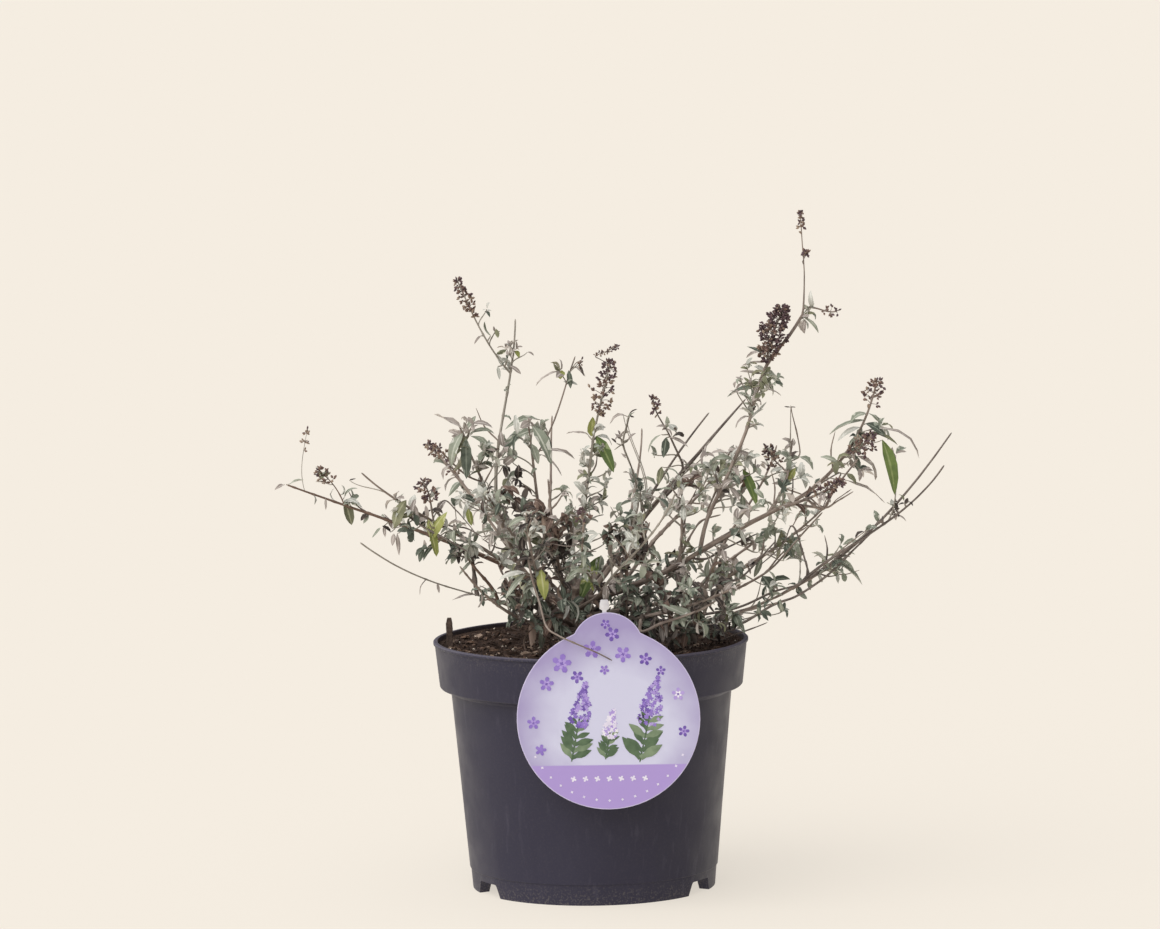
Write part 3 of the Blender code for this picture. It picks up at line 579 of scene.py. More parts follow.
@dataclass(frozen=True)
class Leafage:
    """A leaf's colours: two for its upper face, one for its midrib and one for its felted underside."""

    name: str
    light: str
    dark: str
    rib: str
    under: str

    def materials(self) -> list[bpy.types.Material]:
        """The four materials, in the order of a leaf's slots.

        Returns:
            The materials.
        """
        parts = (
            ("light", self.light, self.dark), ("dark", self.dark, self.dark), ("rib", self.rib, self.light),
            ("under", self.under, self.rib),
        )
        return [
            Mottled(f"{self.name}_{part}", one, two, 0.78, 160, 0.12, 1100, sheen=0.12).material()
            for part, one, two in parts
        ]


@dataclass(frozen=True)
class PrintedCard:
    """Glossy printed card: pale lilac in the middle, violet towards its edge, and a deeper foot."""

    middle: str = "d2d2ea"
    edge: str = "a498c5"
    foot: str = "ae97d6"
    centre: tuple = (12 * MM, 110 * MM)
    foot_height: float = 88.2 * MM

    def material(self) -> bpy.types.Material:
        """The finish as a material.

        Returns:
            The material.
        """
        s = Shading("label_print", self.middle, 0.34, coat_weight=0.2, coat_roughness=0.15)
        parts = s.node("ShaderNodeSeparateXYZ", Vector=s.place)
        across, height = parts.outputs[0], parts.outputs[2]
        side = s.sums("SUBTRACT", across, self.centre[0])
        rise = s.sums("SUBTRACT", height, self.centre[1])
        reach = s.sums("SQRT", s.sums("ADD", s.sums("MULTIPLY", side, side), s.sums("MULTIPLY", rise, rise)))
        cloud = s.sums("MULTIPLY", s.sums("SUBTRACT", s.noise(42, 3), 0.5), 26 * MM)
        base = s.mixed(s.stretch(s.sums("ADD", reach, cloud), 32 * MM, 60 * MM), self.middle, self.edge)
        base = s.mixed(s.stretch(height, self.foot_height, self.foot_height - 0.6 * MM), base, self.foot)
        s.link(base, "Base Color")
        s.bump(s.noise(700, 2), 0.02 * MM)
        return s.material


# The pot, its soil and its label


@dataclass
class NurseryPot:
    """The thrown-away kind of pot: a deep rim band, a tapered body and a foot with drain notches."""

    rim_radius: float = 95 * MM
    height: float = 150 * MM
    band_height: float = 28 * MM
    band_foot_radius: float = 91.4 * MM
    body_top_radius: float = 84.6 * MM
    foot_radius: float = 74 * MM
    ledge_height: float = 12 * MM
    ledge_depth: float = 0.7 * MM
    wall: float = 1.8 * MM
    channel: tuple = (52 * MM, 66 * MM, 8 * MM)
    notch_angles: tuple = (60, 120, 240, 300)
    notch_width: float = 26 * MM
    notch_taper: float = 0.72
    drains: int = 4
    drain_radius: float = 4.5 * MM
    finish: PotPlastic = PotPlastic()

    def wall_radius(self, height: float) -> float:
        """The body's outer radius at a height below the band."""
        spread = self.body_top_radius - self.foot_radius
        return self.foot_radius + spread * height / (self.height - self.band_height)

    def profile(self) -> list[tuple]:
        """The pot's outline from the axis underneath, over the rim, to the axis inside.

        Returns:
            Pairs of radius and height.
        """
        inner, outer, deep = self.channel
        band_foot = self.height - self.band_height
        lip, wall, ledge = 0.5 * self.wall, self.wall, self.ledge_height
        floor = deep + wall
        return [
            (0, 0),
            (inner - wall, 0),
            (inner, deep),
            (outer, deep),
            (outer + lip, 0),
            (self.foot_radius - self.ledge_depth, 0),
            (self.wall_radius(ledge) - self.ledge_depth, ledge),
            (self.wall_radius(ledge), ledge + self.ledge_depth),
            (self.wall_radius(60 * MM), 60 * MM),
            (self.body_top_radius, band_foot - 3 * MM),
            (self.body_top_radius + 1.2 * MM, band_foot - 1.6 * MM),
            (self.band_foot_radius - 0.6 * MM, band_foot),
            (self.band_foot_radius, band_foot + 0.7 * MM),
            (self.rim_radius - lip, self.height - 2.4 * MM),
            (self.rim_radius, self.height - 1.7 * MM),
            (self.rim_radius, self.height - 0.5 * MM),
            (self.rim_radius - 0.6 * MM, self.height),
            (self.rim_radius - 1.4 * wall, self.height),
            (self.band_foot_radius - wall, band_foot + wall),
            (self.body_top_radius - wall, band_foot - wall),
            (self.wall_radius(floor) - wall, floor),
            (inner - wall, floor),
            (inner - 2 * wall, wall),
            (0, wall),
        ]

    def cutter(self, notch: bool, angle: float) -> bpy.types.Object:
        """A block that cuts one notch through the foot wall, or one drain hole through the channel's roof.

        Args:
            notch: True for a notch, False for a drain hole.
            angle: Where it is round the pot, in radians.

        Returns:
            The piece, in object mode.
        """
        inner, outer, deep = self.channel
        if notch:
            middle = (self.body_top_radius + outer - 3 * MM) / 2
            size = (self.notch_width, self.body_top_radius - outer + 3 * MM, deep + MM)
            piece = Bench.block("notch", size, (0, -middle, deep / 2 - MM / 2))
            Bench.edit(piece)
            Bench.pick(piece, lambda place: place.z > deep / 2)
            bpy.ops.transform.resize(value=(self.notch_taper, 1, 1))
            bpy.ops.mesh.select_all(action="SELECT")
            bpy.ops.mesh.bevel(offset=1.2 * MM, segments=2)
            Bench.leave()
        else:
            bpy.ops.object.select_all(action="DESELECT")
            bpy.ops.mesh.primitive_cylinder_add(
                vertices=24, radius=self.drain_radius, depth=4 * self.wall,
                location=((inner + outer) / 2, 0, deep),
            )
            piece = Bench.named("drain")
        piece.rotation_euler.z = angle
        Bench.take(piece)
        bpy.ops.object.transform_apply(location=False, rotation=True, scale=False)
        return piece

    def build(self) -> None:
        """The pot, spun from its outline, cut, and rounded along its edges."""
        pot = Bench.turned("nursery_pot", self.profile(), 144)
        cutters = [self.cutter(True, math.radians(angle)) for angle in self.notch_angles]
        cutters += [self.cutter(False, math.tau * (i + 0.5) / self.drains) for i in range(self.drains)]
        for cutter in cutters:
            Bench.modify(pot, "BOOLEAN", operation="DIFFERENCE", object=cutter, solver="EXACT")
            bpy.data.objects.remove(cutter)
        Bench.rounded(pot, 0.35 * MM, 28)
        Bench.smooth(pot, 35)
        Bench.coated(pot, self.finish)
        hand_over(pot, ["pot"])


class Batch:
    """Points and faces of many small things, gathered in arrays and joined into one piece."""

    def __init__(self) -> None:
        """Starts empty."""
        self.points: list = []
        self.count = 0
        self.faces: dict = {}
        self.grain: list = []

    def add(
        self, points: np.ndarray, faces: np.ndarray, slots: np.ndarray | int = 0, grain: object = None
    ) -> None:
        """Adds a block of points and its faces, all of one size.

        Args:
            points: The new points.
            faces: Rows of indices that count from this block's first point.
            slots: The material slot of each face, or one for all.
            grain: The bark vector of each point, if the piece has one.
        """
        self.points.append(points)
        self.more(faces, slots)
        self.count += len(points)
        if grain is not None:
            self.grain.append(grain)

    def more(self, faces: np.ndarray, slots: np.ndarray | int = 0) -> None:
        """Adds faces of another size on the block that is about to be added.

        Args:
            faces: A row of point numbers for each face.
            slots: Their slots.
        """
        rows = np.asarray(faces) + self.count
        slots = np.broadcast_to(np.asarray(slots), (len(rows),))
        self.faces.setdefault(rows.shape[1], []).append((rows, slots))

    def piece(
        self, name: str, materials: Sequence[bpy.types.Material], sharp: float = 60
    ) -> bpy.types.Object:
        """One piece of all that was added, shaded smooth but for edges sharper than an angle in degrees.

        Args:
            name: The piece's name.
            materials: Its materials, in the order of the slots.
            sharp: The angle from which an edge stays sharp.

        Returns:
            The piece, in object mode.
        """
        mesh = bpy.data.meshes.new(name)
        points = np.concatenate(self.points)
        mesh.vertices.add(len(points))
        mesh.vertices.foreach_set("co", points.astype(np.float32).ravel())
        loops, starts, slots, at = [], [], [], 0
        for size, blocks in self.faces.items():
            rows = np.concatenate([block for block, _ in blocks])
            loops.append(rows.ravel())
            starts.append(at + size * np.arange(len(rows)))
            slots.append(np.concatenate([slot for _, slot in blocks]))
            at += rows.size
        mesh.loops.add(at)
        mesh.loops.foreach_set("vertex_index", np.concatenate(loops).astype(np.int32))
        starts = np.concatenate(starts).astype(np.int32)
        mesh.polygons.add(len(starts))
        mesh.polygons.foreach_set("loop_start", starts)
        mesh.polygons.foreach_set("material_index", np.concatenate(slots).astype(np.int32))
        mesh.polygons.foreach_set("use_smooth", np.ones(len(starts), dtype=bool))
        mesh.update(calc_edges=True)
        mesh.validate()
        if self.grain:
            grain = mesh.attributes.new("grain", "FLOAT_VECTOR", "POINT")
            grain.data.foreach_set("vector", np.concatenate(self.grain).astype(np.float32).ravel())
        mesh.set_sharp_from_angle(angle=math.radians(sharp))
        for material in materials:
            mesh.materials.append(material)
        piece = bpy.data.objects.new(name, mesh)
        bpy.context.collection.objects.link(piece)
        return piece


@dataclass
class PotSoil:
    """Peat under the rim, with bark chips, fibres and crumbs on it and a splinter that stands at the left."""

    level: float = 142 * MM
    roughness: float = 1.6 * MM
    clear: float = 0.3 * MM
    heap: float = 5.5 * MM
    foot_place: tuple = (-8 * MM, 0.0)
    chips: int = 620
    crumbs: int = 2600
    splinter_place: tuple = (-87.5 * MM, -4 * MM)
    splinter: tuple = (4.2 * MM, 5.0 * MM, 22 * MM)
    seed: str = "peat"
    pot: NurseryPot = field(default_factory=NurseryPot)

    def top_radius(self) -> float:
        """The soil's radius at its top, just clear of the pot.

        Returns:
            The radius.
        """
        pot = self.pot
        low, high = pot.height - pot.band_height + pot.wall, pot.height
        inner = (pot.band_foot_radius - pot.wall, pot.rim_radius - 1.4 * pot.wall)
        return float(np.interp(self.level, (low, high), inner)) - self.clear

    def build_bed(self) -> bpy.types.Object:
        """The body of the soil, spun from an outline and roughened on top.

        Returns:
            The piece, in object mode.
        """
        pot, clear = self.pot, self.clear
        inner, _, deep = pot.channel
        band_foot, wall, floor = pot.height - pot.band_height, pot.wall, deep + pot.wall + clear
        top = self.top_radius()
        profile = [(top * i / 56, self.level) for i in range(57)]
        profile += [
            (pot.band_foot_radius - wall - clear, band_foot + wall + clear),
            (pot.body_top_radius - wall - clear, band_foot - wall + clear),
            (pot.wall_radius(floor) - wall - clear, floor),
            (inner - wall - clear, floor),
            (inner - 2 * wall - clear, wall + clear),
            (0, wall + clear),
        ]
        bed = Bench.turned("soil_bed", profile, 160)
        for vertex in bed.data.vertices:
            place = vertex.co
            if place.z < self.level - 0.01 * MM:
                continue
            near = min(1.0, math.hypot(place.x - self.foot_place[0], place.y) / (30 * MM))
            edge = 1 - 0.8 * max(0.0, min(1.0, (math.hypot(place.x, place.y) / top - 0.93) / 0.07))
            coarse = noise.fractal(place * 70 + Vector((3, 1, 0)), 1.0, 2.0, 3)
            fine = noise.fractal(place * 420, 1.0, 2.0, 3)
            place.z += self.roughness * edge * (coarse * 0.9 * near + fine * 0.55) + 0.5 * MM * (1 - near)
            heap = self.heap * max(0.0, math.hypot(place.x, place.y) / top - 0.6) / 0.4
            place.z += heap
            place.x *= 1 + 0.1 * heap / top
            place.y *= 1 + 0.1 * heap / top
        bed.data.update()
        Bench.smooth(bed, 60)
        Bench.coated(bed, PottingSoil())
        return bed

    def scattered(self, rng: random.Random, tree: BVHTree, radius: float) -> tuple:
        """A random place on the soil and how high the soil is there.

        Args:
            rng: Deals the place.
            tree: The bed's surface.
            radius: How far from the axis it may lie.

        Returns:
            The place across, its depth and the height.
        """
        while True:
            angle, share = rng.uniform(0, math.tau), math.sqrt(rng.random())
            x, y = math.cos(angle) * share * radius, math.sin(angle) * share * radius
            hit, _, _, _ = tree.ray_cast(Vector((x, y, 0.2)), Vector((0, 0, -1)))
            if hit is not None and math.hypot(x - self.foot_place[0], y) > 11 * MM:
                return x, y, hit.z

    def add_chip(
        self, batch: Batch, rng: random.Random, place: tuple, size: tuple, tilt: float, slot: int
    ) -> None:
        """Adds a splintered chip: an eight-sided slab with uneven corners.

        Args:
            batch: Takes the chip.
            rng: Deals its turn and corners.
            place: Its middle.
            size: Its length, width and thickness.
            tilt: How far it may lean, in radians.
            slot: Its material.
        """
        long, wide, thick = size
        turn = Matrix.Rotation(rng.uniform(0, math.tau), 3, "Z")
        turn = turn @ Matrix.Rotation(rng.uniform(-tilt, tilt), 3, "X")
        turn = turn @ Matrix.Rotation(rng.uniform(-tilt, tilt), 3, "Y")
        points = []
        for layer in (-0.5, 0.5):
            for k in range(6):
                angle = math.tau * k / 6 + 0.3
                reach = rng.uniform(0.75, 1.1) * (0.92 if layer > 0 else 1)
                across = (math.cos(angle) * long * reach / 2, math.sin(angle) * wide * reach / 2)
                points.append(tuple(Vector(place) + turn @ Vector((*across, layer * thick))))
        sides = [(k, (k + 1) % 6, 6 + (k + 1) % 6, 6 + k) for k in range(6)]
        batch.more(np.array([[5, 4, 3, 2, 1, 0], [6, 7, 8, 9, 10, 11]]), slot)
        batch.add(np.array(points), np.array(sides), slot)

    def add_crumb(self, batch: Batch, rng: random.Random, place: Vector, size: float) -> None:
        """Adds a crumb or a pale grain: an uneven body of eight faces.

        Args:
            batch: Takes the crumb.
            rng: Deals its turn, corners and material.
            place: Its middle.
            size: How large it is.
        """
        corners = [Vector(p) for p in ((0, 0, 1), (1, 0, 0), (0, 1, 0), (-1, 0, 0), (0, -1, 0), (0, 0, -1))]
        turn = Matrix.Rotation(rng.uniform(0, 3), 3, "Z") @ Matrix.Rotation(rng.uniform(-0.6, 0.6), 3, "X")
        made = [tuple(place + turn @ corner * size * rng.uniform(0.35, 0.65)) for corner in corners]
        rows = [(0, k, k % 4 + 1) for k in (1, 2, 3, 4)] + [(5, k % 4 + 1, k) for k in (1, 2, 3, 4)]
        batch.add(np.array(made), np.array(rows), rng.choices((3, 4), (0.93, 0.07))[0])

    def build_litter(self, bed: bpy.types.Object) -> bpy.types.Object:
        """Bark chips, pale grains and peat crumbs, each seated in the surface of the bed.

        Args:
            bed: The bed of soil.

        Returns:
            The piece, in object mode.
        """
        rng = random.Random(self.seed)
        tree = BVHTree.FromPolygons(
            [vertex.co.copy() for vertex in bed.data.vertices],
            [tuple(face.vertices) for face in bed.data.polygons],
        )
        batch = Batch()
        radius = self.top_radius() - 4 * MM
        for _ in range(self.chips):
            x, y, z = self.scattered(rng, tree, radius)
            long = rng.choice((3.2, 4, 5, 6.5, 9)) * MM * rng.uniform(0.8, 1.15)
            thick = rng.uniform(0.7, 1.6) * MM
            size = (long, long * rng.uniform(0.35, 0.75), thick)
            slot = rng.choices((0, 1, 2), (0.6, 0.3, 0.1))[0]
            self.add_chip(batch, rng, (x, y, z + thick * 0.2), size, 0.45, slot)
        for _ in range(self.crumbs):
            x, y, z = self.scattered(rng, tree, radius + 2 * MM)
            size = rng.uniform(0.8, 2.2) * MM
            self.add_crumb(batch, rng, Vector((x, y, z + 0.2 * size)), size)
        finishes = (
            Mottled("chip_brown", "57443a", "35281f", 0.85, 500, 0.3),
            Mottled("chip_tan", "7a6150", "523f33", 0.85, 500, 0.3),
            Mottled("chip_pale", "a38f7f", "7a6657", 0.85, 500, 0.3),
            Mottled("crumb_dark", "46372e", "2b201a", 0.95, 700, 0.3),
            Mottled("grain_pale", "d8cfc2", "aa9c8c", 0.8, 700, 0.2),
        )
        return batch.piece("soil_litter", [finish.material() for finish in finishes], 40)

    def build_splinter(self) -> bpy.types.Object:
        """The bark splinter that stands up beside the rim, drawn up from a block in edit mode.

        Returns:
            The piece, in object mode.
        """
        thick, wide, tall = self.splinter
        x, y = self.splinter_place
        x += thick / 2
        piece = Bench.block("bark_splinter", (thick, wide, 4 * MM), (x, y, self.level - 2 * MM))
        Bench.edit(piece)
        top = self.level
        for lean, squeeze, rise in ((0.2, 0.98, 0.24), (0.3, 0.9, 0.3), (-0.2, 1.1, 0.3), (0.3, 0.6, 0.16)):
            Bench.pick(piece, lambda place: place.z > top - 0.1 * MM)
            top += rise * tall
            Bench.drawn((lean * MM, 0.2 * MM, rise * tall), (squeeze * 0.98, squeeze, 1), (x, y, top))
        bpy.ops.mesh.select_all(action="SELECT")
        bpy.ops.mesh.subdivide(number_cuts=3)
        Bench.leave()
        for vertex in piece.data.vertices:
            spot = vertex.co * 900
            vertex.co += Vector((noise.noise(spot), noise.noise(spot + Vector((7, 0, 0))), 0)) * 0.35 * MM
        piece.data.update()
        Bench.smooth(piece, 40)
        Bench.coated(piece, Mottled("splinter_bark", "3f332d", "5f5046", 0.85, 500, 0.4, 900))
        return piece

    def build(self) -> None:
        """The soil with all that lies on it."""
        bed = self.build_bed()
        litter = self.build_litter(bed)
        splinter = self.build_splinter()
        hand_over(bed, ["soil"])
        hand_over(litter)
        hand_over(splinter)


@dataclass
class PlantLabel:
    """A printed card with a round head, hung on a barbed stake before the rim. Its print is plain."""

    centre: tuple = (9.6 * MM, 115.3 * MM)
    radius: float = 53.8 * MM
    head_radius: float = 21.2 * MM
    head_rise: float = 41.6 * MM
    shoulder: float = 27 * MM
    thickness: float = 0.6 * MM
    face: float = -95.3 * MM
    border: float = 0.5 * MM
    stake_shift: float = -1.5 * MM
    stake_width: float = 3.6 * MM
    stake_thickness: float = 1.2 * MM
    stake_top: float = 184.5 * MM
    stake_barb: tuple = (5.8 * MM, 4.2 * MM)
    ink: float = 0.05 * MM
    finish: PrintedCard = PrintedCard()
    layer: int = 0

    def outline(self) -> list[tuple]:
        """The card's edge: a disc, with shoulders that sweep up into a round head.

        Returns:
            Points in the card's back plane.
        """
        x, z = self.centre
        meet = math.asin(self.shoulder / self.radius)
        points = []
        for i in range(65):
            turn = meet + (math.tau - 2 * meet) * i / 64
            points.append((self.radius * math.sin(turn), self.radius * math.cos(turn)))
        drop = self.head_rise - self.radius * math.cos(meet) - 4 * MM
        start = math.acos(-drop / self.head_radius)
        for i in range(29):
            turn = -start + 2 * start * i / 28
            up = self.head_rise + self.head_radius * math.cos(turn)
            points.append((self.head_radius * math.sin(turn), up))
        return [(x + across, self.face, z + up) for across, up in points]

    def build_card(self) -> bpy.types.Object:
        """The card: its outline filled, its face inset for the pale edge, then given thickness.

        Returns:
            The piece, in object mode.
        """
        card = Bench.traced("label_card", self.outline())
        bpy.ops.mesh.select_all(action="SELECT")
        bpy.ops.mesh.edge_face_add()
        bpy.ops.mesh.normals_make_consistent(inside=False)
        bpy.ops.mesh.extrude_region_move(TRANSFORM_OT_translate={"value": (0, -self.thickness, 0)})
        front = self.face - self.thickness / 2
        bpy.ops.mesh.select_all(action="SELECT")
        bpy.ops.mesh.normals_make_consistent(inside=False)
        Bench.pick(card, lambda place, normal: abs(normal.y) > 0.9 and place.y < front, faces=True)
        bpy.ops.mesh.inset(thickness=self.border)
        Bench.leave()
        edge = Mottled("card_edge", "d0c9e6", "c1b8dc", 0.4, 200, 0.02, specular=0.5)
        Bench.coated(card, edge, self.finish)
        for face in card.data.polygons:
            face.material_index = 1 if face.select and len(face.vertices) > 8 else 0
        Bench.rounded(card, 0.12 * MM, 50)
        Bench.modify(card, "TRIANGULATE", ngon_method="BEAUTY")
        Bench.smooth(card, 30)
        return card

    def build_stake(self) -> bpy.types.Object:
        """The stake: a block drawn up in edit mode along its crank, over the rim and out into the barb.

        Returns:
            The piece, in object mode.
        """
        across = self.centre[0] + self.stake_shift
        back, thin = self.face + 0.3 * MM + self.stake_thickness, self.stake_thickness
        pot, top, wide, neck = NurseryPot(), self.stake_top, self.stake_width, self.stake_width * 0.72
        inner = 1.4 * pot.wall + 0.6 * MM - pot.rim_radius
        rows = [
            (inner + 2.2 * MM, 143.5 * MM, wide),
            (inner + 1.6 * MM, 151 * MM, wide),
            (back, 162 * MM, wide),
            (back, top - 8.2 * MM, wide),
            (back, top - 7.4 * MM, neck),
            (back, top - 5.2 * MM, neck),
            (back, top - 4.4 * MM, self.stake_barb[0]),
            (back, top - 1.6 * MM, self.stake_barb[0] * 0.96),
            (back, top + 1 * MM, self.stake_barb[1]),
        ]
        depth, height, width = rows[0]
        bpy.ops.object.select_all(action="DESELECT")
        bpy.ops.mesh.primitive_plane_add(size=1, location=(across, depth - thin / 2, height))
        stake = bpy.context.object
        stake.scale = (width, thin, 1)
        stake = Bench.named("label_spike")
        Bench.edit(stake, "FACE")
        bpy.ops.mesh.select_all(action="SELECT")
        for (depth, height, width), (next_depth, next_height, next_width) in zip(rows, rows[1:]):
            step = (0, next_depth - depth, next_height - height)
            Bench.drawn(step, (next_width / width, 1, 1), (across, next_depth - thin / 2, next_height))
        bpy.ops.mesh.select_all(action="SELECT")
        bpy.ops.mesh.normals_make_consistent(inside=False)
        Bench.leave()
        Bench.rounded(stake, 0.25 * MM, 40)
        Bench.smooth(stake, 35)
        Bench.coated(stake, Mottled("white_plastic", "e6e4e6", "d3d0d4", 0.38, 120, 0.05, 700, specular=0.5))
        return stake

    def ink_depth(self) -> float:
        """How far back the middle of the print lies."""
        return self.face - self.thickness - self.ink / 2

    def floret(self, size: float, petals: int) -> bpy.types.Object:
        """A flat floret: petals drawn out of a small disc in edit mode, just proud of the card.

        Args:
            size: How wide it is.
            petals: How many petals it has.

        Returns:
            The piece, in object mode.
        """
        bpy.ops.object.select_all(action="DESELECT")
        bpy.ops.mesh.primitive_cylinder_add(
            vertices=petals * 4, radius=size * 0.3, depth=self.ink, location=(0, self.ink_depth(), 0),
            rotation=(math.pi / 2, 0, 0),
        )
        piece = Bench.named("floret")
        for vertex in piece.data.vertices:
            angle = math.atan2(vertex.co.z, vertex.co.x)
            reach = 0.42 + 0.58 * abs(math.cos(petals * angle / 2)) ** 0.8
            flat = Vector((vertex.co.x, 0, vertex.co.z)).normalized() * size / 2 * reach
            vertex.co.x, vertex.co.z = flat.x, flat.z
        return piece

    def blade(self, length: float, width: float) -> bpy.types.Object:
        """A flat pointed leaf, drawn out of a block in edit mode, just proud of the card.

        Args:
            length: Its length.
            width: Its greatest width.

        Returns:
            The piece, in object mode.
        """
        step = length * 0.2
        piece = Bench.block("blade", (step, self.ink, width * 0.5), (step / 2, self.ink_depth(), 0))
        Bench.edit(piece, "FACE")
        for number, share in enumerate((1.7, 1.0, 0.62, 0.12), 1):
            Bench.pick(piece, lambda place: place.x > step * (number - 0.05))
            Bench.drawn((step, 0, 0), (1, 1, share))
        Bench.leave()
        return piece

    def stamped(
        self, model: bpy.types.Object, across: float, up: float, turn: float, scale: float
    ) -> bpy.types.Object:
        """A copy of a model with its own mesh, turned about the card's face and set at a place on it.

        Args:
            model: What is copied.
            across: Millimetres to the right of the card's middle.
            up: Millimetres above it.
            turn: Its turn, in radians.
            scale: Its size.

        Returns:
            The copy.
        """
        copy = model.copy()
        copy.data = model.data.copy()
        bpy.context.collection.objects.link(copy)
        place = Matrix.Translation((self.centre[0] + across * MM, 0, self.centre[1] + up * MM))
        copy.data.transform(place @ Matrix.Rotation(turn, 4, "Y") @ Matrix.Diagonal((scale, 1, scale, 1)))
        self.layer = (self.layer + 1) % 16
        copy.data.transform(Matrix.Translation((0, -0.012 * MM * self.layer, 0)))
        return copy

    def build_print(self) -> bpy.types.Object:
        """A plain pattern in the card's colours: soft blossoms above, flower cones with leaves, and dots.

        Returns:
            The piece, in object mode.
        """
        rng = random.Random("sprig")
        colours = {
            "violet": ("6a4fa6", "8067b8"), "mauve": ("9a80cf", "8a70c4"), "lilac": ("b9a4e0", "ab94d8"),
            "pale": ("f0edf7", "e0d8ef"), "green": ("5f7558", "4a6047"), "fern": ("86977a", "6f8266"),
        }
        inks = {
            name: Mottled("print_" + name, one, two, 0.36, 220, 0.01).material()
            for name, (one, two) in colours.items()
        }
        four, five, blade = self.floret(1.0, 4), self.floret(1.0, 5), self.blade(1.0, 0.42)
        made = []

        def stamp(model: bpy.types.Object, ink: str, *place: float) -> None:
            """Sets one copy of a model in one colour.

            Args:
                model: What is copied.
                ink: The colour's name.
                *place: Across, up, turn and scale.
            """
            copy = self.stamped(model, *place)
            copy.data.materials.clear()
            copy.data.materials.append(inks[ink])
            made.append(copy)

        blossoms = (
            (-9, 41, 11), (3, 50, 9), (9, 38, 10), (-27, 33, 12), (-36, 21, 9), (-18, 25, 8), (22, 35, 8),
            (41, 14, 8), (-44, -2, 8), (-2, 29, 6), (-40, -18, 7), (44, -8, 7), (31, 28, 6), (-1, 56, 6),
        )
        for x, z, size in blossoms:
            turn = rng.uniform(0, math.tau)
            ink = rng.choice(("mauve", "violet", "mauve", "lilac"))
            stamp(five, ink, x, z, turn, size * MM)
            stamp(five, "lilac" if ink != "lilac" else "pale", x, z, turn + 0.6, size * 0.55 * MM)
            stamp(four, "violet", x, z, turn, size * 0.22 * MM)
        cones = (((-22, -25), (-13, 21), 1.0), ((18, -26), (29, 24), 1.15), ((-2, -24), (3, 5), 0.7))
        for (x0, z0), (x1, z1), size in cones:
            lean = math.atan2(z1 - z0, x1 - x0)
            for step in range(14):
                stamp(blade, "green", x0 + (x1 - x0) * step / 26, z0 + (z1 - z0) * step / 26, -lean, 3 * MM)
            for i in range(6):
                share = 0.05 + 0.085 * i
                for side in (1, -1):
                    turn = -(lean + side * rng.uniform(0.75, 1.15))
                    long = (12.5 - 1.0 * i) * size * rng.uniform(0.85, 1.15) * MM
                    ink = rng.choice(("green", "fern"))
                    stamp(blade, ink, x0 + (x1 - x0) * share, z0 + (z1 - z0) * share, turn, long)
            for i in range(16):
                share = 0.46 + 0.54 * i / 15
                wide = 6.6 * size * (1 - (i / 16) ** 1.5) * min(1, 0.6 + i / 6)
                for _ in range(3 + round(wide * 0.7)):
                    aside = rng.uniform(-wide, wide)
                    x = x0 + (x1 - x0) * share - aside * math.sin(lean)
                    z = z0 + (z1 - z0) * share + aside * math.cos(lean)
                    inner = ("pale", "pale", "lilac") if size < 0.9 else ("violet", "mauve", "lilac")
                    stamp(four, rng.choice(inner), x, z, rng.uniform(0, math.tau), rng.uniform(2.0, 3.3) * MM)
        for i in range(15):
            angle = math.radians(-63 + 9 * i)
            stamp(four, "pale", 48.5 * math.sin(angle), -48.5 * math.cos(angle), angle, 1.7 * MM)
        for i in range(7):
            stamp(four, "pale", -21 + 7 * i, -35.5, 0.4, 3.6 * MM)
        for model in (four, five, blade):
            bpy.data.objects.remove(model)
        return Bench.joined("label_sprigs", made)

    def build(self) -> None:
        """The card, its print and its stake."""
        card, stake, sprigs = self.build_card(), self.build_stake(), self.build_print()
        hand_over(card, ["label"])
        hand_over(sprigs)
        hand_over(stake, ["label_stake"])


# The plant's limbs, as in the source. Lengths in these tables are in millimetres.


class Kind(Enum):
    """The kinds of leaf, each joined into a piece of its own."""

    SAGE = Leafage("leaf_sage", "a3a796", "868c7c", "c8c9bb", "cccbc1")
    SILVER = Leafage("leaf_silver", "cccbc2", "b0b1a7", "dfded6", "dbd9d1")
    SHADE = Leafage("leaf_shade", "70786a", "4c5348", "929889", "a0a397")
    FRESH = Leafage("leaf_fresh", "77894b", "5e7140", "99a670", "909d74")
    LIME = Leafage("leaf_lime", "a5a763", "888e4e", "bebf8c", "b0b084")
    OLIVE = Leafage("leaf_olive", "8c8d70", "6f7058", "adad91", "aeab95")
    TAWNY = Leafage("leaf_tawny", "786357", "4d3c34", "978175", "948172")
    DUSK = Leafage("leaf_dusk", "bab0a8", "988e87", "d3cbc3", "d2cac3")
    UMBER = Leafage("leaf_umber", "574c46", "352d29", "7b7068", "827870")


@dataclass(frozen=True)
class Palette:
    """How often each kind of leaf is dealt to a spray."""

    kinds: tuple
    shares: tuple

    @classmethod
    def of(cls, **shares: int) -> "Palette":
        """A palette from the kinds' names, each with its share."""
        return cls(tuple(Kind[name] for name in shares), tuple(shares.values()))

    def deal(self, rng: random.Random) -> Kind:
        """One kind, drawn by the shares."""
        return rng.choices(self.kinds, self.shares)[0]


GREY = Palette.of(SAGE=32, SILVER=22, DUSK=20, SHADE=12, OLIVE=9, UMBER=5)
GREEN = Palette.of(SAGE=36, SHADE=24, OLIVE=14, SILVER=14, LIME=4, DUSK=8)
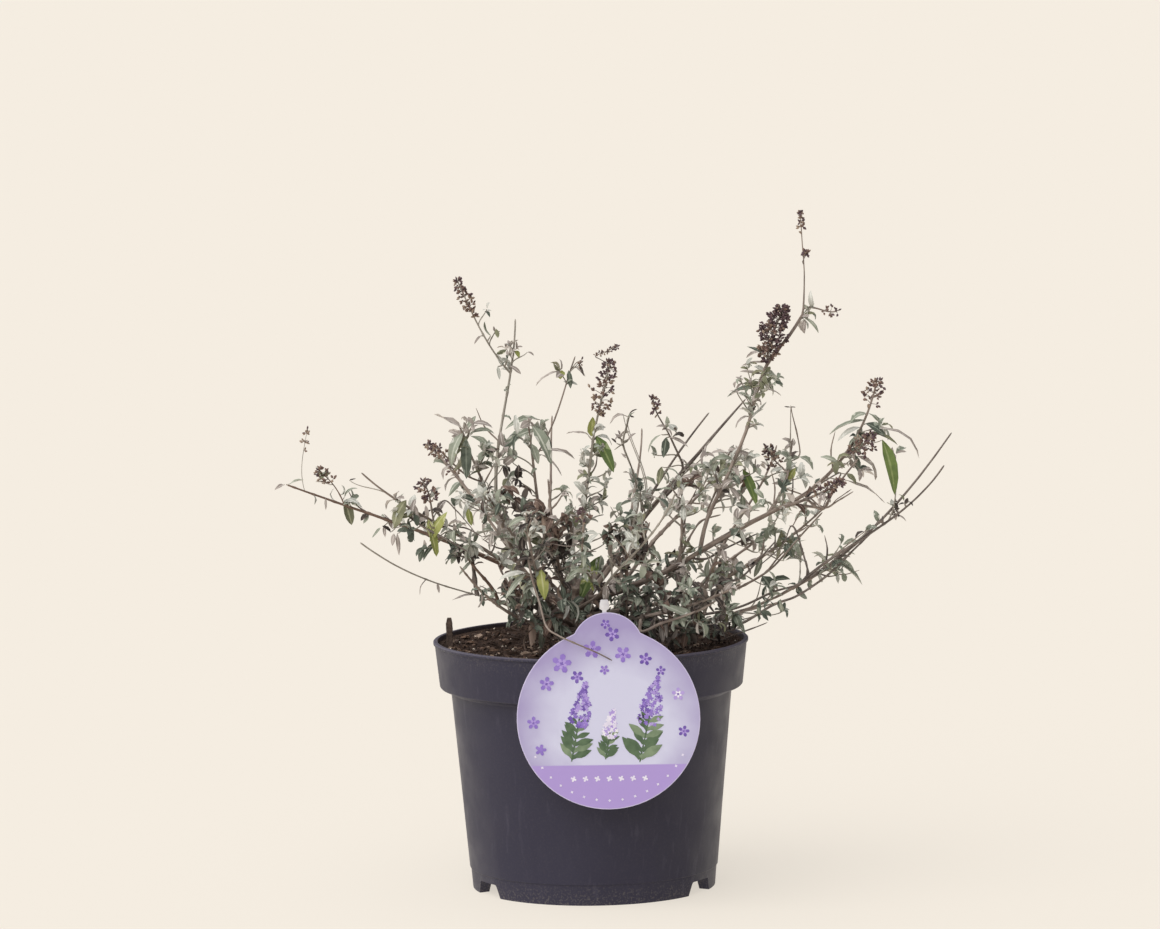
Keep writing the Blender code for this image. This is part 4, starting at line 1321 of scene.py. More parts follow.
# DEEP, for the low masses round the foot, leans to dark and dead kinds: dead leaves, and painted shade low in
# the plant.
DEEP = Palette.of(SHADE=32, SAGE=20, UMBER=22, DUSK=10, SILVER=6, TAWNY=10)
DRY = Palette.of(TAWNY=34, UMBER=28, DUSK=18, SAGE=12, SILVER=8)
MIXED = Palette.of(SAGE=26, DUSK=24, SILVER=22, TAWNY=12, SHADE=8, OLIVE=8)
PALE = Palette.of(SILVER=36, DUSK=26, SAGE=26, OLIVE=12)


class Coat(Enum):
    """The kinds of bark on twigs."""

    OLD = Bark("bark_old", "6a5f59", "3c3430", "8f857e", 0.45, 0.3)
    TAN = Bark("bark_tan", "84756b", "544741", "a99c91", 0.4, 0.25)
    YOUNG = Bark("bark_young", "958d82", "6e675d", "b8b2a7", 0.1, 0.12)
    RUDDY = Bark("bark_ruddy", "6b5549", "3d2f29", "8c7567", 0.4, 0.3)


@dataclass(frozen=True)
class Dress:
    """How densely a mass is leaved, how large and of what kinds its leaves are, and where along its stem."""

    density: float = 1.0
    leaf: float = 17
    span: tuple = (0.12, 0.98)
    palette: Palette = GREY
    twigs: float = 0.32
    reach: float = 14
    coat: Coat = Coat.TAN
    forks: float = 0.5


@dataclass(frozen=True)
class Head:
    """A dry flower spike: its length, width, fullness, darkness, and its whorls' spacing and capsule size."""

    length: float
    width: float
    fullness: float = 1.0
    dark: float = 0.7
    step: float = 3.2
    capsule: float = 1.0


# Leaves that are listed one by one, by kind: root, tip, greatest width, and how far each arches.
SET_LEAVES = {
    Kind.DUSK: (
        (-74, -8, 278, -92, -11, 288, 4.4, 0.06), (-64, 36, 331, -68, 34, 326, 1.9, 0.1),
        (-47, 41, 312, -40, 38, 307, 3, 0.1), (-36, 41, 320, -32, 40, 318, 1.7, 0.2),
        (-29, 7, 263, -8, 5, 258, 2.8, 0.2), (-28, 6, 261, -16, 4, 248, 2.2, 0.15),
        (-16, 25, 309, -31, 21, 301, 2.2, 0.25), (-7, 28, 312, -1, 26, 306, 1.8, 0.1),
        (-85, -31, 238, -90, -34, 230, 4.1, 0.3), (-181, -30, 249, -187, -32, 246, 2.5, 0.1),
        (-157, -26, 240, -157, -27, 233, 1.5, 0), (-123, -17, 222, -122, -19, 215, 2.2, 0),
        (-118, -15, 220, -123, -14, 229, 3, 0.1), (-115, -16, 217, -114, -18, 204, 2.8, 0),
        (-117, -16, 217, -118, -19, 210, 3.3, 0), (-103, -44, 237, -102, -46, 229, 2.8, 0),
        (-91, -34, 189, -90, -35, 183, 1.9, 0), (-66, -20, 180, -83, -22, 177, 2.2, 0.1),
        (-71, -22, 183, -63, -24, 186, 1.7, 0), (0, -38, 277, -13, -41, 278, 2.2, 0.18),
        (22, 62, 279, 14, 60, 274, 1.7, 0.25), (49, -10, 272, 60, -12, 266, 3, 0.1),
        (109, 16, 321, 96, 13, 317, 3, 0.15), (108, 15, 314, 93, 13, 312, 2.2, 0.1),
        (106, 13, 307, 92, 11, 309, 2.8, 0.1), (105, 12, 298, 117, 10, 294, 1.8, 0.18),
        (99, 9, 285, 91, 6, 287, 2.1, 0.1), (98, 8, 282, 89, 6, 275, 2.1, 0.35),
        (88, 3, 258, 70, 5, 258, 2.8, 0.25), (164, -34, 276, 197, -31, 259, 2.3, 0.33),
        (161, -29, 261, 171, -27, 246, 3, 0.3), (153, -30, 247, 177, -25, 232, 1.8, 0.1),
        (187, 17, 220, 192, 16, 216, 1.9, 0.1), (25, -8, 284, 13, -9, 280, 1.9, 0.4),
        (24, 1, 269, 29, -2, 274, 3.2, 0.2), (20, 8, 261, 23, 6, 258, 1.6, 0),
        (-155, -24, 248, -163, -26, 250, 2.2, 0.1),
    ),
    Kind.SAGE: (
        (-73, -6, 278, -67, -4, 286, 3.6, 0), (-71, -5, 275, -56, -4, 275, 3.9, 0.25),
        (-70, -6, 274, -59, -9, 265, 4.7, 0.3), (-28, 14, 281, -50, 9, 276, 4.4, 0.2),
        (-75, -8, 276, -82, -14, 256, 6.6, 0.3), (-58, 37, 331, -61, 35, 340, 2.2, -0.4),
        (-29, 11, 275, -52, 8, 259, 6.9, 0.28), (-33, -10, 280, -22, -16, 257, 8.2, 0.1),
        (-34, 2, 268, -30, -2, 256, 5.5, 0.05), (-31, 2, 253, -34, -1, 249, 2.8, 0.3),
        (-34, 1, 228, -36, -5, 211, 6.3, 0.05), (-179, -31, 249, -169, -33, 252, 1.7, 0.1),
        (-146, -22, 240, -138, -20, 245, 1.9, 0.3), (-125, -18, 221, -130, -19, 215, 2.2, 0),
        (-70, -28, 201, -78, -30, 193, 2.8, 0.1), (7, -16, 202, 5, -19, 191, 6.2, 0.1),
        (24, 61, 276, 29, 60, 281, 1.7, 0.1), (44, -12, 274, 36, -13, 263, 1.7, 0.25),
        (108, 14, 311, 118, 11, 299, 3.9, 0.05), (107, 13, 306, 112, 11, 298, 3, 0),
        (131, 19, 343, 138, 18, 349, 2.2, 0), (131, 18, 341, 140, 16, 331, 2.5, 0.2),
        (88, 1, 257, 68, -2, 246, 4.1, 0.35), (87, 0, 251, 77, -3, 244, 3.6, 0.3),
        (165, -36, 287, 156, -39, 282, 5, 0.25), (164, -36, 283, 143, -40, 275, 3.9, 0.12),
        (160, -36, 275, 160, -42, 264, 6.6, 0.05), (167, -35, 287, 173, -34, 281, 2.8, 0.25),
        (128, 20, 256, 118, 17, 253, 3.6, 0.2), (128, 21, 256, 136, 17, 248, 4.7, 0.22),
        (125, 15, 251, 131, 11, 242, 4.1, 0.15), (-38, -62, 197, -50, -66, 182, 4.7, 0.15),
        (119, 51, 189, 133, 48, 202, 4.7, 0.3), (40, -62, 178, 68, -66, 163, 6.8, 0.1),
        (118, 51, 189, 130, 48, 197, 5.2, 0.1), (188, 17, 224, 180, 16, 228, 1.7, 0),
        (164, 14, 204, 153, 11, 203, 3.6, 0.2), (147, 18, 193, 165, 14, 178, 4.6, 0.12),
        (148, 18, 194, 160, 14, 187, 4.2, 0.12), (147, 18, 192, 150, 13, 183, 3.8, 0.1),
        (146, 18, 194, 158, 15, 195, 3.8, 0.15),
    ),
    Kind.SILVER: (
        (-51, 40, 312, -54, 39, 319, 3.3, 0), (-54, 39, 312, -53, 36, 304, 2.5, 0.05),
        (-80, -31, 235, -74, -33, 243, 5, 0), (-145, -23, 239, -135, -26, 234, 4.4, 0.15),
        (5, -37, 276, 14, -35, 270, 3.9, 0.3), (99, 9, 282, 108, 7, 291, 2.2, 0),
        (98, 7, 280, 106, 4, 287, 2.8, 0.1), (98, 7, 278, 102, 5, 274, 2.5, 0.2),
        (93, 3, 261, 103, 1, 247, 3.6, 0.1), (162, -36, 279, 148, -40, 271, 3.9, 0.15),
        (126, 17, 253, 118, 14, 243, 4.4, 0.15), (-38, -63, 198, -54, -66, 194, 4.4, 0.2),
        (120, 52, 189, 132, 50, 188, 4.1, 0.25),
    ),
    Kind.SHADE: (
        (105, 2, 321, 96, 0, 325, 2.8, 0.1), (104, 11, 300, 84, 7, 294, 4.2, 0.12),
        (-73, -10, 273, -73, -14, 249, 6.8, 0.05), (-26, 14, 275, -24, 15, 256, 5, 0.22),
        (-11, 26, 310, -10, 24, 299, 3.6, 0.05), (-80, -31, 235, -82, -33, 240, 4.7, 0),
        (-98, -39, 223, -101, -38, 231, 3.6, 0.2), (-88, -36, 215, -99, -38, 203, 3.6, 0.2),
        (-65, -20, 180, -64, -22, 173, 3.3, 0), (47, -11, 272, 45, -14, 260, 5.5, 0),
        (165, -36, 281, 177, -39, 273, 6.1, 0.12), (159, -32, 262, 161, -35, 251, 4.1, 0.05),
        (104, 2, 186, 110, -1, 176, 8.2, 0.1),
    ),
    Kind.LIME: (
        (-43, 42, 321, -41, 39, 317, 3.3, 0.1), (-15, 25, 310, -16, 21, 305, 5, 0),
        (-72, -31, 233, -70, -33, 223, 4.4, 0), (-95, -40, 215, -84, -44, 233, 8.4, 0.1),
        (-96, -40, 228, -91, -43, 206, 6.8, 0.08), (2, -38, 276, 3, -41, 288, 5.6, 0),
        (125, 14, 250, 119, 11, 238, 6.3, 0.1), (-29, -63, 200, -27, -67, 182, 7.2, 0.05),
    ),
    Kind.TAWNY: (
        (-34, 2, 234, -26, -3, 223, 4.8, 0.35), (-34, 2, 234, -37, -3, 226, 4.4, 0.3),
        (-34, 2, 237, -44, -1, 243, 3.8, 0.2), (-52, -31, 246, -45, -34, 239, 3.8, 0.3),
        (-50, -31, 244, -41, -35, 241, 4.2, 0.3), (-47, -28, 238, -39, -31, 233, 4.2, 0.3),
    ),
    Kind.OLIVE: (
        (-116, -46, 224, -108, -50, 241, 8.2, 0.1), (-146, -22, 238, -142, -20, 223, 6.6, 0.05),
        (2, -37, 276, 7, -37, 281, 2.5, 0), (44, -8, 254, 42, -10, 243, 4.4, 0.05),
        (105, 12, 302, 94, 9, 300, 4.4, 0.15), (104, 12, 299, 89, 11, 297, 3.6, 0.15),
        (131, 18, 342, 138, 16, 343, 2.8, 0.1), (163, -35, 274, 184, -38, 268, 3, 0.2),
        (154, -33, 251, 159, -36, 245, 4.7, 0.05),
    ),
    Kind.FRESH: (
        (5, -39, 276, 15, -45, 255, 8.3, 0.06), (6, -17, 201, -6, -23, 176, 9.7, 0.05),
        (175, -34, 271, 182, -34, 238, 8.6, 0.12), (93, 0, 251, 101, -5, 229, 6.6, 0.06),
    ),
    Kind.UMBER: (
        (187, 17, 222, 185, 16, 231, 1.9, 0), (123, 22, 286, 119, 22, 286.5, 1, 0),
        (123, 22, 286, 126, 22, 286, 1, 0), (25, -8, 286, 30, -8, 289, 1.8, 0.1),
        (25, -8, 285, 28, -8, 284, 2, 0), (17, 0, 268, 14, 0, 271, 2, 0),
        (-5, 22, 315, -2, 20, 307, 1.8, 0.1), (-119, -17, 218, -124, -18, 222, 3, 0.1),
        (-142, -40, 252, -138, -40, 253, 1.4, 0),
    ),
}

# Clusters of small leaves that are listed one by one, by kind: place, how many leaves, and their length.
SET_TUFTS = {
    Kind.DUSK: (
        (70, -4, 261, 7, 7), (92, -6, 306, 5, 6), (38, 0, 233, 8, 6.5), (85, 2, 240, 8, 8.5),
        (-72, -12, 285, 4, 7), (-66, -8, 256, 5, 6), (-35, 2, 281, 5, 7), (-9, -44, 218, 8, 8),
        (20, 57, 266, 7, 5.5), (47, -16, 278, 5, 6), (52, -19, 238, 6, 9), (89, 2, 261, 8, 8.5),
        (80, -5, 234, 6, 8), (61, -6, 253, 6, 7), (184, -17, 260, 5, 8), (139, -58, 240, 5, 7),
        (186, 18, 221, 6, 4.5), (-50, 0, 266, 6, 8), (-16, 24, 309, 5, 8), (163, -36, 253, 6, 8),
        (-47, 41, 325, 6, 5), (-48, 40, 321, 5, 6), (-55, 38, 334, 3, 6), (131, 17, 340, 6, 7),
        (89, -6, 254, 6, 8), (96, -30, 229, 7, 9), (89, -8, 300, 5, 5.5), (-8, -34, 228, 10, 6),
        (79, -14, 205, 8, 7), (-43, 40, 322, 5, 5),
    ),
    Kind.SAGE: (
        (74, -6, 252, 7, 7.5), (99, 2, 290, 6, 6), (39, -10, 262, 6, 6), (93, 4, 236, 8, 8),
        (-28, 9, 276, 5, 9), (-46, -2, 258, 6, 9), (-37, -5, 216, 4, 13), (-58, -28, 219, 8, 8),
        (-73, -27, 209, 6, 8), (-45, -37, 195, 5, 8), (12, -33, 255, 5, 9), (38, 9, 227, 8, 9),
        (39, -37, 194, 8, 9), (101, 0, 250, 5, 8), (116, -17, 234, 8, 9), (175, -18, 278, 7, 10),
        (114, 51, 206, 8, 9), (128, 25, 195, 6, 8), (152, 13, 186, 5, 10), (167, 16, 211, 4, 6),
        (75, -21, 190, 9, 9), (59, -65, 187, 8, 9), (-112, -46, 238, 4, 5), (-143, -22, 238, 4, 8),
        (-59, -8, 262, 8, 8), (-12, 26, 302, 4, 6), (157, -34, 266, 8, 8), (27, -30, 177, 8, 11),
        (-39, -50, 186, 8, 10), (135, 17, 344, 4, 6), (87, -8, 247, 5, 8), (105, -32, 236, 6, 9),
        (151, -2, 205, 3, 6), (168, -6, 215, 5, 6), (113, -2, 304, 6, 6), (95, -6, 296, 6, 6),
        (99, -6, 287, 7, 5.5), (102, -6, 279, 3, 5), (-11, -30, 234, 10, 6), (1, -34, 232, 12, 6.5),
        (11, -36, 209, 12, 6.5), (30, -34, 210, 10, 7), (60, -20, 217, 8, 7), (74, -16, 215, 8, 7),
        (-80, -38, 221, 8, 7), (-71, -38, 212, 8, 7), (81, -20, 168, 8, 8), (112, 0, 181, 6, 7),
    ),
    Kind.SILVER: (
        (88, -4, 230, 7, 8.5), (-61, -13, 267, 5, 8), (-61, -2, 242, 6, 8), (-48, -3, 248, 9, 8.5),
        (-37, -2, 269, 8, 7), (-76, -32, 240, 6, 7.5), (-62, -34, 230, 6, 7.5), (-71, -31, 212, 6, 11),
        (-1, -36, 258, 7, 6), (-3, -33, 241, 8, 6.5), (1, -28, 225, 8, 7), (9, -32, 244, 6, 8),
        (44, 0, 233, 9, 7), (51, 2, 229, 9, 7), (32, 7, 233, 12, 8.5), (57, -21, 232, 9, 9),
        (96, -0, 258, 6, 8.5), (127, 6, 245, 6, 9), (-85, -39, 223, 7, 8), (-60, 36, 347, 4, 5),
        (90, -26, 219, 6, 9), (24, -32, 218, 10, 6.5), (7, -30, 237, 8, 6),
    ),
    Kind.TAWNY: (
        (98, 8, 243, 6, 8), (-50, -29, 241, 16, 6), (-20, -40, 215, 8, 8), (-4, -43, 211, 10, 8),
        (60, -16, 244, 9, 7.5), (30, -38, 216, 14, 6.5), (34, -38, 209, 14, 6.5), (28, -43, 218, 12, 6),
        (10, -36, 213, 12, 6.5), (12, -36, 219, 14, 6), (-24, -40, 208, 10, 6), (22, -36, 204, 10, 6),
    ),
    Kind.SHADE: (
        (88, -12, 213, 7, 8), (31, 0, 238, 7, 7), (-11, -46, 175, 8, 9), (-1, -46, 171, 8, 9),
        (-18, -47, 165, 7, 9), (86, -22, 166, 8, 9), (80, 10, 163, 8, 9), (-42, -4, 274, 4, 9),
        (-80, -31, 205, 11, 8.5), (27, 44, 240, 6, 7), (23, -30, 186, 8, 11), (123, 50, 200, 8, 10),
        (109, 43, 175, 7, 9), (89, -19, 194, 8, 8.5), (82, -19, 180, 9, 8.5), (65, -67, 168, 6, 9),
        (-34, -60, 190, 8, 9), (-104, -46, 232, 6, 8), (-48, 38, 316, 4, 5), (34, -30, 169, 10, 11),
        (54, -26, 165, 10, 11), (63, -16, 167, 9, 10), (59, -30, 156, 8, 10), (29, -40, 163, 8, 10),
        (-30, -46, 180, 9, 11), (-33, -46, 163, 8, 10), (-15, -50, 180, 8, 11), (116, -34, 244, 6, 9),
        (146, 4, 190, 5, 9), (67, -20, 207, 8, 7), (-106, -44, 222, 8, 6.5), (-98, -42, 211, 6, 7),
        (108, -20, 174, 6, 7), (115, -20, 167, 6, 7), (101, -30, 168, 8, 7), (66, -20, 174, 10, 8),
        (69, -20, 162, 10, 8.5), (89, -20, 163, 7, 7),
    ),
    Kind.UMBER: (
        (94, -14, 206, 6, 7), (32, -39, 213, 12, 6.5), (26, -42, 212, 14, 6.5), (31, -43, 206, 12, 6.5),
        (6, -46, 174, 8, 8), (76, -30, 162, 8, 9), (-59, -7, 263, 5, 7), (-41, 7, 226, 12, 7.5),
        (-31, 9, 221, 12, 7.5), (-27, -33, 206, 16, 7.5), (53, -11, 275, 4, 6), (25, -32, 204, 12, 7.5),
        (17, -34, 219, 10, 7.5), (188, -31, 233, 4, 4.5), (-93, -37, 242, 5, 7), (-51, -4, 256, 4, 7),
        (186, 16, 221, 6, 5), (44, -38, 164, 10, 11), (39, -30, 181, 9, 10), (48, -40, 154, 8, 10),
        (-23, -50, 169, 9, 11), (-45, -44, 174, 5, 9), (-29, -2, 227, 14, 6.5), (-25, -30, 219, 12, 6.5),
        (-19, -34, 214, 14, 6.5), (-14, -36, 207, 14, 6.5), (-10, -34, 216, 12, 6.5), (-43, -10, 249, 9, 6),
        (-39, -10, 235, 9, 6.5), (-27, 0, 223, 12, 6), (75, -20, 180, 8, 7), (78, -20, 156, 8, 7),
        (19, -36, 211, 12, 6.5), (86, -22, 157, 6, 6),
    ),
    Kind.OLIVE: (
        (96, -4, 313, 6, 6), (-158, -25, 254, 6, 5), (-162, -26, 256, 4, 4), (106, 9, 308, 6, 6.5),
        (105, 8, 303, 6, 6.5), (5, -35, 266, 6, 6), (-0, -34, 250, 7, 6), (107, 13, 301, 8, 7),
        (148, -36, 258, 6, 8), (98, -4, 302, 7, 6), (107, -2, 310, 6, 6), (105, -6, 298, 8, 6),
    ),
}


@dataclass(frozen=True)
class Twig:
    """A bare twig that is listed: its radius at its root, its bark, and the places it passes through."""

    radius: float
    coat: Coat
    places: tuple


SET_TWIGS = (
    Twig(1.5, Coat.OLD, ((-68, -20, 182), (-69, -22, 190), (-70, -23, 201), (-71, -24, 210))),
    Twig(0.6, Coat.OLD, ((-71, -30, 202), (-77, -33, 205), (-82, -35, 205))),
    Twig(0.8, Coat.TAN, ((78, 0, 241), (74, 2, 232), (71, 4, 225))),
    Twig(
        1.1, Coat.OLD,
        (
            (42, 0, 151), (84, -6, 156), (110, -4, 169), (125, 0, 174), (143, 6, 185), (157, 8, 198),
            (171, 10, 211),
        ),
    ),
    Twig(1.0, Coat.OLD, ((60, 4, 161), (89, 2, 167), (110, 2, 176), (127, 4, 181), (139, 8, 191))),
    Twig(
        1.0, Coat.TAN,
        (
            (54, 14, 163), (73, 16, 170), (91, 20, 177), (108, 24, 186), (118, 28, 195), (130, 32, 208),
            (142, 36, 220),
        ),
    ),
    Twig(0.8, Coat.OLD, ((76, 10, 177), (93, 14, 185), (109, 18, 201), (113, 20, 205))),
    Twig(0.8, Coat.TAN, ((81, -14, 162), (89, -14, 166), (102, -12, 169), (116, -10, 172))),
    Twig(0.6, Coat.OLD, ((75, -10, 149), (88, -12, 153), (99, -14, 157), (106, -16, 160))),
    Twig(0.5, Coat.TAN, ((139, 4, 191), (145, 2, 196), (157, -2, 206), (167, -6, 214))),
    Twig(0.6, Coat.OLD, ((151, 0, 248), (145, 4, 236), (141, 8, 226))),
    Twig(0.5, Coat.TAN, ((141, 8, 226), (150, 4, 232), (158, 0, 238))),
    Twig(0.6, Coat.OLD, ((141, 10, 226), (135, 12, 229), (129, 14, 232))),
    Twig(0.6, Coat.TAN, ((132, 20, 231), (128, 18, 223), (123, 16, 214))),
    Twig(0.6, Coat.OLD, ((124, 24, 213), (117, 22, 202), (103, 20, 190))),
    Twig(0.55, Coat.TAN, ((128, 22, 257), (127, 22, 268), (124, 22, 281), (123, 22, 287))),
    Twig(0.8, Coat.OLD, ((70, -7, 198), (78, -5, 202), (89, -3, 207), (101, -1, 212))),
    Twig(0.9, Coat.TAN, ((53, -11, 197), (57, -9, 205), (62, -7, 214), (68, -5, 221), (79, -3, 224))),
    Twig(0.6, Coat.TAN, ((139, -54, 233), (148, -57, 238), (156, -59, 243))),
    Twig(0.9, Coat.TAN, ((138, -52, 232), (144, -50, 241), (149, -48, 248), (160, -44, 261))),
    Twig(1.15, Coat.TAN, ((30, -70, 163), (42, -71, 168), (55, -71, 172), (66, -69, 176), (74, -65, 180))),
    Twig(0.45, Coat.OLD, ((-86, -38, 239), (-79, -38, 233), (-73, -38, 226), (-66, -38, 217))),
    Twig(0.6, Coat.OLD, ((-88, -37, 225), (-80, -37, 223), (-73, -37, 222), (-64, -37, 217))),
    Twig(0.8, Coat.OLD, ((-107, -43, 231), (-97, -43, 223), (-86, -43, 217), (-73, -43, 209))),
    Twig(
        0.75, Coat.TAN,
        (
            (-36, -66, 207), (-34, -70, 195), (-30, -76, 182), (-26, -86, 169), (-19, -97, 165),
            (-10, -99.5, 161), (3, -98.5, 155), (12, -97.4, 150),
        ),
    ),
    Twig(0.7, Coat.TAN, ((58, -14, 227), (57, -14, 218), (58, -14, 206))),
    Twig(0.6, Coat.YOUNG, ((24, 0, 270), (20, 0, 267), (16, 0, 264))),
    Twig(0.3, Coat.TAN, ((-9, 28, 311), (-6, 24, 315), (-3, 20, 316))),
    Twig(0.8, Coat.TAN, ((75, 45, 167), (87, 49, 171), (106, 55, 180), (116, 61, 190), (130, 69, 203))),
)

# Dry tips that are listed one by one: a thin twig, and how its seeds sit on it.
SET_SPIKES = (
    (
        Twig(0.3, Coat.OLD, ((12, -45, 320), (7, -46, 323), (5, -46, 324.5), (11, -46, 327), (18, -46, 330))),
        Head(15, 1.8, 0.6, 0.5, 1.5, 0.6),
    ),
    (Twig(0.25, Coat.OLD, ((-9, 28, 311), (-5, 22, 313), (-3, 20, 317))), Head(4, 2, 0.5, 0.1, 1.6, 0.6)),
    (Twig(0.25, Coat.OLD, ((131, 22, 374), (133, 22, 378), (133, 22, 379.5))), Head(2.5, 2, 0.8, 0.8, 1.0)),
)

# Openings with sky behind them, as seen from the front at the plant's middle: across, height and half sizes.
SKY = (
    (-24, 246, 8, 18), (-20, 232, 6, 9), (-25, 237, 7, 6), (-56, 166, 8, 7), (-58, 218, 3, 3),
    (-51, 207, 4, 3), (12, 190, 4, 3), (34, 257, 5, 9), (24, 279, 4, 4), (138, 280, 9, 10), (61, 233, 4, 4),
    (48, 238, 3, 2), (68, 224, 3, 3), (-58, 189, 9, 8), (113, 255, 4, 4), (101, 249, 3, 3), (16, 194, 4, 3),
    (28, 189, 4, 2), (49, 181, 4, 3), (55, 172, 3, 2), (2, 207, 2, 2), (-33, 207, 2, 2), (-40, 231, 2, 3),
    (-80, 247, 3, 2), (44, 213, 10, 12), (-130, 233, 5, 5), (-19, 263, 8, 10), (-8, 279, 10, 13),
    (31, 256, 6, 7), (17, 291, 6, 10), (116, 283, 11, 12), (-40, 295, 8, 7), (-77, 189, 12, 7),
    (-81, 174, 11, 8), (40, 230, 5, 4), (6, 194, 4, 3), (85, 278, 8, 7), (67, 209, 7, 6), (103, 220, 6, 5),
    (121, 190, 7, 5), (32, 294, 5, 7), (62, 281, 8, 10), (61, 260, 4, 4), (109, 235, 5, 4),
    (-71, 247, 5, 4), (-44, 268, 3, 2), (19, 241, 8, 5), (92, 200, 10, 5), (133, 207, 6, 6),
    (98, 234, 4, 5), (154, 219, 14, 8), (36, 226, 4, 4), (51, 237, 5, 4), (34, 259, 5, 7), (67, 221, 5, 5),
    (61, 237, 4, 3), (-17, 270, 5, 8), (-37, 207, 4, 3), (85, 275, 7, 10), (47, 215, 11, 12),
)


@dataclass(frozen=True)
class Bough:
    """A limb from the woody foot, or from another bough, to the place where foliage takes over."""

    name: str
    tip: tuple
    leave: float
    arrive: float
    radius: float
    tip_radius: float
    launch: float = 20
    parent: str = ""


@dataclass(frozen=True)
class Fork:
    """A long side twig of a mass, that leaves its stem at a share of the stem's length."""

    at: float
    tip: tuple
    arrive: float
    radius: float = 0.6
    head: Head | None = None


@dataclass(frozen=True)
class Mass:
    """A shoot with its forks, leaves and seed head, from its bough or from the woody foot.

    A stem that bends more than the rule's curve does has a course: its places, each with a radius.
    """

    name: str
    bough: str
    tip: tuple
    arrive: float
    radius: float
    dress: Dress
    back: float = 0
    launch: float = 14
    leave: float = 14
    head: Head | None = None
    course: tuple = ()
    forks: tuple = ()


BOUGHS = (
    Bough("bough_left_low", (-60, -17, 177), 8, 16, 2.0, 1.3, launch=12),
    Bough("bough_left_long", (-54, -5, 197), 34, 24, 1.7, 1.1, launch=20),
    Bough("bough_left_tall", (-47, 24, 200), 30, 60, 1.8, 1.2, launch=24),
    Bough("bough_centre_back", (26, 30, 212), 46, 54, 1.7, 1.0, launch=30),
    Bough("bough_stub", (45, 14, 235), 44, 46, 2.0, 1.5, launch=26),
    Bough("bough_right", (66, -13, 203), 12, 32, 2.2, 1.6, launch=30),
    Bough("bough_right_outer", (116, -25, 231), 30, 26, 1.85, 1.35, parent="bough_right"),
    Bough("bough_right_back", (74, 35, 177), 8, 22, 1.8, 1.2, launch=20),
    Bough("bough_far_right", (131, 12, 182), 3, 32, 1.3, 0.95, launch=10),
    Bough("bough_front", (8, -60, 188), 24, 30, 1.5, 1.0, launch=24),
    Bough("bough_back_left", (-36, 66, 187), 18, 30, 1.9, 1.3, launch=16),
    Bough("bough_back_right", (32, 70, 190), 16, 32, 1.9, 1.3, launch=16),
)

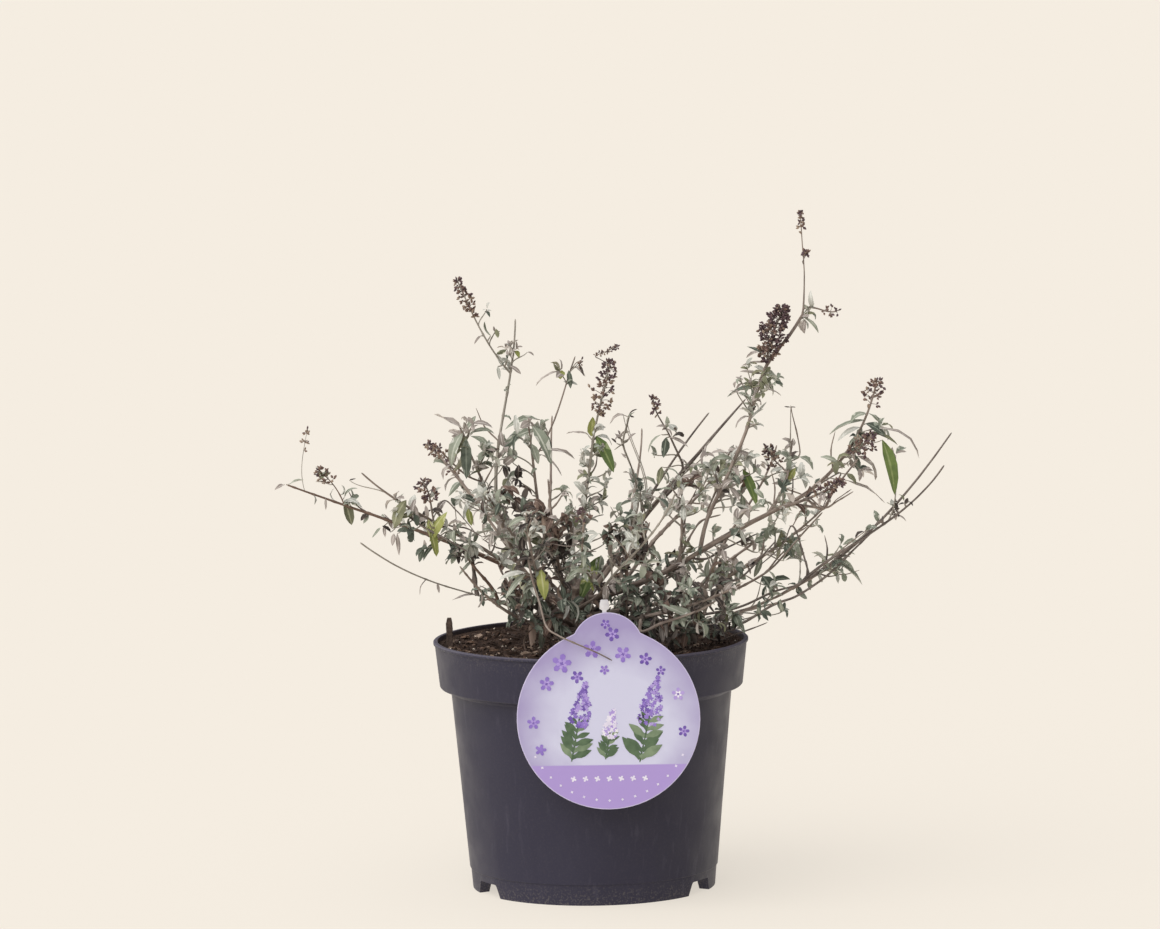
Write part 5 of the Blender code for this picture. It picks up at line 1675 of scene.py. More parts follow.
MASSES = (
    Mass(
        "whip_left", "bough_left_low", (-135, -68, 218), 36, 0.42,
        Dress(0.1, 6, (0.1, 0.5), GREY, 0.0, coat=Coat.YOUNG),
    ),
    Mass(
        "tuft_left_low", "bough_left_low", (-76, -30, 212), 76, 1.1,
        Dress(1.1, 12, (0.0, 1.0), DEEP, 0.3, 10, Coat.RUDDY), back=5,
    ),
    Mass(
        "shoot_left_long", "bough_left_long", (-180, -30, 249), 22, 1.4,
        Dress(0.45, 7, (0.3, 0.98), GREY, 0.02, 9, Coat.RUDDY, 0.2),
        forks=(
            Fork(0.74, (-161, -26, 257), 40, 0.4, Head(13, 13, 0.8, 0.1)),
            Fork(0.92, (-167, -28, 282), 80, 0.22, Head(16, 7, 0.7, 0.0, 6, 0.8)),
        ),
    ),
    Mass(
        "shoot_left_mid", "bough_left_long", (-134, -56, 258), 42, 1.2,
        Dress(0.8, 11, (0.0, 0.8), GREY, 0.25, 12), back=5,
        forks=(Fork(0.55, (-99, -36, 251), 50, head=Head(16, 19, 1.1, 0.8)),),
    ),
    Mass(
        "shoot_left_tall", "bough_left_tall", (-43, 45, 340), 84, 1.25,
        Dress(0.4, 7, (0.35, 0.9), PALE, 0.0, 8, Coat.YOUNG, 0.9),
        forks=(Fork(0.78, (-78, 32, 366), 66, head=Head(27, 12, 0.9, 0.45)),),
    ),
    Mass(
        "shoot_left_upper", "bough_left_tall", (-77, -8, 281), 66, 1.3,
        Dress(0.8, 13, (0.0, 0.98), PALE, 0.25, 13), back=5,
        forks=(Fork(0.6, (-93, -14, 270), 35, head=Head(15, 12, 0.8, 0.6)),),
    ),
    Mass(
        "shoot_left_back", "bough_left_tall", (-98, 74, 262), 36, 1.2,
        Dress(0.7, 11, (0.0, 0.98), GREY, 0.25, 12), back=11, head=Head(13, 11, 0.9, 0.5),
    ),
    Mass(
        "shoot_left_inner", "", (-36, 4, 282), 82, 1.7,
        Dress(1.1, 10, (0.3, 0.56), PALE, 0.35, 14, forks=0.0), launch=30, leave=52,
        forks=(Fork(0.8, (-7, 30, 318), 62),),
    ),
    Mass(
        "tuft_dry", "", (-60, -30, 240), 56, 1.5, Dress(1.3, 9.5, (0.3, 1.0), MIXED, 0.38, 13), launch=26,
        leave=40,
    ),
    Mass(
        "shoot_centre", "", (13, -45, 321), 80, 1.0, Dress(1.1, 7, (0.3, 0.8), PALE, 0.25, 9, Coat.YOUNG),
        launch=32, leave=56, head=Head(34, 20, 1.15, 0.85, 3.4),
        course=(
            (0, -4, 168, 1.0), (-4, -13, 187, 0.95), (-4, -22, 212, 0.9), (-2, -30, 237, 0.85),
            (1, -36, 259, 0.75), (3, -40, 274, 0.7), (6, -43, 289, 0.6), (14, -45, 321, 0.45),
        ),
    ),
    Mass(
        "tuft_centre", "", (-24, -50, 252), 76, 1.4, Dress(1.6, 9.5, (0.25, 1.0), DRY, 0.42, 14), launch=22,
        leave=24,
    ),
    Mass(
        "tuft_centre_right", "", (36, -38, 224), 66, 1.4, Dress(1.7, 9.5, (0.25, 1.0), DRY, 0.44, 14),
        launch=24, leave=30,
    ),
    Mass(
        "tuft_centre_back", "", (-10, 58, 222), 66, 1.4, Dress(1.9, 11, (0.2, 1.0), GREY, 0.4, 15),
        launch=22, leave=24,
    ),
    Mass(
        "shoot_centre_back", "bough_centre_back", (27, 64, 284), 72, 0.7,
        Dress(0.4, 6, (0.0, 0.4), GREY, 0.1, 8, Coat.YOUNG), back=5,
        course=(
            (26, 30, 212, 0.7), (30, 30, 227, 0.6), (28, 20, 245, 0.45), (24, 10, 258, 0.4),
            (21, 0, 268, 0.5), (23, -4, 277, 0.65), (25, -8, 285, 0.45),
        ),
    ),
    Mass(
        "stick_centre", "bough_centre_back", (74, 46, 281), 48, 1.0,
        Dress(0.6, 9, (0.0, 0.3), GREY, 0.3, 11, Coat.OLD),
    ),
    Mass(
        "stick_stub", "bough_stub", (96, 35, 290), 44, 1.5,
        Dress(0.6, 9, (0.0, 0.22), GREY, 0.3, 11, Coat.OLD),
    ),
    Mass(
        "shoot_stub", "bough_stub", (38, -24, 297), 66, 0.8,
        Dress(0.5, 7, (0.0, 0.45), DRY, 0.15, 9, Coat.OLD), back=4, head=Head(15, 11, 0.75, 0.8, 3.4),
        course=(
            (45, 14, 232, 0.8), (52, 8, 241, 0.8), (57, 2, 252, 0.75), (55, -2, 259, 0.7),
            (52, -6, 266, 0.65), (48, -10, 275, 0.55), (44, -11, 282, 0.5), (41, -12, 288, 0.4),
            (39, -13, 297, 0.35),
        ),
    ),
    Mass(
        "shoot_tall", "bough_right", (129, 26, 406), 88, 1.8,
        Dress(0.55, 9, (0.1, 0.44), GREY, 0.25, 12, forks=0.3), back=6, head=Head(16, 6, 0.55, 0.5, 3.0),
        course=(
            (66, -13, 203, 1.4), (71, -11, 223, 1.2), (80, -9, 241, 1.1), (87, -6, 256, 1.05),
            (95, -3, 274, 1.0), (101, 1, 294, 0.95), (107, 6, 311, 0.95), (115, 9, 322, 1.0),
            (122, 13, 330, 0.95), (129, 17, 340, 0.9), (131, 18, 346, 0.55), (132, 22, 367, 0.4),
            (131, 24, 385, 0.35), (130, 26, 405, 0.3),
        ),
        forks=(
            Fork(0.5, (118, 6, 348), 76, 0.7, Head(37, 24, 1.7, 1.0, 2.5)),
            Fork(0.74, (152, 14, 345), 30, head=Head(11, 13, 0.45, 0.6, 3.6)),
        ),
    ),
    Mass(
        "shoot_right_inner", "bough_right", (56, -16, 246), 84, 1.2,
        Dress(1.4, 9.5, (0.0, 0.98), PALE, 0.42, 14), back=14,
    ),
    Mass(
        "shoot_right", "bough_right_outer", (172, -36, 307), 78, 1.25,
        Dress(0.6, 10, (0.0, 0.9), GREEN, 0.25, 12), head=Head(19, 19, 0.85, 0.4, 3.4),
        forks=(Fork(0.5, (168, -50, 276), 60, head=Head(21, 19, 1.1, 0.8, 2.8)),),
    ),
    Mass(
        "shoot_right_dry", "bough_right_outer", (150, -68, 251), 30, 1.2,
        Dress(0.9, 9, (0.0, 0.9), DRY, 0.2, 10), back=4, head=Head(24, 12, 1.0, 0.4),
    ),
    Mass(
        "shoot_right_leafy", "bough_right_outer", (124, 28, 266), 64, 1.2,
        Dress(0.8, 10, (0.0, 0.98), GREY, 0.3, 13), back=10,
        forks=(Fork(0.6, (108, 22, 262), 60, head=Head(15, 18, 0.9, 0.9)),),
    ),
    Mass(
        "shoot_right_back", "bough_right_back", (144, 66, 219), 38, 1.4,
        Dress(1.0, 10, (0.0, 0.98), GREY, 0.3, 13),
    ),
    Mass(
        "shoot_right_back_up", "bough_right_back", (116, 70, 258), 70, 1.0,
        Dress(0.8, 10, (0.0, 0.98), GREEN, 0.3, 13), back=4,
    ),
    Mass(
        "shoot_right_back_low", "bough_right_back", (116, 104, 206), 26, 1.2,
        Dress(0.9, 10, (0.0, 0.98), GREY, 0.35, 13), back=9,
    ),
    Mass(
        "whip_right", "bough_far_right", (220, 22, 269), 54, 1.1,
        Dress(0.3, 7, (0.05, 0.6), GREY, 0.03, 8, Coat.OLD),
    ),
    Mass(
        "whip_right_front", "bough_far_right", (211, -42, 256), 54, 0.95,
        Dress(0.3, 7, (0.05, 0.6), GREY, 0.03, 8, Coat.OLD), back=5,
    ),
    Mass(
        "tuft_right_low", "bough_far_right", (160, 44, 194), 24, 1.1,
        Dress(0.9, 10, (0.0, 0.98), GREEN, 0.35, 12), back=10,
    ),
    Mass(
        "shoot_front_right", "", (88, -84, 192), 26, 1.7, Dress(1.3, 12, (0.2, 0.98), DEEP, 0.35, 13),
        launch=13, leave=14,
    ),
    Mass(
        "shoot_front_left", "", (-37, -74, 236), 84, 1.7, Dress(1.1, 12, (0.25, 0.98), DEEP, 0.35, 13),
        launch=16, leave=8,
    ),
    Mass(
        "shoot_front_low", "", (-76, -92, 206), 44, 1.6, Dress(0.8, 11, (0.25, 0.98), DEEP, 0.3, 12),
        launch=12, leave=8,
    ),
    Mass(
        "shoot_front", "bough_front", (-4, -134, 244), 56, 0.9, Dress(0.9, 12, (0.0, 0.9), GREEN, 0.3, 13),
        back=4, head=Head(14, 11, 0.8, 0.6),
    ),
    Mass(
        "shoot_front_side", "bough_front", (50, -118, 250), 58, 0.8,
        Dress(1.1, 10, (0.0, 0.98), GREY, 0.38, 13, Coat.YOUNG),
    ),
    Mass(
        "shoot_back_far", "bough_back_left", (-88, 150, 244), 42, 1.3,
        Dress(1.2, 13, (0.0, 0.9), GREY, 0.3, 13), head=Head(14, 11, 0.8, 0.6),
    ),
    Mass(
        "shoot_back_left", "bough_back_left", (-22, 136, 272), 66, 1.2,
        Dress(1.2, 12, (0.0, 0.62), GREEN, 0.3, 13), back=5,
    ),
    Mass(
        "shoot_back_right", "bough_back_right", (92, 156, 250), 46, 1.3,
        Dress(1.3, 13, (0.0, 0.98), GREY, 0.3, 13),
    ),
    Mass(
        "shoot_back_mid", "bough_back_right", (34, 128, 264), 74, 1.2,
        Dress(1.2, 11, (0.0, 0.72), GREEN, 0.3, 13), back=5,
    ),
    Mass("tuft_foot_left", "", (-52, -42, 190), 60, 1.4, Dress(1.15, 12, (0.15, 0.9), DEEP, 0.35, 12)),
    Mass("tuft_foot_front", "", (62, -44, 190), 60, 1.4, Dress(1.6, 14, (0.15, 1.0), DEEP, 0.42, 14)),
    Mass("tuft_foot_right", "", (58, 62, 194), 50, 1.4, Dress(2.1, 12, (0.15, 1.0), DEEP, 0.5, 14)),
    Mass("tuft_foot_back", "", (-56, 48, 190), 60, 1.4, Dress(2.1, 12, (0.15, 1.0), DEEP, 0.5, 14)),
)


FOOT_PLACE = Vector((-8 * MM, 0, 142 * MM))
SHOOT_ANGLE = math.radians(50)
TWIG_ANGLE = math.radians(52)
REACH = (CAD_BOX[0] - Vector((3, 3, 0)) * MM, CAD_BOX[1] + Vector((3, 3, 3)) * MM)
# Where the photograph's camera stands, in metres: across, before the plant's middle, and above the ground.
EYE = (-0.00495, 3.2, 0.58863)


def slope(heading: Vector, degrees: float) -> Vector:
    """A direction that climbs at an angle over a level heading."""
    angle = math.radians(degrees)
    return Vector((heading.x * math.cos(angle), heading.y * math.cos(angle), math.sin(angle)))


def bent(start: Vector, first: Vector, tip: Vector, last: Vector, count: int) -> list[Vector]:
    """Points along a smooth curve that leaves start along first and arrives at tip along last.

    Args:
        start: Where it starts.
        first: Its direction there.
        tip: Where it ends.
        last: Its direction there.
        count: How many steps it has.

    Returns:
        The points, one more than the steps.
    """
    pull = (tip - start).length * 0.36
    handles = (start, start + first * pull, tip - last * pull, tip)
    points = []
    for i in range(count + 1):
        t = i / count
        shares = ((1 - t) ** 3, 3 * t * (1 - t) ** 2, 3 * t * t * (1 - t), t**3)
        points.append(sum((handle * share for handle, share in zip(handles, shares)), Vector()))
    return points


def threaded(places: Sequence[Vector], spacing: float) -> list[tuple]:
    """Points along a smooth curve through places, each with its run counted in places.

    Args:
        places: The places.
        spacing: About how far apart the points are.

    Returns:
        Pairs of point and run.
    """
    padded = [places[0] * 2 - places[1], *places, places[-1] * 2 - places[-2]]
    found = []
    for number, (before, a, b, after) in enumerate(zip(padded, padded[1:], padded[2:], padded[3:])):
        steps = max(2, round((b - a).length / spacing))
        for i in range(steps):
            t = i / steps
            bow = (b - before) * t + (before * 2 - a * 5 + b * 4 - after) * t**2
            found.append((a + (bow + (a * 3 - before - b * 3 + after) * t**3) / 2, number + t))
    return [*found, (places[-1], len(places) - 1)]


def heading_of(start: Vector, tip: Vector) -> Vector:
    """The level direction from start to tip."""
    level = Vector((tip.x - start.x, tip.y - start.y, 0))
    return level.normalized() if level.length > MM else Vector((0, 1, 0))


def twisted(along: Vector, turn: float) -> Vector:
    """A direction square to along, turned about it.

    Args:
        along: The direction.
        turn: The turn, in radians.

    Returns:
        A direction of length 1.
    """
    side = along.orthogonal().normalized()
    if abs(along.z) < 0.95:
        side = along.cross(Vector((0, 0, 1))).normalized()
    return (Matrix.Rotation(turn, 3, along) @ side).normalized()


@dataclass
class Limb:
    """A curve with a radius at each of its points, and the places of its swollen nodes."""

    points: list
    radii: list
    nodes: list = field(default_factory=list)

    def length(self) -> float:
        """The curve's length."""
        return sum((b - a).length for a, b in zip(self.points, self.points[1:]))

    def at(self, share: float) -> tuple:
        """The point, direction and radius at a share of the curve.

        Args:
            share: The share, from 0 to 1.

        Returns:
            Point, direction and radius.
        """
        place = min(max(share, 0), 0.9999) * (len(self.points) - 1)
        i = int(place)
        part = place - i
        step = self.points[i + 1] - self.points[i]
        radius = self.radii[i] + (self.radii[i + 1] - self.radii[i]) * part
        return self.points[i] + step * part, step.normalized(), radius

    def trimmed(self, share: float, spacing: float) -> "Limb":
        """The rest of the curve from a share of it, with a point at each step of a spacing.

        Args:
            share: Where the rest starts.
            spacing: The step.

        Returns:
            The rest, as a limb.
        """
        count = max(3, round((1 - share) * self.length() / spacing))
        found = [self.at(share + (1 - share) * i / count) for i in range(count + 1)]
        nodes = [(node - share) / (1 - share) for node in self.nodes if node > share]
        return Limb([point for point, _, _ in found], [radius for _, _, radius in found], nodes)


def limb_between(
    start: Vector, first: Vector, tip: Vector, arrive: float, radius: float, tip_radius: float, count: int
) -> Limb:
    """A tapering limb on a bent curve, as in the source.

    Args:
        start: Where it starts.
        first: Its direction there.
        tip: Where it ends.
        arrive: How steeply it climbs there, in degrees.
        radius: Its radius at its start.
        tip_radius: Its radius at its tip.
        count: How many steps it has.

    Returns:
        The limb.
    """
    points = bent(start, first, tip, slope(heading_of(start, tip), arrive), count)
    return Limb(points, [radius + (tip_radius - radius) * i / count for i in range(count + 1)])


@dataclass(frozen=True)
class Limits:
    """Where leaves and twigs may be: over soil and rim, round foot and label, inside the plant's reach."""

    room: float = 0.35 * MM
    lowest: float = 20 * MM
    rim: tuple = (87 * MM, 97 * MM, 151.2 * MM)
    soil: tuple = (55 * MM, 144.6 * MM, 0.15)
    label: tuple = (9.6 * MM, 58 * MM, -86 * MM, 186 * MM)
    foot: tuple = (13.5 * MM, 0.16, 178 * MM)

    def floor(self, reach: float) -> float:
        """The least height at a distance from the pot's axis: a rim's, the heaped soil's, or the lowest.

        Args:
            reach: The distance from the axis.

        Returns:
            The height.
        """
        inner, outer, top = self.rim
        flat, level, climb = self.soil
        if reach >= outer:
            return self.lowest
        return top if reach > inner else level + climb * max(0.0, reach - flat)

    def allow(self, point: Vector) -> bool:
        """Tells whether a point is in free space.

        Args:
            point: A place on a leaf or a twig.

        Returns:
            True if it is inside the plant's reach and clear of soil, rim, label and foot.
        """
        low, high = REACH
        if not (low.x <= point.x <= high.x and low.y <= point.y <= high.y and point.z <= high.z):
            return False
        middle, half, front, top = self.label
        if abs(point.x - middle) < half and point.y < front and point.z < top:
            return False
        radius, taper, end = self.foot
        radius -= taper * (point.z - FOOT_PLACE.z)
        if math.hypot(point.x - FOOT_PLACE.x, point.y) < radius and point.z < end:
            return False
        return point.z >= self.floor(math.hypot(point.x, point.y))


class Skeleton:
    """All limbs of the plant, planned by the source's rule."""

    def __init__(self) -> None:
        """Plans every limb, and a tree of the places along them."""
        self.limits = Limits()
        self.boughs = self.plan_boughs()
        self.shoots = {mass.name: self.plan_shoot(mass) for mass in MASSES}
        self.spots = []
        for limb in self.all_limbs():
            count = max(4, round(limb.length() / (1.4 * MM)))
            self.spots += [(limb, i / count, *limb.at(i / count)) for i in range(count + 1)]
        self.tree = KDTree(len(self.spots))
        for i, spot in enumerate(self.spots):
            self.tree.insert(spot[2], i)
        self.tree.balance()

    def all_limbs(self) -> Iterable[Limb]:
        """The boughs, and the stem and forks of every mass.

        Returns:
            Each limb in turn.
        """
        yield from self.boughs.values()
        for limbs in self.shoots.values():
            yield from limbs

    def plan_boughs(self) -> dict:
        """Each bough's whole curve from the middle of the foot, or from its parent's tip.

        Returns:
            The limbs by name.
        """
        curves = {}
        for bough in BOUGHS:
            tip = Vector(bough.tip) * MM
            if bough.parent:
                start, first, _ = curves[bough.parent].at(1)
            else:
                start = FOOT_PLACE + Vector((0, 0, bough.launch * MM))
                first = slope(heading_of(start, tip), bough.leave)
            curves[bough.name] = limb_between(
                start, first, tip, bough.arrive, bough.radius * MM, bough.tip_radius * MM, 24
            )
        return curves

    def plan_shoot(self, mass: Mass) -> list[Limb]:
        """A mass's stem from its bough, or from the foot, and its forks from the stem.

        Args:
            mass: The mass.

        Returns:
            The stem, then the forks.
        """
        tip = Vector(mass.tip) * MM
        if not mass.bough:
            start = FOOT_PLACE + Vector((0, 0, mass.launch * MM))
            first = slope(heading_of(start, tip), mass.leave)
        elif not mass.back:
            start, first, _ = self.boughs[mass.bough].at(1)
        else:
            limb = self.boughs[mass.bough]
            start, along, _ = limb.at(1 - mass.back * MM / limb.length())
            aside = (tip - start) - along * (tip - start).dot(along)
            first = along * math.cos(SHOOT_ANGLE) + aside.normalized() * math.sin(SHOOT_ANGLE)
        stem = limb_between(start, first, tip, mass.arrive, mass.radius * MM, 0.5 * MM, 24)
        if mass.course:
            course = np.array(mass.course) * MM
            found = threaded([Vector(place) for place in course[:, :3]], 8 * MM)
            radii = [float(np.interp(run, range(len(course)), course[:, 3])) for _, run in found]
            stem = Limb([point for point, _ in found], radii)
        limbs = [stem]
        for fork in mass.forks:
            root, along, _ = stem.at(fork.at)
            end = Vector(fork.tip) * MM
            aside = (end - root) - along * (end - root).dot(along)
            out = along * math.cos(TWIG_ANGLE) + aside.normalized() * math.sin(TWIG_ANGLE)
            thin = min(0.45, 0.75 * fork.radius) * MM
            limbs.append(limb_between(root, out, end, fork.arrive, fork.radius * MM, thin, 12))
        return limbs

    def clear(self, points: Iterable[Vector]) -> bool:
        """Tells whether points keep clear of limbs, foot, pot, soil and label, inside the plant's reach.

        Args:
            points: Places along a leaf or a twig.

        Returns:
            True if all of them do.
        """
        return all(self.limits.allow(point) and self.off_limbs(point) for point in points)

    def off_limbs(self, point: Vector) -> bool:
        """True if a point lies clear of the nearest limb."""
        _, index, gap = self.tree.find(point)
        return gap >= self.spots[index][4] + self.limits.room


def under_sky(point: Vector) -> bool:
    """True if a point lies in one of the openings, as seen from the photograph's camera.

    Args:
        point: A place on a leaf or a twig.

    Returns:
        True where sky should show through.
    """
    share = EYE[1] / (point.y + EYE[1])
    x = (EYE[0] + (point.x - EYE[0]) * share) / MM
    z = (EYE[2] + (point.z - EYE[2]) * share) / MM
    return any(((x - a) / wide) ** 2 + ((z - b) / high) ** 2 < 1 for a, b, wide, high in SKY)


# Twigs, leaves and seed heads, gathered in arrays


class TwigBatch(Batch):
    """Round twigs with bark relief, swollen nodes and rounded ends."""

    def add_limb(self, limb: Limb, sides: int, relief: float, seed: float) -> None:
        """Adds a limb's tube.

        Args:
            limb: The limb, with a point for each ring.
            sides: How many sides it has.
            relief: How rough it is, as a share of its radius.
            seed: Shifts its relief from that of other limbs.
        """
        rings, length = len(limb.points), limb.length()
        side = limb.at(0)[1].orthogonal().normalized()
        points = np.empty((rings * sides + 1, 3))
        grain = np.empty((rings * sides + 1, 3))
        run = 0.0
        for i, (centre, radius) in enumerate(zip(limb.points, limb.radii)):
            before, after = limb.points[max(i - 1, 0)], limb.points[min(i + 1, rings - 1)]
            along = (after - before).normalized()
            side = (side - along * side.dot(along)).normalized()
            up = along.cross(side)
            share = i / (rings - 1)
            swell = sum(math.exp(-(((share - node) * length / (1.1 * MM)) ** 2)) for node in limb.nodes)
            size = radius * (1 + 0.35 * min(1.0, swell))
            if i == rings - 1:
                size *= 0.55
            for k in range(sides):
                turn = math.tau * k / sides
                ridge = noise.noise(Vector((math.cos(turn) * 1.5 + seed, math.sin(turn) * 1.5, run * 90)))
                reach = size * (1 + relief * ridge)
                spot = centre + (side * math.cos(turn) + up * math.sin(turn)) * reach
                points[i * sides + k] = spot
                grain[i * sides + k] = (math.cos(turn) * radius + seed, math.sin(turn) * radius, run)
            run += (after - centre).length
        points[-1] = limb.points[-1] + (limb.points[-1] - limb.points[-2]).normalized() * limb.radii[-1] * 0.7
        grain[-1] = grain[-2]
        ring = np.arange(sides)
        after_ring = (ring + 1) % sides
        base = np.arange(rings - 1)[:, None] * sides
        over = base + sides
        quads = np.stack([base + ring, base + after_ring, over + after_ring, over + ring], axis=2)
        last = (rings - 1) * sides
        cap = np.stack([last + ring, last + after_ring, np.full(sides, rings * sides)], axis=1)
        self.more(cap)
        self.more(ring[::-1][None, :])
        self.add(points, quads.reshape(-1, 4), 0, grain)


@dataclass(frozen=True)
class LeafCut:
    """A leaf's outline: shares of its length, and its half width at each, before the point at its tip."""

    stations: tuple
    widths: tuple
    full: bool


BROAD = LeafCut((0, 0.08, 0.24, 0.46, 0.7, 0.89), (0.07, 0.38, 0.88, 1.0, 0.8, 0.4), True)
SLIGHT = LeafCut((0, 0.2, 0.5, 0.8), (0.14, 0.8, 1.0, 0.62), False)


class LeafBatch(Batch):
    """Leaves of one kind: thin closed blades, folded along the midrib, arched, twisted and rippled."""

    def __init__(self) -> None:
        """Starts empty, with rows for each outline."""
        super().__init__()
        self.rows: dict = {BROAD: [], SLIGHT: []}

    def leaf(
        self, root: Vector, tip: Vector, up: Vector, width: float, arch: float, rng: random.Random,
        broad: bool,
    ) -> None:
        """Adds one leaf.

        Args:
            root: Where it leaves its twig.
            tip: Where it ends.
            up: Roughly the way its upper face looks.
            width: Its full width.
            arch: How far its middle stands out of its chord, as a share of its length.
            rng: Deals its fold, twist, ripple and shade.
            broad: True for the fuller outline with a midrib.
        """
        along = tip - root
        normal = up - along * (up.dot(along) / along.length_squared)
        if normal.length < 1e-6:
            normal = along.orthogonal()
        fold = rng.uniform(0.1, 0.6) if rng.random() < 0.8 else -rng.uniform(0.1, 0.5)
        self.rows[BROAD if broad else SLIGHT].append(
            (
                *root, *tip, *normal.normalized(), width, arch, fold, rng.uniform(-0.9, 0.9),
                rng.uniform(0.0, 0.05), rng.uniform(0, math.tau), float(rng.random() < 0.42),
            )
        )

    def lay(self, cut: LeafCut, rows: np.ndarray) -> None:
        """Makes all the leaves of one outline from their rows of numbers.

        Args:
            cut: The outline.
            rows: A row for each leaf, as the leaf method lists them.
        """
        root, tip, normal = rows[:, None, 0:3], rows[:, None, 3:6], rows[:, None, 6:9]
        width, arch, fold, twist, ripple, phase = (rows[:, None, 9 + i, None] for i in range(6))
        t = np.array(cut.stations)[None, :, None]
        half = width / 2 * np.array(cut.widths)[None, :, None]
        chord = tip - root
        length = np.linalg.norm(chord, axis=2, keepdims=True)
        along = chord / length
        side = np.cross(along, normal)
        spine = root + chord * t + normal * length * 4 * arch * t * (1 - t)
        tangent = along + normal * 4 * arch * (1 - 2 * t)
        tangent /= np.linalg.norm(tangent, axis=2, keepdims=True)
        face = np.cross(np.broadcast_to(side, tangent.shape), tangent)
        turn = twist * (t - 0.2)
        across = side * np.cos(turn) + face * np.sin(turn)
        face = face * np.cos(turn) - side * np.sin(turn)
        wave = ripple * length * np.sin(2.6 * math.pi * t + phase)
        other = ripple * length * np.sin(2.3 * math.pi * t + phase * 1.7)
        rise = half * np.sin(fold)
        left = spine + across * half * np.cos(fold) + face * (rise + wave)
        right = spine - across * half * np.cos(fold) + face * (rise + other)
        thick = np.minimum(0.16 * MM, half * 0.5)
        if cut.full:
            rib = np.minimum(half * 0.13 + 0.05 * MM, half * 0.8)
            ring = [
                left,
                spine + across * rib + face * thick * 0.6,
                spine - across * rib + face * thick * 0.6,
                right,
                spine - across * rib * 1.3 - face * thick * 1.6,
                spine + across * rib * 1.3 - face * thick * 1.6,
            ]
            slots = (0, 2, 0, 3, 3, 3)
        else:
            ring = [left, spine + face * thick, right, spine - face * thick]
            slots = (0, 0, 3, 3)
        count, stations, sides = len(rows), len(cut.stations), len(ring)
        body = np.stack(ring, axis=2).reshape(count, stations * sides, 3)
        points = np.concatenate([body, tip], axis=1)
        size = stations * sides + 1
        k = np.arange(sides)
        after = (k + 1) % sides
        base = np.arange(stations - 1)[:, None] * sides
        over = base + sides
        quads = np.stack([base + k, over + k, over + after, base + after], axis=2).reshape(-1, 4)
        last = (stations - 1) * sides
        ends = np.stack([last + k, np.full(sides, size - 1), last + after], axis=1)
        offsets = (np.arange(count) * size)[:, None, None]
        shade = rows[:, -1].astype(int)[:, None]
        slot = np.array(slots)[None, :]
        dealt = np.where(slot == 0, shade, slot)
        quad_slots = np.tile(dealt[:, None, :], (1, stations - 1, 1)).reshape(count, -1)
        self.more((ends[None] + offsets).reshape(-1, 3), dealt.ravel())
        self.more((k[None, None, :] + offsets).reshape(-1, sides), 3)
        self.add(points.reshape(-1, 3), (quads[None] + offsets).reshape(-1, 4), quad_slots.ravel())

    def lay_all(self) -> bool:
        """Makes every leaf that was added, and tells whether there are any.

        Returns:
            True if there are leaves.
        """
        for cut, rows in self.rows.items():
            if rows:
                self.lay(cut, np.array(rows, dtype=float))
        return self.count > 0


class HeadBatch(Batch):
    """The pointed seed capsules of dry flower spikes."""

    def capsule(self, root: Vector, along: Vector, length: float, width: float, slot: int) -> None:
        """Adds one capsule of five sides, widest under its middle, split at its point.

        Args:
            root: Where it sits.
            along: The way it points.
            length: Its length.
            width: Its greatest width.
            slot: Its material.
        """
        side = along.orthogonal().normalized()
        up = along.cross(side)
        points = [root - along * length * 0.08]
        for share, size in ((0.22, 0.78), (0.52, 1.0), (0.8, 0.55)):
            for k in range(5):
                turn = math.tau * k / 5 + share
                spot = root + along * length * share
                points.append(spot + (side * math.cos(turn) + up * math.sin(turn)) * width / 2 * size)
        points.append(root + along * length)
        k = np.arange(5)
        after = (k + 1) % 5
        self.more(np.stack([np.zeros(5, int), 1 + after, 1 + k], axis=1), slot)
        self.more(np.stack([11 + k, 11 + after, np.full(5, 16)], axis=1), slot)
        low = np.stack([1 + k, 1 + after, 6 + after, 6 + k], axis=1)
        self.add(np.array([tuple(p) for p in points]), np.concatenate([low, low + 5]), slot)


@dataclass
class Garden:
    """What all masses grow into: the batches of twigs by bark, leaves by kind, and seed heads."""

    skeleton: Skeleton
    stems: dict = field(default_factory=lambda: {coat: TwigBatch() for coat in Coat})
    leaves: dict = field(default_factory=lambda: {kind: LeafBatch() for kind in Kind})
    heads: HeadBatch = field(default_factory=HeadBatch)

    def build(self) -> None:
        """Joins each batch into a piece."""
        for coat, batch in self.stems.items():
            if batch.count:
                piece = batch.piece("twigs_" + coat.name.lower(), [coat.value.material()], 70)
                hand_over(piece, [mass.name for mass in MASSES if mass.dress.coat is coat])
        for kind, batch in self.leaves.items():
            if batch.lay_all():
                hand_over(batch.piece("leaves_" + kind.name.lower(), kind.value.materials()))
        finishes = (
            Mottled("capsule_dark", "6e585b", "493a3e", 0.8, 500, 0.25, 1500),
            Mottled("capsule_brown", "8e776b", "66504a", 0.8, 500, 0.25, 1500),
            Mottled("capsule_tan", "aa9888", "85705f", 0.8, 500, 0.25, 1500),
        )
        hand_over(self.heads.piece("seed_heads", [finish.material() for finish in finishes], 50))


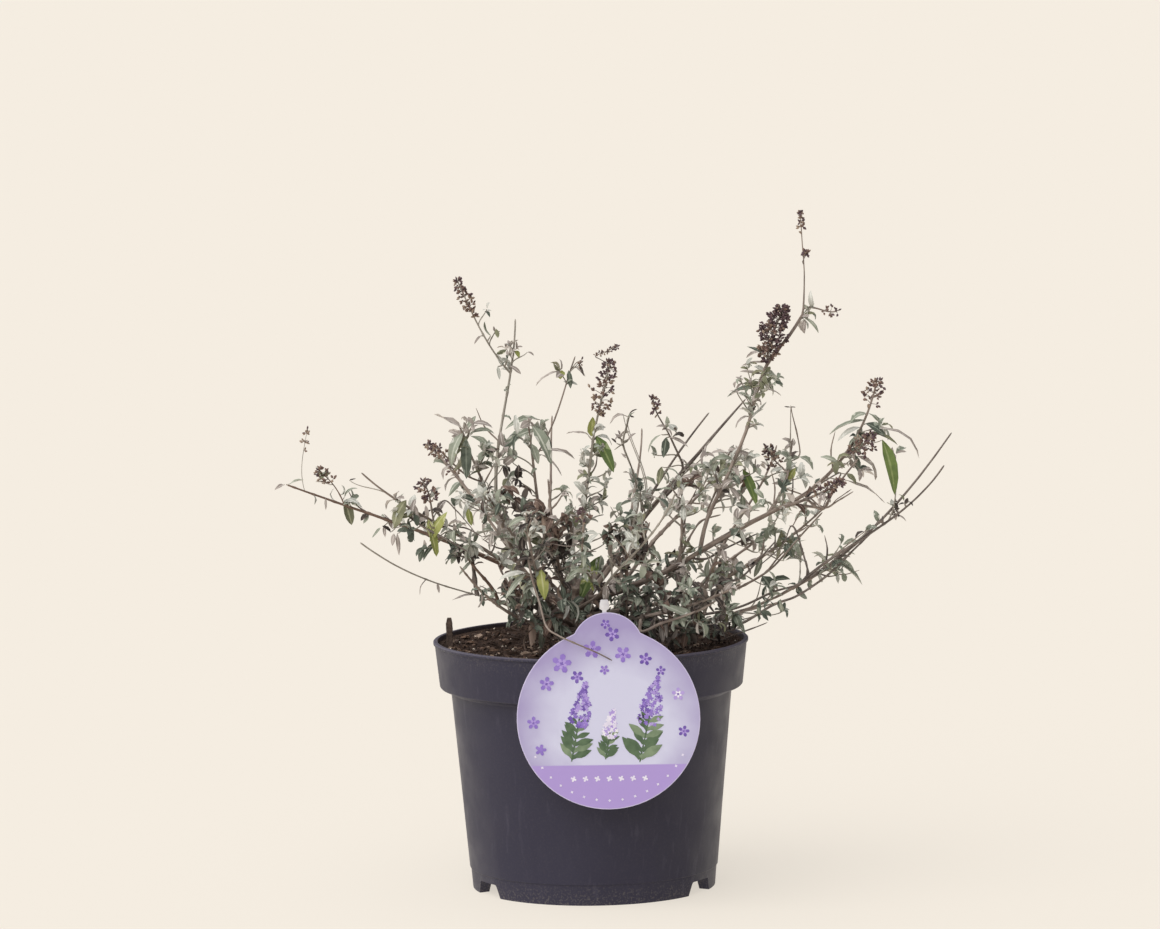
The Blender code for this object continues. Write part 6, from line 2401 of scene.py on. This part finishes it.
class Sprayer:
    """Sets leaves and tufts on twigs, wherever they find room."""

    def __init__(self, garden: Garden, palette: Palette, seed: str) -> None:
        """Takes the garden, the usual kinds of leaf and a seed.

        Args:
            garden: What it grows into.
            palette: The kinds of leaf.
            seed: Starts its random draws.
        """
        self.garden = garden
        self.palette = palette
        self.rng = random.Random(seed)

    def near(self, kind: Kind) -> Kind:
        """Mostly the spray's own kind of leaf, now and then another."""
        return kind if self.rng.random() < 0.72 else self.palette.deal(self.rng)

    def leaf(
        self, place: Vector, along: Vector, radius: float, out: Vector, length: float, kind: Kind
    ) -> bool:
        """One leaf that leaves a twig sideways and droops, if it finds room in a few tries.

        Low in the middle of the plant more of the leaves are dealt dark or dead: dead leaves, and painted
        shade where the plant shades itself.

        Args:
            place: Where it leaves its limb.
            along: The limb's direction there.
            radius: The limb's radius there.
            out: The way it points, square to the limb.
            length: About how long it is.
            kind: Its kind.

        Returns:
            True if it was set.
        """
        rng = self.rng
        # Painted shade: low in the middle, dark and dead kinds replace the dealt kind more often.
        depth = min(1.0, max(0.0, (205 * MM - place.z) / (45 * MM)))
        inner = math.hypot(place.x, place.y) < 80 * MM
        if rng.random() < 0.5 * depth * inner:
            kind = rng.choice((Kind.SHADE, Kind.UMBER, Kind.TAWNY))
        small = length < 10 * MM
        for attempt in range(5):
            spread = math.radians(rng.uniform(30, 95) if small else rng.uniform(38, 92))
            towards = along * math.cos(spread) + out * math.sin(spread)
            droop = math.radians(rng.gauss(8, 34) if small else rng.gauss(38, 24))
            level = Vector((towards.x, towards.y, 0))
            if level.length > 0.05:
                towards = Matrix.Rotation(-droop, 3, level.normalized().cross(Vector((0, 0, 1)))) @ towards
            size = length * rng.uniform(0.75, 1.2) * (1 - 0.12 * attempt)
            root = place + out * radius * 0.55
            tip = root + towards * size
            arch = rng.uniform(0.04, 0.34) if kind is not Kind.TAWNY else rng.uniform(0.12, 0.45)
            up = Vector((rng.uniform(-0.6, 0.6), rng.uniform(-0.9, 0.3), rng.uniform(0.4, 1.0)))
            lift = up.normalized() * arch * size
            shares = (0.35, 0.55, 0.78, 1.0)
            trial = [root.lerp(tip, share) + lift * share * (1 - share) * 4 for share in shares]
            if self.garden.skeleton.clear(trial) and not under_sky(tip) and not under_sky(trial[1]):
                slender = rng.uniform(0.24, 0.4) if size > 10 * MM else rng.uniform(0.36, 0.58)
                self.garden.leaves[kind].leaf(root, tip, up, size * slender, arch, rng, size > 8.5 * MM)
                return True
            out = Matrix.Rotation(math.radians(47), 3, along) @ out
        return False

    def tuft(
        self, place: Vector, along: Vector, radius: float, out: Vector, count: int, kind: Kind,
        size: float = 7,
    ) -> None:
        """A few small leaves in a leaf's axil, or at a twig's tip.

        Args:
            place: Where it leaves its limb.
            along: The limb's direction there.
            radius: The limb's radius there.
            out: The way it points, square to the limb.
            count: How many leaves.
            kind: Their usual kind.
            size: Their usual length in millimetres.
        """
        rng = self.rng
        for _ in range(count):
            way = (out + twisted(along, rng.uniform(0, math.tau)) * 0.7).normalized()
            self.leaf(place, along, radius, way, rng.uniform(0.6, 1.35) * size * MM, self.near(kind))

    def head(self, limb: Limb, head: Head) -> None:
        """A dry flower spike on a limb's last stretch: whorls of stalked clusters, widest under its middle.

        Args:
            limb: The limb that carries it.
            head: Its sizes.
        """
        rng = self.rng
        start = max(0.02, 1 - head.length * MM / limb.length())
        whorls = max(3, round(head.length / head.step))
        turn = rng.uniform(0, math.tau)
        for i in range(whorls):
            height = (i + 0.5) / whorls
            place, along, _ = limb.at(start + (1 - start) * height)
            wide = head.width / 2 * MM * min(1.0, 0.5 + 1.4 * height) * (1 - height**2.6 * 0.6)
            wide *= rng.uniform(0.75, 1.12)
            stalks = round(2.4 + 2.6 * head.fullness)
            for k in range(stalks):
                if rng.random() > (0.5 + 0.4 * head.fullness) * min(1.0, 0.55 + 1.5 * height):
                    continue
                out = twisted(along, turn + k * math.tau / stalks + rng.uniform(-0.4, 0.4))
                towards = (along * rng.uniform(0.1, 0.7) + out).normalized()
                tip = place + towards * max(0.5 * MM, (wide - 1.2 * MM) * rng.uniform(0.6, 1.0))
                points = [place, place.lerp(tip, 0.5) + along * 0.3 * MM, tip]
                stalk = Limb(points, [0.24 * MM, 0.2 * MM, 0.17 * MM])
                self.garden.stems[Coat.OLD].add_limb(stalk, 3, 0.0, 0.0)
                slot = 0 if rng.random() < head.dark * (0.05 + 1.3 * height) else rng.choice((1, 1, 2))
                slot = slot if head.dark else 2
                for _ in range(round(rng.uniform(2.0, 4.6) * head.fullness + 0.8)):
                    aside = twisted(towards, rng.uniform(0, math.tau)) * rng.uniform(0.2, 1.0)
                    way = (towards * 0.6 + aside).normalized()
                    size = rng.uniform(1.7, 2.9) * MM * head.capsule
                    own = slot if rng.random() < 0.75 else rng.choice((0, 1, 2))
                    root = place.lerp(tip, rng.uniform(0.55, 1.0)) + way * rng.uniform(0, 0.8) * MM
                    self.garden.heads.capsule(root, way, size, size * rng.uniform(0.5, 0.68), own)
            turn += math.pi / 4 + rng.uniform(-0.2, 0.2)
        place, along, _ = limb.at(0.99)
        self.garden.heads.capsule(place, along, 2.4 * MM, 1.2 * MM, 0)


class Grower(Sprayer):
    """Grows one mass on its limbs: twigs in crossed pairs, leaves in pairs and tufts, and seed heads."""

    def __init__(self, mass: Mass, limbs: list[Limb], garden: Garden) -> None:
        """Takes the mass and its limbs.

        Args:
            mass: The mass.
            limbs: Its stem and forks.
            garden: What it grows into.
        """
        self.mass = mass
        self.dress = mass.dress
        self.limbs = limbs
        self.heads = [mass.head, *(fork.head for fork in mass.forks)]
        super().__init__(garden, self.dress.palette, "leaves of " + mass.name)

    def twig(
        self, place: Vector, along: Vector, radius: float, out: Vector, share: float, kind: Kind
    ) -> None:
        """A side twig with leaf pairs along it and a small rosette at its tip.

        Args:
            place: Where it leaves its limb.
            along: The limb's direction there.
            radius: The limb's radius there.
            out: The way it points, square to the limb.
            share: The share of the stem where it leaves.
            kind: Its leaves' usual kind.
        """
        rng, dress = self.rng, self.dress
        towards = along * math.cos(TWIG_ANGLE) + out * math.sin(TWIG_ANGLE)
        reach = dress.reach * MM * rng.uniform(0.55, 1.25) * (1.15 - 0.4 * share)
        tip = place + towards * reach + Vector((0, 0, reach * rng.uniform(0.05, 0.35)))
        last = (tip - place + Vector((0, 0, reach * 0.5))).normalized()
        curve = bent(place, towards, tip, last, 6)
        if not self.garden.skeleton.clear(curve[2:]) or under_sky(tip):
            return
        size = min(0.62, 0.8 * radius / MM + 0.1) * MM
        limb = Limb(curve, [size * (1 - 0.45 * i / 6) for i in range(7)])
        step = rng.uniform(4.5, 6.5) * MM / max(limb.length(), 5 * MM)
        at, turn = step * 0.9, rng.uniform(0, math.tau)
        while at < 0.86:
            limb.nodes.append(at)
            spot, way, thick = limb.at(at)
            for half in (0, math.pi):
                side = twisted(way, turn + half)
                if rng.random() < 0.85:
                    size = dress.leaf * MM * rng.uniform(0.4, 0.95)
                    self.leaf(spot, way, thick, side, size, self.near(kind))
                if rng.random() < 0.4:
                    self.tuft(spot, way, thick, side, 1, kind)
            turn += math.pi / 2 + rng.uniform(-0.3, 0.3)
            at += step
        spot, way, thick = limb.at(0.98)
        for i in range(rng.choice((2, 3, 3, 4))):
            side = twisted(way, turn + i * math.radians(100))
            self.leaf(spot, way, thick, side, dress.leaf * MM * rng.uniform(0.35, 0.85), self.near(kind))
        self.tuft(spot, way, thick, twisted(way, turn + 0.6), rng.choice((1, 2, 3)), kind)
        coat = Coat.YOUNG if rng.random() < 0.6 else dress.coat
        self.garden.stems[coat].add_limb(limb, 5, 0.1, rng.uniform(0, 9))

    def bare(self, place: Vector, along: Vector, radius: float, out: Vector) -> None:
        """A dead side twig without leaves, kinked once.

        Args:
            place: Where it leaves its limb.
            along: The limb's direction there.
            radius: The limb's radius there.
            out: The way it points, square to the limb.
        """
        rng = self.rng
        towards = (along * math.cos(TWIG_ANGLE) + out * math.sin(TWIG_ANGLE)).normalized()
        reach = rng.uniform(10, 26) * MM
        bend = place + towards * reach * 0.5
        way = (towards + twisted(towards, rng.uniform(0, math.tau)) * 0.4 + Vector((0, 0, 0.3))).normalized()
        tip = bend + way * reach * 0.5
        points = [point for point, _ in threaded([place, bend, tip], 3 * MM)]
        if self.garden.skeleton.clear(points[2:]) and not under_sky(tip) and not under_sky(bend):
            size = min(0.55 * MM, radius * 0.7)
            radii = [size * (1 - 0.5 * i / (len(points) - 1)) for i in range(len(points))]
            limb = Limb(points, radii, [0.3, 0.52, 0.8])
            self.garden.stems[rng.choice((Coat.TAN, Coat.OLD))].add_limb(limb, 5, 0.12, rng.uniform(0, 9))

    def dress_limb(self, limb: Limb, first: float, last: float, main: bool) -> None:
        """Nodes along a limb, each with a crossed pair of leaves or twigs, and tufts in their axils.

        Args:
            limb: The stem or fork.
            first: The share of it where leaves start.
            last: Where they end.
            main: True for the stem, which alone has side twigs.
        """
        rng, dress = self.rng, self.dress
        density = dress.density * (1 if main else dress.forks)
        length = limb.length() / MM
        turn = rng.uniform(0, math.tau)
        at = first * length + rng.uniform(1, 4)
        while at < last * length:
            share = at / length
            place, along, radius = limb.at(share)
            limb.nodes.append(share)
            kind = dress.palette.deal(rng)
            for half in (0, math.pi):
                out = twisted(along, turn + half + rng.uniform(-0.25, 0.25))
                chance = rng.random()
                if main and chance < dress.twigs * min(1.2, density):
                    self.twig(place, along, radius, out, share, kind)
                elif chance < dress.twigs + 0.55 * min(1.0, density):
                    size = dress.leaf * MM * rng.uniform(0.7, 1.2)
                    self.leaf(place, along, radius, out, size, self.near(kind))
                if rng.random() < 0.6 * density:
                    self.tuft(place, along, radius, out, rng.choice((1, 2, 2, 3)), kind)
            if main and share < 0.75 and rng.random() < 0.3:
                self.bare(place, along, radius, twisted(along, rng.uniform(0, math.tau)))
            turn += math.pi / 2 + rng.uniform(-0.35, 0.35)
            at += (12.5 - 5.5 * share) / max(0.6, density) ** 0.6 * rng.uniform(0.8, 1.2)

    def first_share(self) -> float:
        """The share of the stem at which it comes out of its bough or of the foot.

        Returns:
            The share, from 0 to 1.
        """
        stem = self.limbs[0]
        if self.mass.bough and not self.mass.back:
            return 0.0
        if self.mass.bough:
            return 0.4 * self.garden.skeleton.boughs[self.mass.bough].at(0.9)[2] / stem.length()
        for i in range(60):
            place, _, _ = stem.at(i / 60)
            rise = place.z - FOOT_PLACE.z
            if math.hypot(place.x - FOOT_PLACE.x, place.y) > 9.5 * MM - 0.12 * rise or rise > 34 * MM:
                return max(0.0, (i - 1) / 60)
        return 0.5

    def grow(self) -> None:
        """All of the mass."""
        rng, dress, stem = self.rng, self.dress, self.limbs[0]
        first = self.first_share()
        pairs = list(zip(self.limbs, self.heads))
        taken = [head.length * MM / limb.length() if head else 0 for limb, head in pairs]
        self.dress_limb(stem, max(dress.span[0], first + 0.04), min(dress.span[1], 0.97 - taken[0]), True)
        for limb, used in zip(self.limbs[1:], taken[1:]):
            if dress.forks > 0:
                self.dress_limb(limb, 0.15, 0.95 - used, False)
        for limb, head in pairs:
            if head:
                self.head(limb, head)
        stems = self.garden.stems[dress.coat]
        stems.add_limb(stem.trimmed(first, 1.3 * MM), 8, 0.16, rng.uniform(0, 9))
        for limb in self.limbs[1:]:
            stems = self.garden.stems[Coat.YOUNG if limb.radii[0] < 0.25 * MM else dress.coat]
            stems.add_limb(limb.trimmed(0, 1.3 * MM), 6, 0.14, rng.uniform(0, 9))


class HandWork(Sprayer):
    """The single leaves, tufts and bare twigs that are listed in the tables, each on the limb that is
    nearest.
    """

    def __init__(self, garden: Garden) -> None:
        """Takes the garden."""
        super().__init__(garden, GREY, "set by hand")
        self.ends: list = []

    def carry(self, root: Vector, coat: Coat, size: float) -> tuple:
        """Grows a fine twig from the nearest limb to a place that is on no limb or earlier twig.

        Args:
            root: The place to reach.
            coat: The twig's bark.
            size: The twig's greatest radius.

        Returns:
            The direction in which the twig, or the limb, arrives there, and its radius.
        """
        _, index, distance = self.garden.skeleton.tree.find(root)
        limb, share, _, along, radius = self.garden.skeleton.spots[index]
        for end, way in self.ends:
            if (end - root).length < 3 * MM:
                return way, size
        gap = distance - radius
        if gap < 0.8 * MM:
            return along, radius
        start, along, radius = limb.at(max(0.02, share - 0.9 * gap / limb.length()))
        out = (root - start).normalized()
        count = max(6, round((root - start).length / (2 * MM)))
        last = (out + Vector((0, 0, 0.35))).normalized()
        curve = bent(start, (along + out).normalized(), root, last, count)
        size = min(size, radius * 0.8)
        radii = [size * (1 - 0.4 * i / count) for i in range(count + 1)]
        self.garden.stems[coat].add_limb(Limb(curve, radii, [0.5, 0.97]), 5, 0.12, self.rng.uniform(0, 9))
        way = (curve[-1] - curve[-2]).normalized()
        self.ends.append((root, way))
        return way, size * 0.6

    def set_leaf(self, kind: Kind, row: Sequence[float]) -> None:
        """One leaf, from a row of its table.

        Args:
            kind: The leaf's kind.
            row: Root, tip, width and arch, in millimetres.
        """
        root, tip = Vector(row[:3]) * MM, Vector(row[3:6]) * MM
        width, arch = row[6:]
        self.carry(root, Coat.YOUNG, 0.42 * MM)
        broad = (tip - root).length > 7 * MM
        self.garden.leaves[kind].leaf(root, tip, Vector((0, -0.55, 0.85)), width * MM, arch, self.rng, broad)

    def set_tuft(self, kind: Kind, row: Sequence[float]) -> None:
        """One cluster from a row of its table, spread round the last stretch of its twig.

        Args:
            kind: The leaves' kind.
            row: Place, count and length, in millimetres.
        """
        root = Vector(row[:3]) * MM
        count, size = row[3:]
        way, radius = self.carry(root, Coat.YOUNG, 0.5 * MM)
        for i in range(count):
            place = root + way * self.rng.uniform(-2.5, 1.5) * MM
            out = twisted(way, i * 2.4 + self.rng.uniform(-0.5, 0.5))
            self.leaf(place, way, radius, out, size * MM * self.rng.uniform(0.65, 1.3), self.near(kind))

    def set_twig(self, twig: Twig) -> Limb:
        """One bare twig through its places, tapering to its tip.

        Args:
            twig: The twig.

        Returns:
            The limb that was made.
        """
        places = [Vector(place) * MM for place in twig.places]
        _, index, gap = self.garden.skeleton.tree.find(places[0])
        limb, share, place, _, _ = self.garden.skeleton.spots[index]
        if gap > 0.5 * MM:
            places.insert(0, limb.at(max(0.02, share - 0.8 * gap / limb.length()))[0])
        points = [point for point, _ in threaded(places, 1.6 * MM)]
        size = twig.radius * MM
        radii = [size * (1 - 0.45 * i / (len(points) - 1)) for i in range(len(points))]
        limb = Limb(points, radii, [self.rng.uniform(0.1, 0.95) for _ in range(3)])
        self.garden.stems[twig.coat].add_limb(limb, 6, 0.14, self.rng.uniform(0, 9))
        return limb

    def set_all(self) -> None:
        """Everything in the tables."""
        for twig in SET_TWIGS:
            self.set_twig(twig)
        for twig, head in SET_SPIKES:
            self.head(self.set_twig(twig), head)
        for kind, rows in SET_LEAVES.items():
            for row in rows:
                self.set_leaf(kind, row)
        for kind, rows in SET_TUFTS.items():
            for row in rows:
                self.set_tuft(kind, row)


@dataclass
class WoodyFoot:
    """The stubby foot with old pruning stubs, and the boughs, carved as one piece of wood."""

    height: float = 34 * MM
    radius: float = 12.5 * MM
    top_radius: float = 7.0 * MM
    voxel: float = 0.5 * MM
    relief: float = 0.36 * MM
    stubs: tuple = (
        (200, 24, 60, 13, 3.4), (320, 20, 38, 12, 3.0), (95, 26, 55, 14, 3.2), (20, 30, 72, 12, 3.6),
        (265, 28, 66, 11, 2.6),
    )
    finish: Bark = Bark("bark_wood", "7b6c62", "372d28", "a2948a", 0.9, 0.45)

    def build_block(self) -> bpy.types.Object:
        """The foot itself: a cylinder, drawn in ring by ring and pulled into lobes where stems leave it.

        Returns:
            The piece, in object mode.
        """
        bpy.ops.object.select_all(action="DESELECT")
        place = FOOT_PLACE + Vector((0, 0, 2 * MM))
        bpy.ops.mesh.primitive_cylinder_add(vertices=24, radius=self.radius, depth=4.6 * MM, location=place)
        block = Bench.named("foot_block")
        Bench.edit(block)
        rings, top = 6, FOOT_PLACE.z + 4.3 * MM
        for ring in range(rings):
            Bench.pick(block, lambda spot: spot.z > top - 0.1 * MM)
            rise = (self.height - 4.3 * MM) / rings
            before = self.radius + (self.top_radius - self.radius) * ring / rings
            after = self.radius + (self.top_radius - self.radius) * (ring + 1) / rings
            top += rise
            Bench.drawn((0, 0, rise), (after / before, after / before, 1), (FOOT_PLACE.x, FOOT_PLACE.y, top))
        Bench.leave()
        for vertex in block.data.vertices:
            offset = vertex.co - FOOT_PLACE
            angle = math.atan2(offset.y, offset.x)
            lobes = 1 + 0.1 * math.sin(5 * angle + 0.6) + 0.06 * math.sin(3 * angle + 2 + offset.z * 60)
            vertex.co.x = FOOT_PLACE.x + offset.x * lobes
            vertex.co.y = FOOT_PLACE.y + offset.y * lobes
        return block

    def build_limb(self, name: str, limb: Limb) -> bpy.types.Object:
        """A bough: a wire along its curve, turned into a round tube of its radii, with closed ends.

        Args:
            name: The piece's name.
            limb: Its curve and radii.

        Returns:
            The piece, in object mode.
        """
        Bench.traced(name, [tuple(point) for point in limb.points])
        Bench.leave()
        bpy.ops.object.convert(target="CURVE")
        curve = bpy.context.object
        curve.data.bevel_depth = 1.0
        curve.data.bevel_resolution = 4
        curve.data.use_fill_caps = True
        for point, radius in zip(curve.data.splines[0].points, limb.radii):
            point.radius = radius
        bpy.ops.object.convert(target="MESH")
        return bpy.context.object

    def build_stubs(self) -> list[bpy.types.Object]:
        """Short pruning stubs on the foot: cones with a swollen base and a cut top.

        Returns:
            The stubs.
        """
        stubs = []
        for angle, rise, lean, reach, thick in self.stubs:
            out = slope(Vector((math.cos(math.radians(angle)), math.sin(math.radians(angle)), 0)), lean)
            start = FOOT_PLACE + Vector((0, 0, rise * MM)) + out * 2 * MM
            limb = Limb(
                [start + out * reach * MM * i / 6 for i in range(7)],
                [thick * MM * size for size in (1.35, 1.15, 1.0, 0.96, 0.95, 1.02, 0.98)],
            )
            stubs.append(self.build_limb("stub", limb))
        return stubs

    def grained(self, wood: bpy.types.Object, limbs: list[Limb]) -> None:
        """Carves the bark's relief along each limb, and keeps the grain for the finish.

        Args:
            wood: The remeshed piece.
            limbs: The foot's and the boughs' limbs.
        """
        tree = KDTree(sum(len(limb.points) * 4 for limb in limbs))
        spots, runs = [], []
        for number, limb in enumerate(limbs):
            count = len(limb.points) * 4
            reach = limb.length()
            for i in range(count):
                place, along, radius = limb.at(i / (count - 1))
                tree.insert(place, len(spots))
                spots.append((place, along, along.orthogonal().normalized(), radius))
                runs.append((number * 0.31, i / (count - 1) * reach))
        tree.balance()
        mesh = wood.data
        mesh.update()
        normals = [vertex.normal.copy() for vertex in mesh.vertices]
        grain = np.empty((len(mesh.vertices), 3), dtype=np.float32)
        for i, vertex in enumerate(mesh.vertices):
            _, index, _ = tree.find(vertex.co)
            place, along, side, radius = spots[index]
            shift, run = runs[index]
            offset = vertex.co - place
            run += offset.dot(along)
            u = offset.dot(side) + shift
            v = offset.dot(along.cross(side))
            grain[i] = (u, v, run)
            ridge = noise.noise(Vector((u * 520, v * 520, run * 95)))
            crack = max(0.0, noise.noise(Vector((u * 900 + 7, v * 900, run * 110))) - 0.18)
            knob = noise.noise(Vector((u * 160, v * 160, run * 120 + 3)))
            depth = self.relief * min(1.0, 0.45 + radius / (5 * MM))
            vertex.co += normals[i] * depth * (ridge * 0.9 + knob * 0.8 - crack * 1.6)
        mesh.update()
        mesh.attributes.new("grain", "FLOAT_VECTOR", "POINT").data.foreach_set("vector", grain.ravel())

    def build(self, skeleton: Skeleton) -> None:
        """The foot and boughs: their bodies joined, remeshed into one skin, smoothed and carved.

        Args:
            skeleton: The plant's limbs.
        """
        block = self.build_block()
        middle = [FOOT_PLACE + Vector((0, 0, self.height * i / 8)) for i in range(9)]
        limbs = [Limb(middle, [self.radius] * 9), *skeleton.boughs.values()]
        bodies = [self.build_limb(name, limb) for name, limb in skeleton.boughs.items()]
        wood = Bench.joined("woody_limbs", [block, *bodies, *self.build_stubs()])
        Bench.modify(wood, "REMESH", mode="VOXEL", voxel_size=self.voxel, adaptivity=0.0)
        Bench.modify(wood, "SMOOTH", factor=0.5, iterations=4)
        self.grained(wood, limbs)
        Bench.smooth(wood, 70)
        Bench.coated(wood, self.finish)
        hand_over(wood, ["woody_foot", *skeleton.boughs])


@dataclass(frozen=True)
class Studio:
    """A pale floor without an edge, lit from below too, soft light from the left, and the photo's camera."""

    paper: str = "8a867f"
    glow: str = "f5ede1"
    floor_radius: float = 60.0
    ambient: float = 0.18
    dome: float = 2.2
    key: float = 1.4
    lens: float = 166.08
    pitch: float = -5.946
    roll: float = -0.831

    def build_floor(self) -> None:
        """The floor, a wide disc drawn out of a small one."""
        bpy.ops.object.select_all(action="DESELECT")
        bpy.ops.mesh.primitive_circle_add(vertices=96, radius=2, fill_type="NGON", location=(0, 0, 0))
        floor = Bench.named("studio_floor")
        Bench.edit(floor, "FACE")
        bpy.ops.mesh.select_all(action="SELECT")
        bpy.ops.mesh.inset(thickness=0.5)
        Bench.pick(floor, lambda place: place.length > 1.9)
        scale = self.floor_radius / 2
        bpy.ops.transform.resize(value=(scale, scale, 1), center_override=(0, 0, 0))
        Bench.leave()
        s = Shading("studio_paper", self.paper, 1.0, specular_ior_level=0.0)
        s.link(s.mixed(s.stretch(s.noise(900, 2), 0.3, 0.7, 0, 0.06), self.paper, "87827a"), "Base Color")
        s.set("Emission Color", linear(self.glow))
        s.set("Emission Strength", 0.7)
        floor.data.materials.append(s.material)

    def sun(
        self, name: str, strength: float, across: float, height: float, width: float, colour: str
    ) -> None:
        """A distant soft light from an azimuth and elevation in degrees.

        Args:
            name: The light's name.
            strength: Its strength.
            across: Its azimuth.
            height: Its elevation.
            width: How wide it looks, in degrees.
            colour: Its colour.
        """
        light = bpy.data.lights.new(name, "SUN")
        light.energy = strength
        light.angle = math.radians(width)
        light.color = linear(colour)[:3]
        lamp = bpy.data.objects.new(name, light)
        lamp.rotation_euler = (math.radians(90 - height), 0, math.radians(across))
        bpy.context.collection.objects.link(lamp)

    def build(self) -> None:
        """The floor, the lights and the camera."""
        self.build_floor()
        world = bpy.data.worlds.new("studio_air")
        world.use_nodes = True
        air = world.node_tree.nodes["Background"]
        air.inputs["Color"].default_value = linear("fbfafa")
        air.inputs["Strength"].default_value = self.ambient
        bpy.context.scene.world = world
        self.sun("dome_light", self.dome, -78, 52, 150, "fdfcff")
        self.sun("key_light", self.key, -45, 50, 64, "fffdf8")
        camera = bpy.data.cameras.new("photo_camera")
        camera.lens = self.lens
        camera.sensor_width = 36
        camera.clip_end = 200
        holder = bpy.data.objects.new("photo_camera", camera)
        holder.location = (EYE[0], -EYE[1], EYE[2])
        turn = Matrix.Rotation(math.radians(90 + self.pitch), 4, "X")
        turn = turn @ Matrix.Rotation(math.radians(self.roll), 4, "Z")
        holder.rotation_euler = turn.to_euler()
        bpy.context.collection.objects.link(holder)
        bpy.context.scene.camera = holder
        bpy.context.scene.view_settings.view_transform = "Standard"


def main() -> None:
    """Builds the pot, its soil and label, the wood and all that grows on it, and the studio round them."""
    logging.basicConfig(level=logging.INFO, format="%(message)s")
    bpy.ops.object.select_all(action="DESELECT")
    NurseryPot().build()
    PotSoil().build()
    PlantLabel().build()
    skeleton = Skeleton()
    WoodyFoot().build(skeleton)
    garden = Garden(skeleton)
    for mass in MASSES:
        Grower(mass, skeleton.shoots[mass.name], garden).grow()
    HandWork(garden).set_all()
    garden.build()
    Studio().build()
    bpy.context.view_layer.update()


if __name__ == "__main__":
    main()
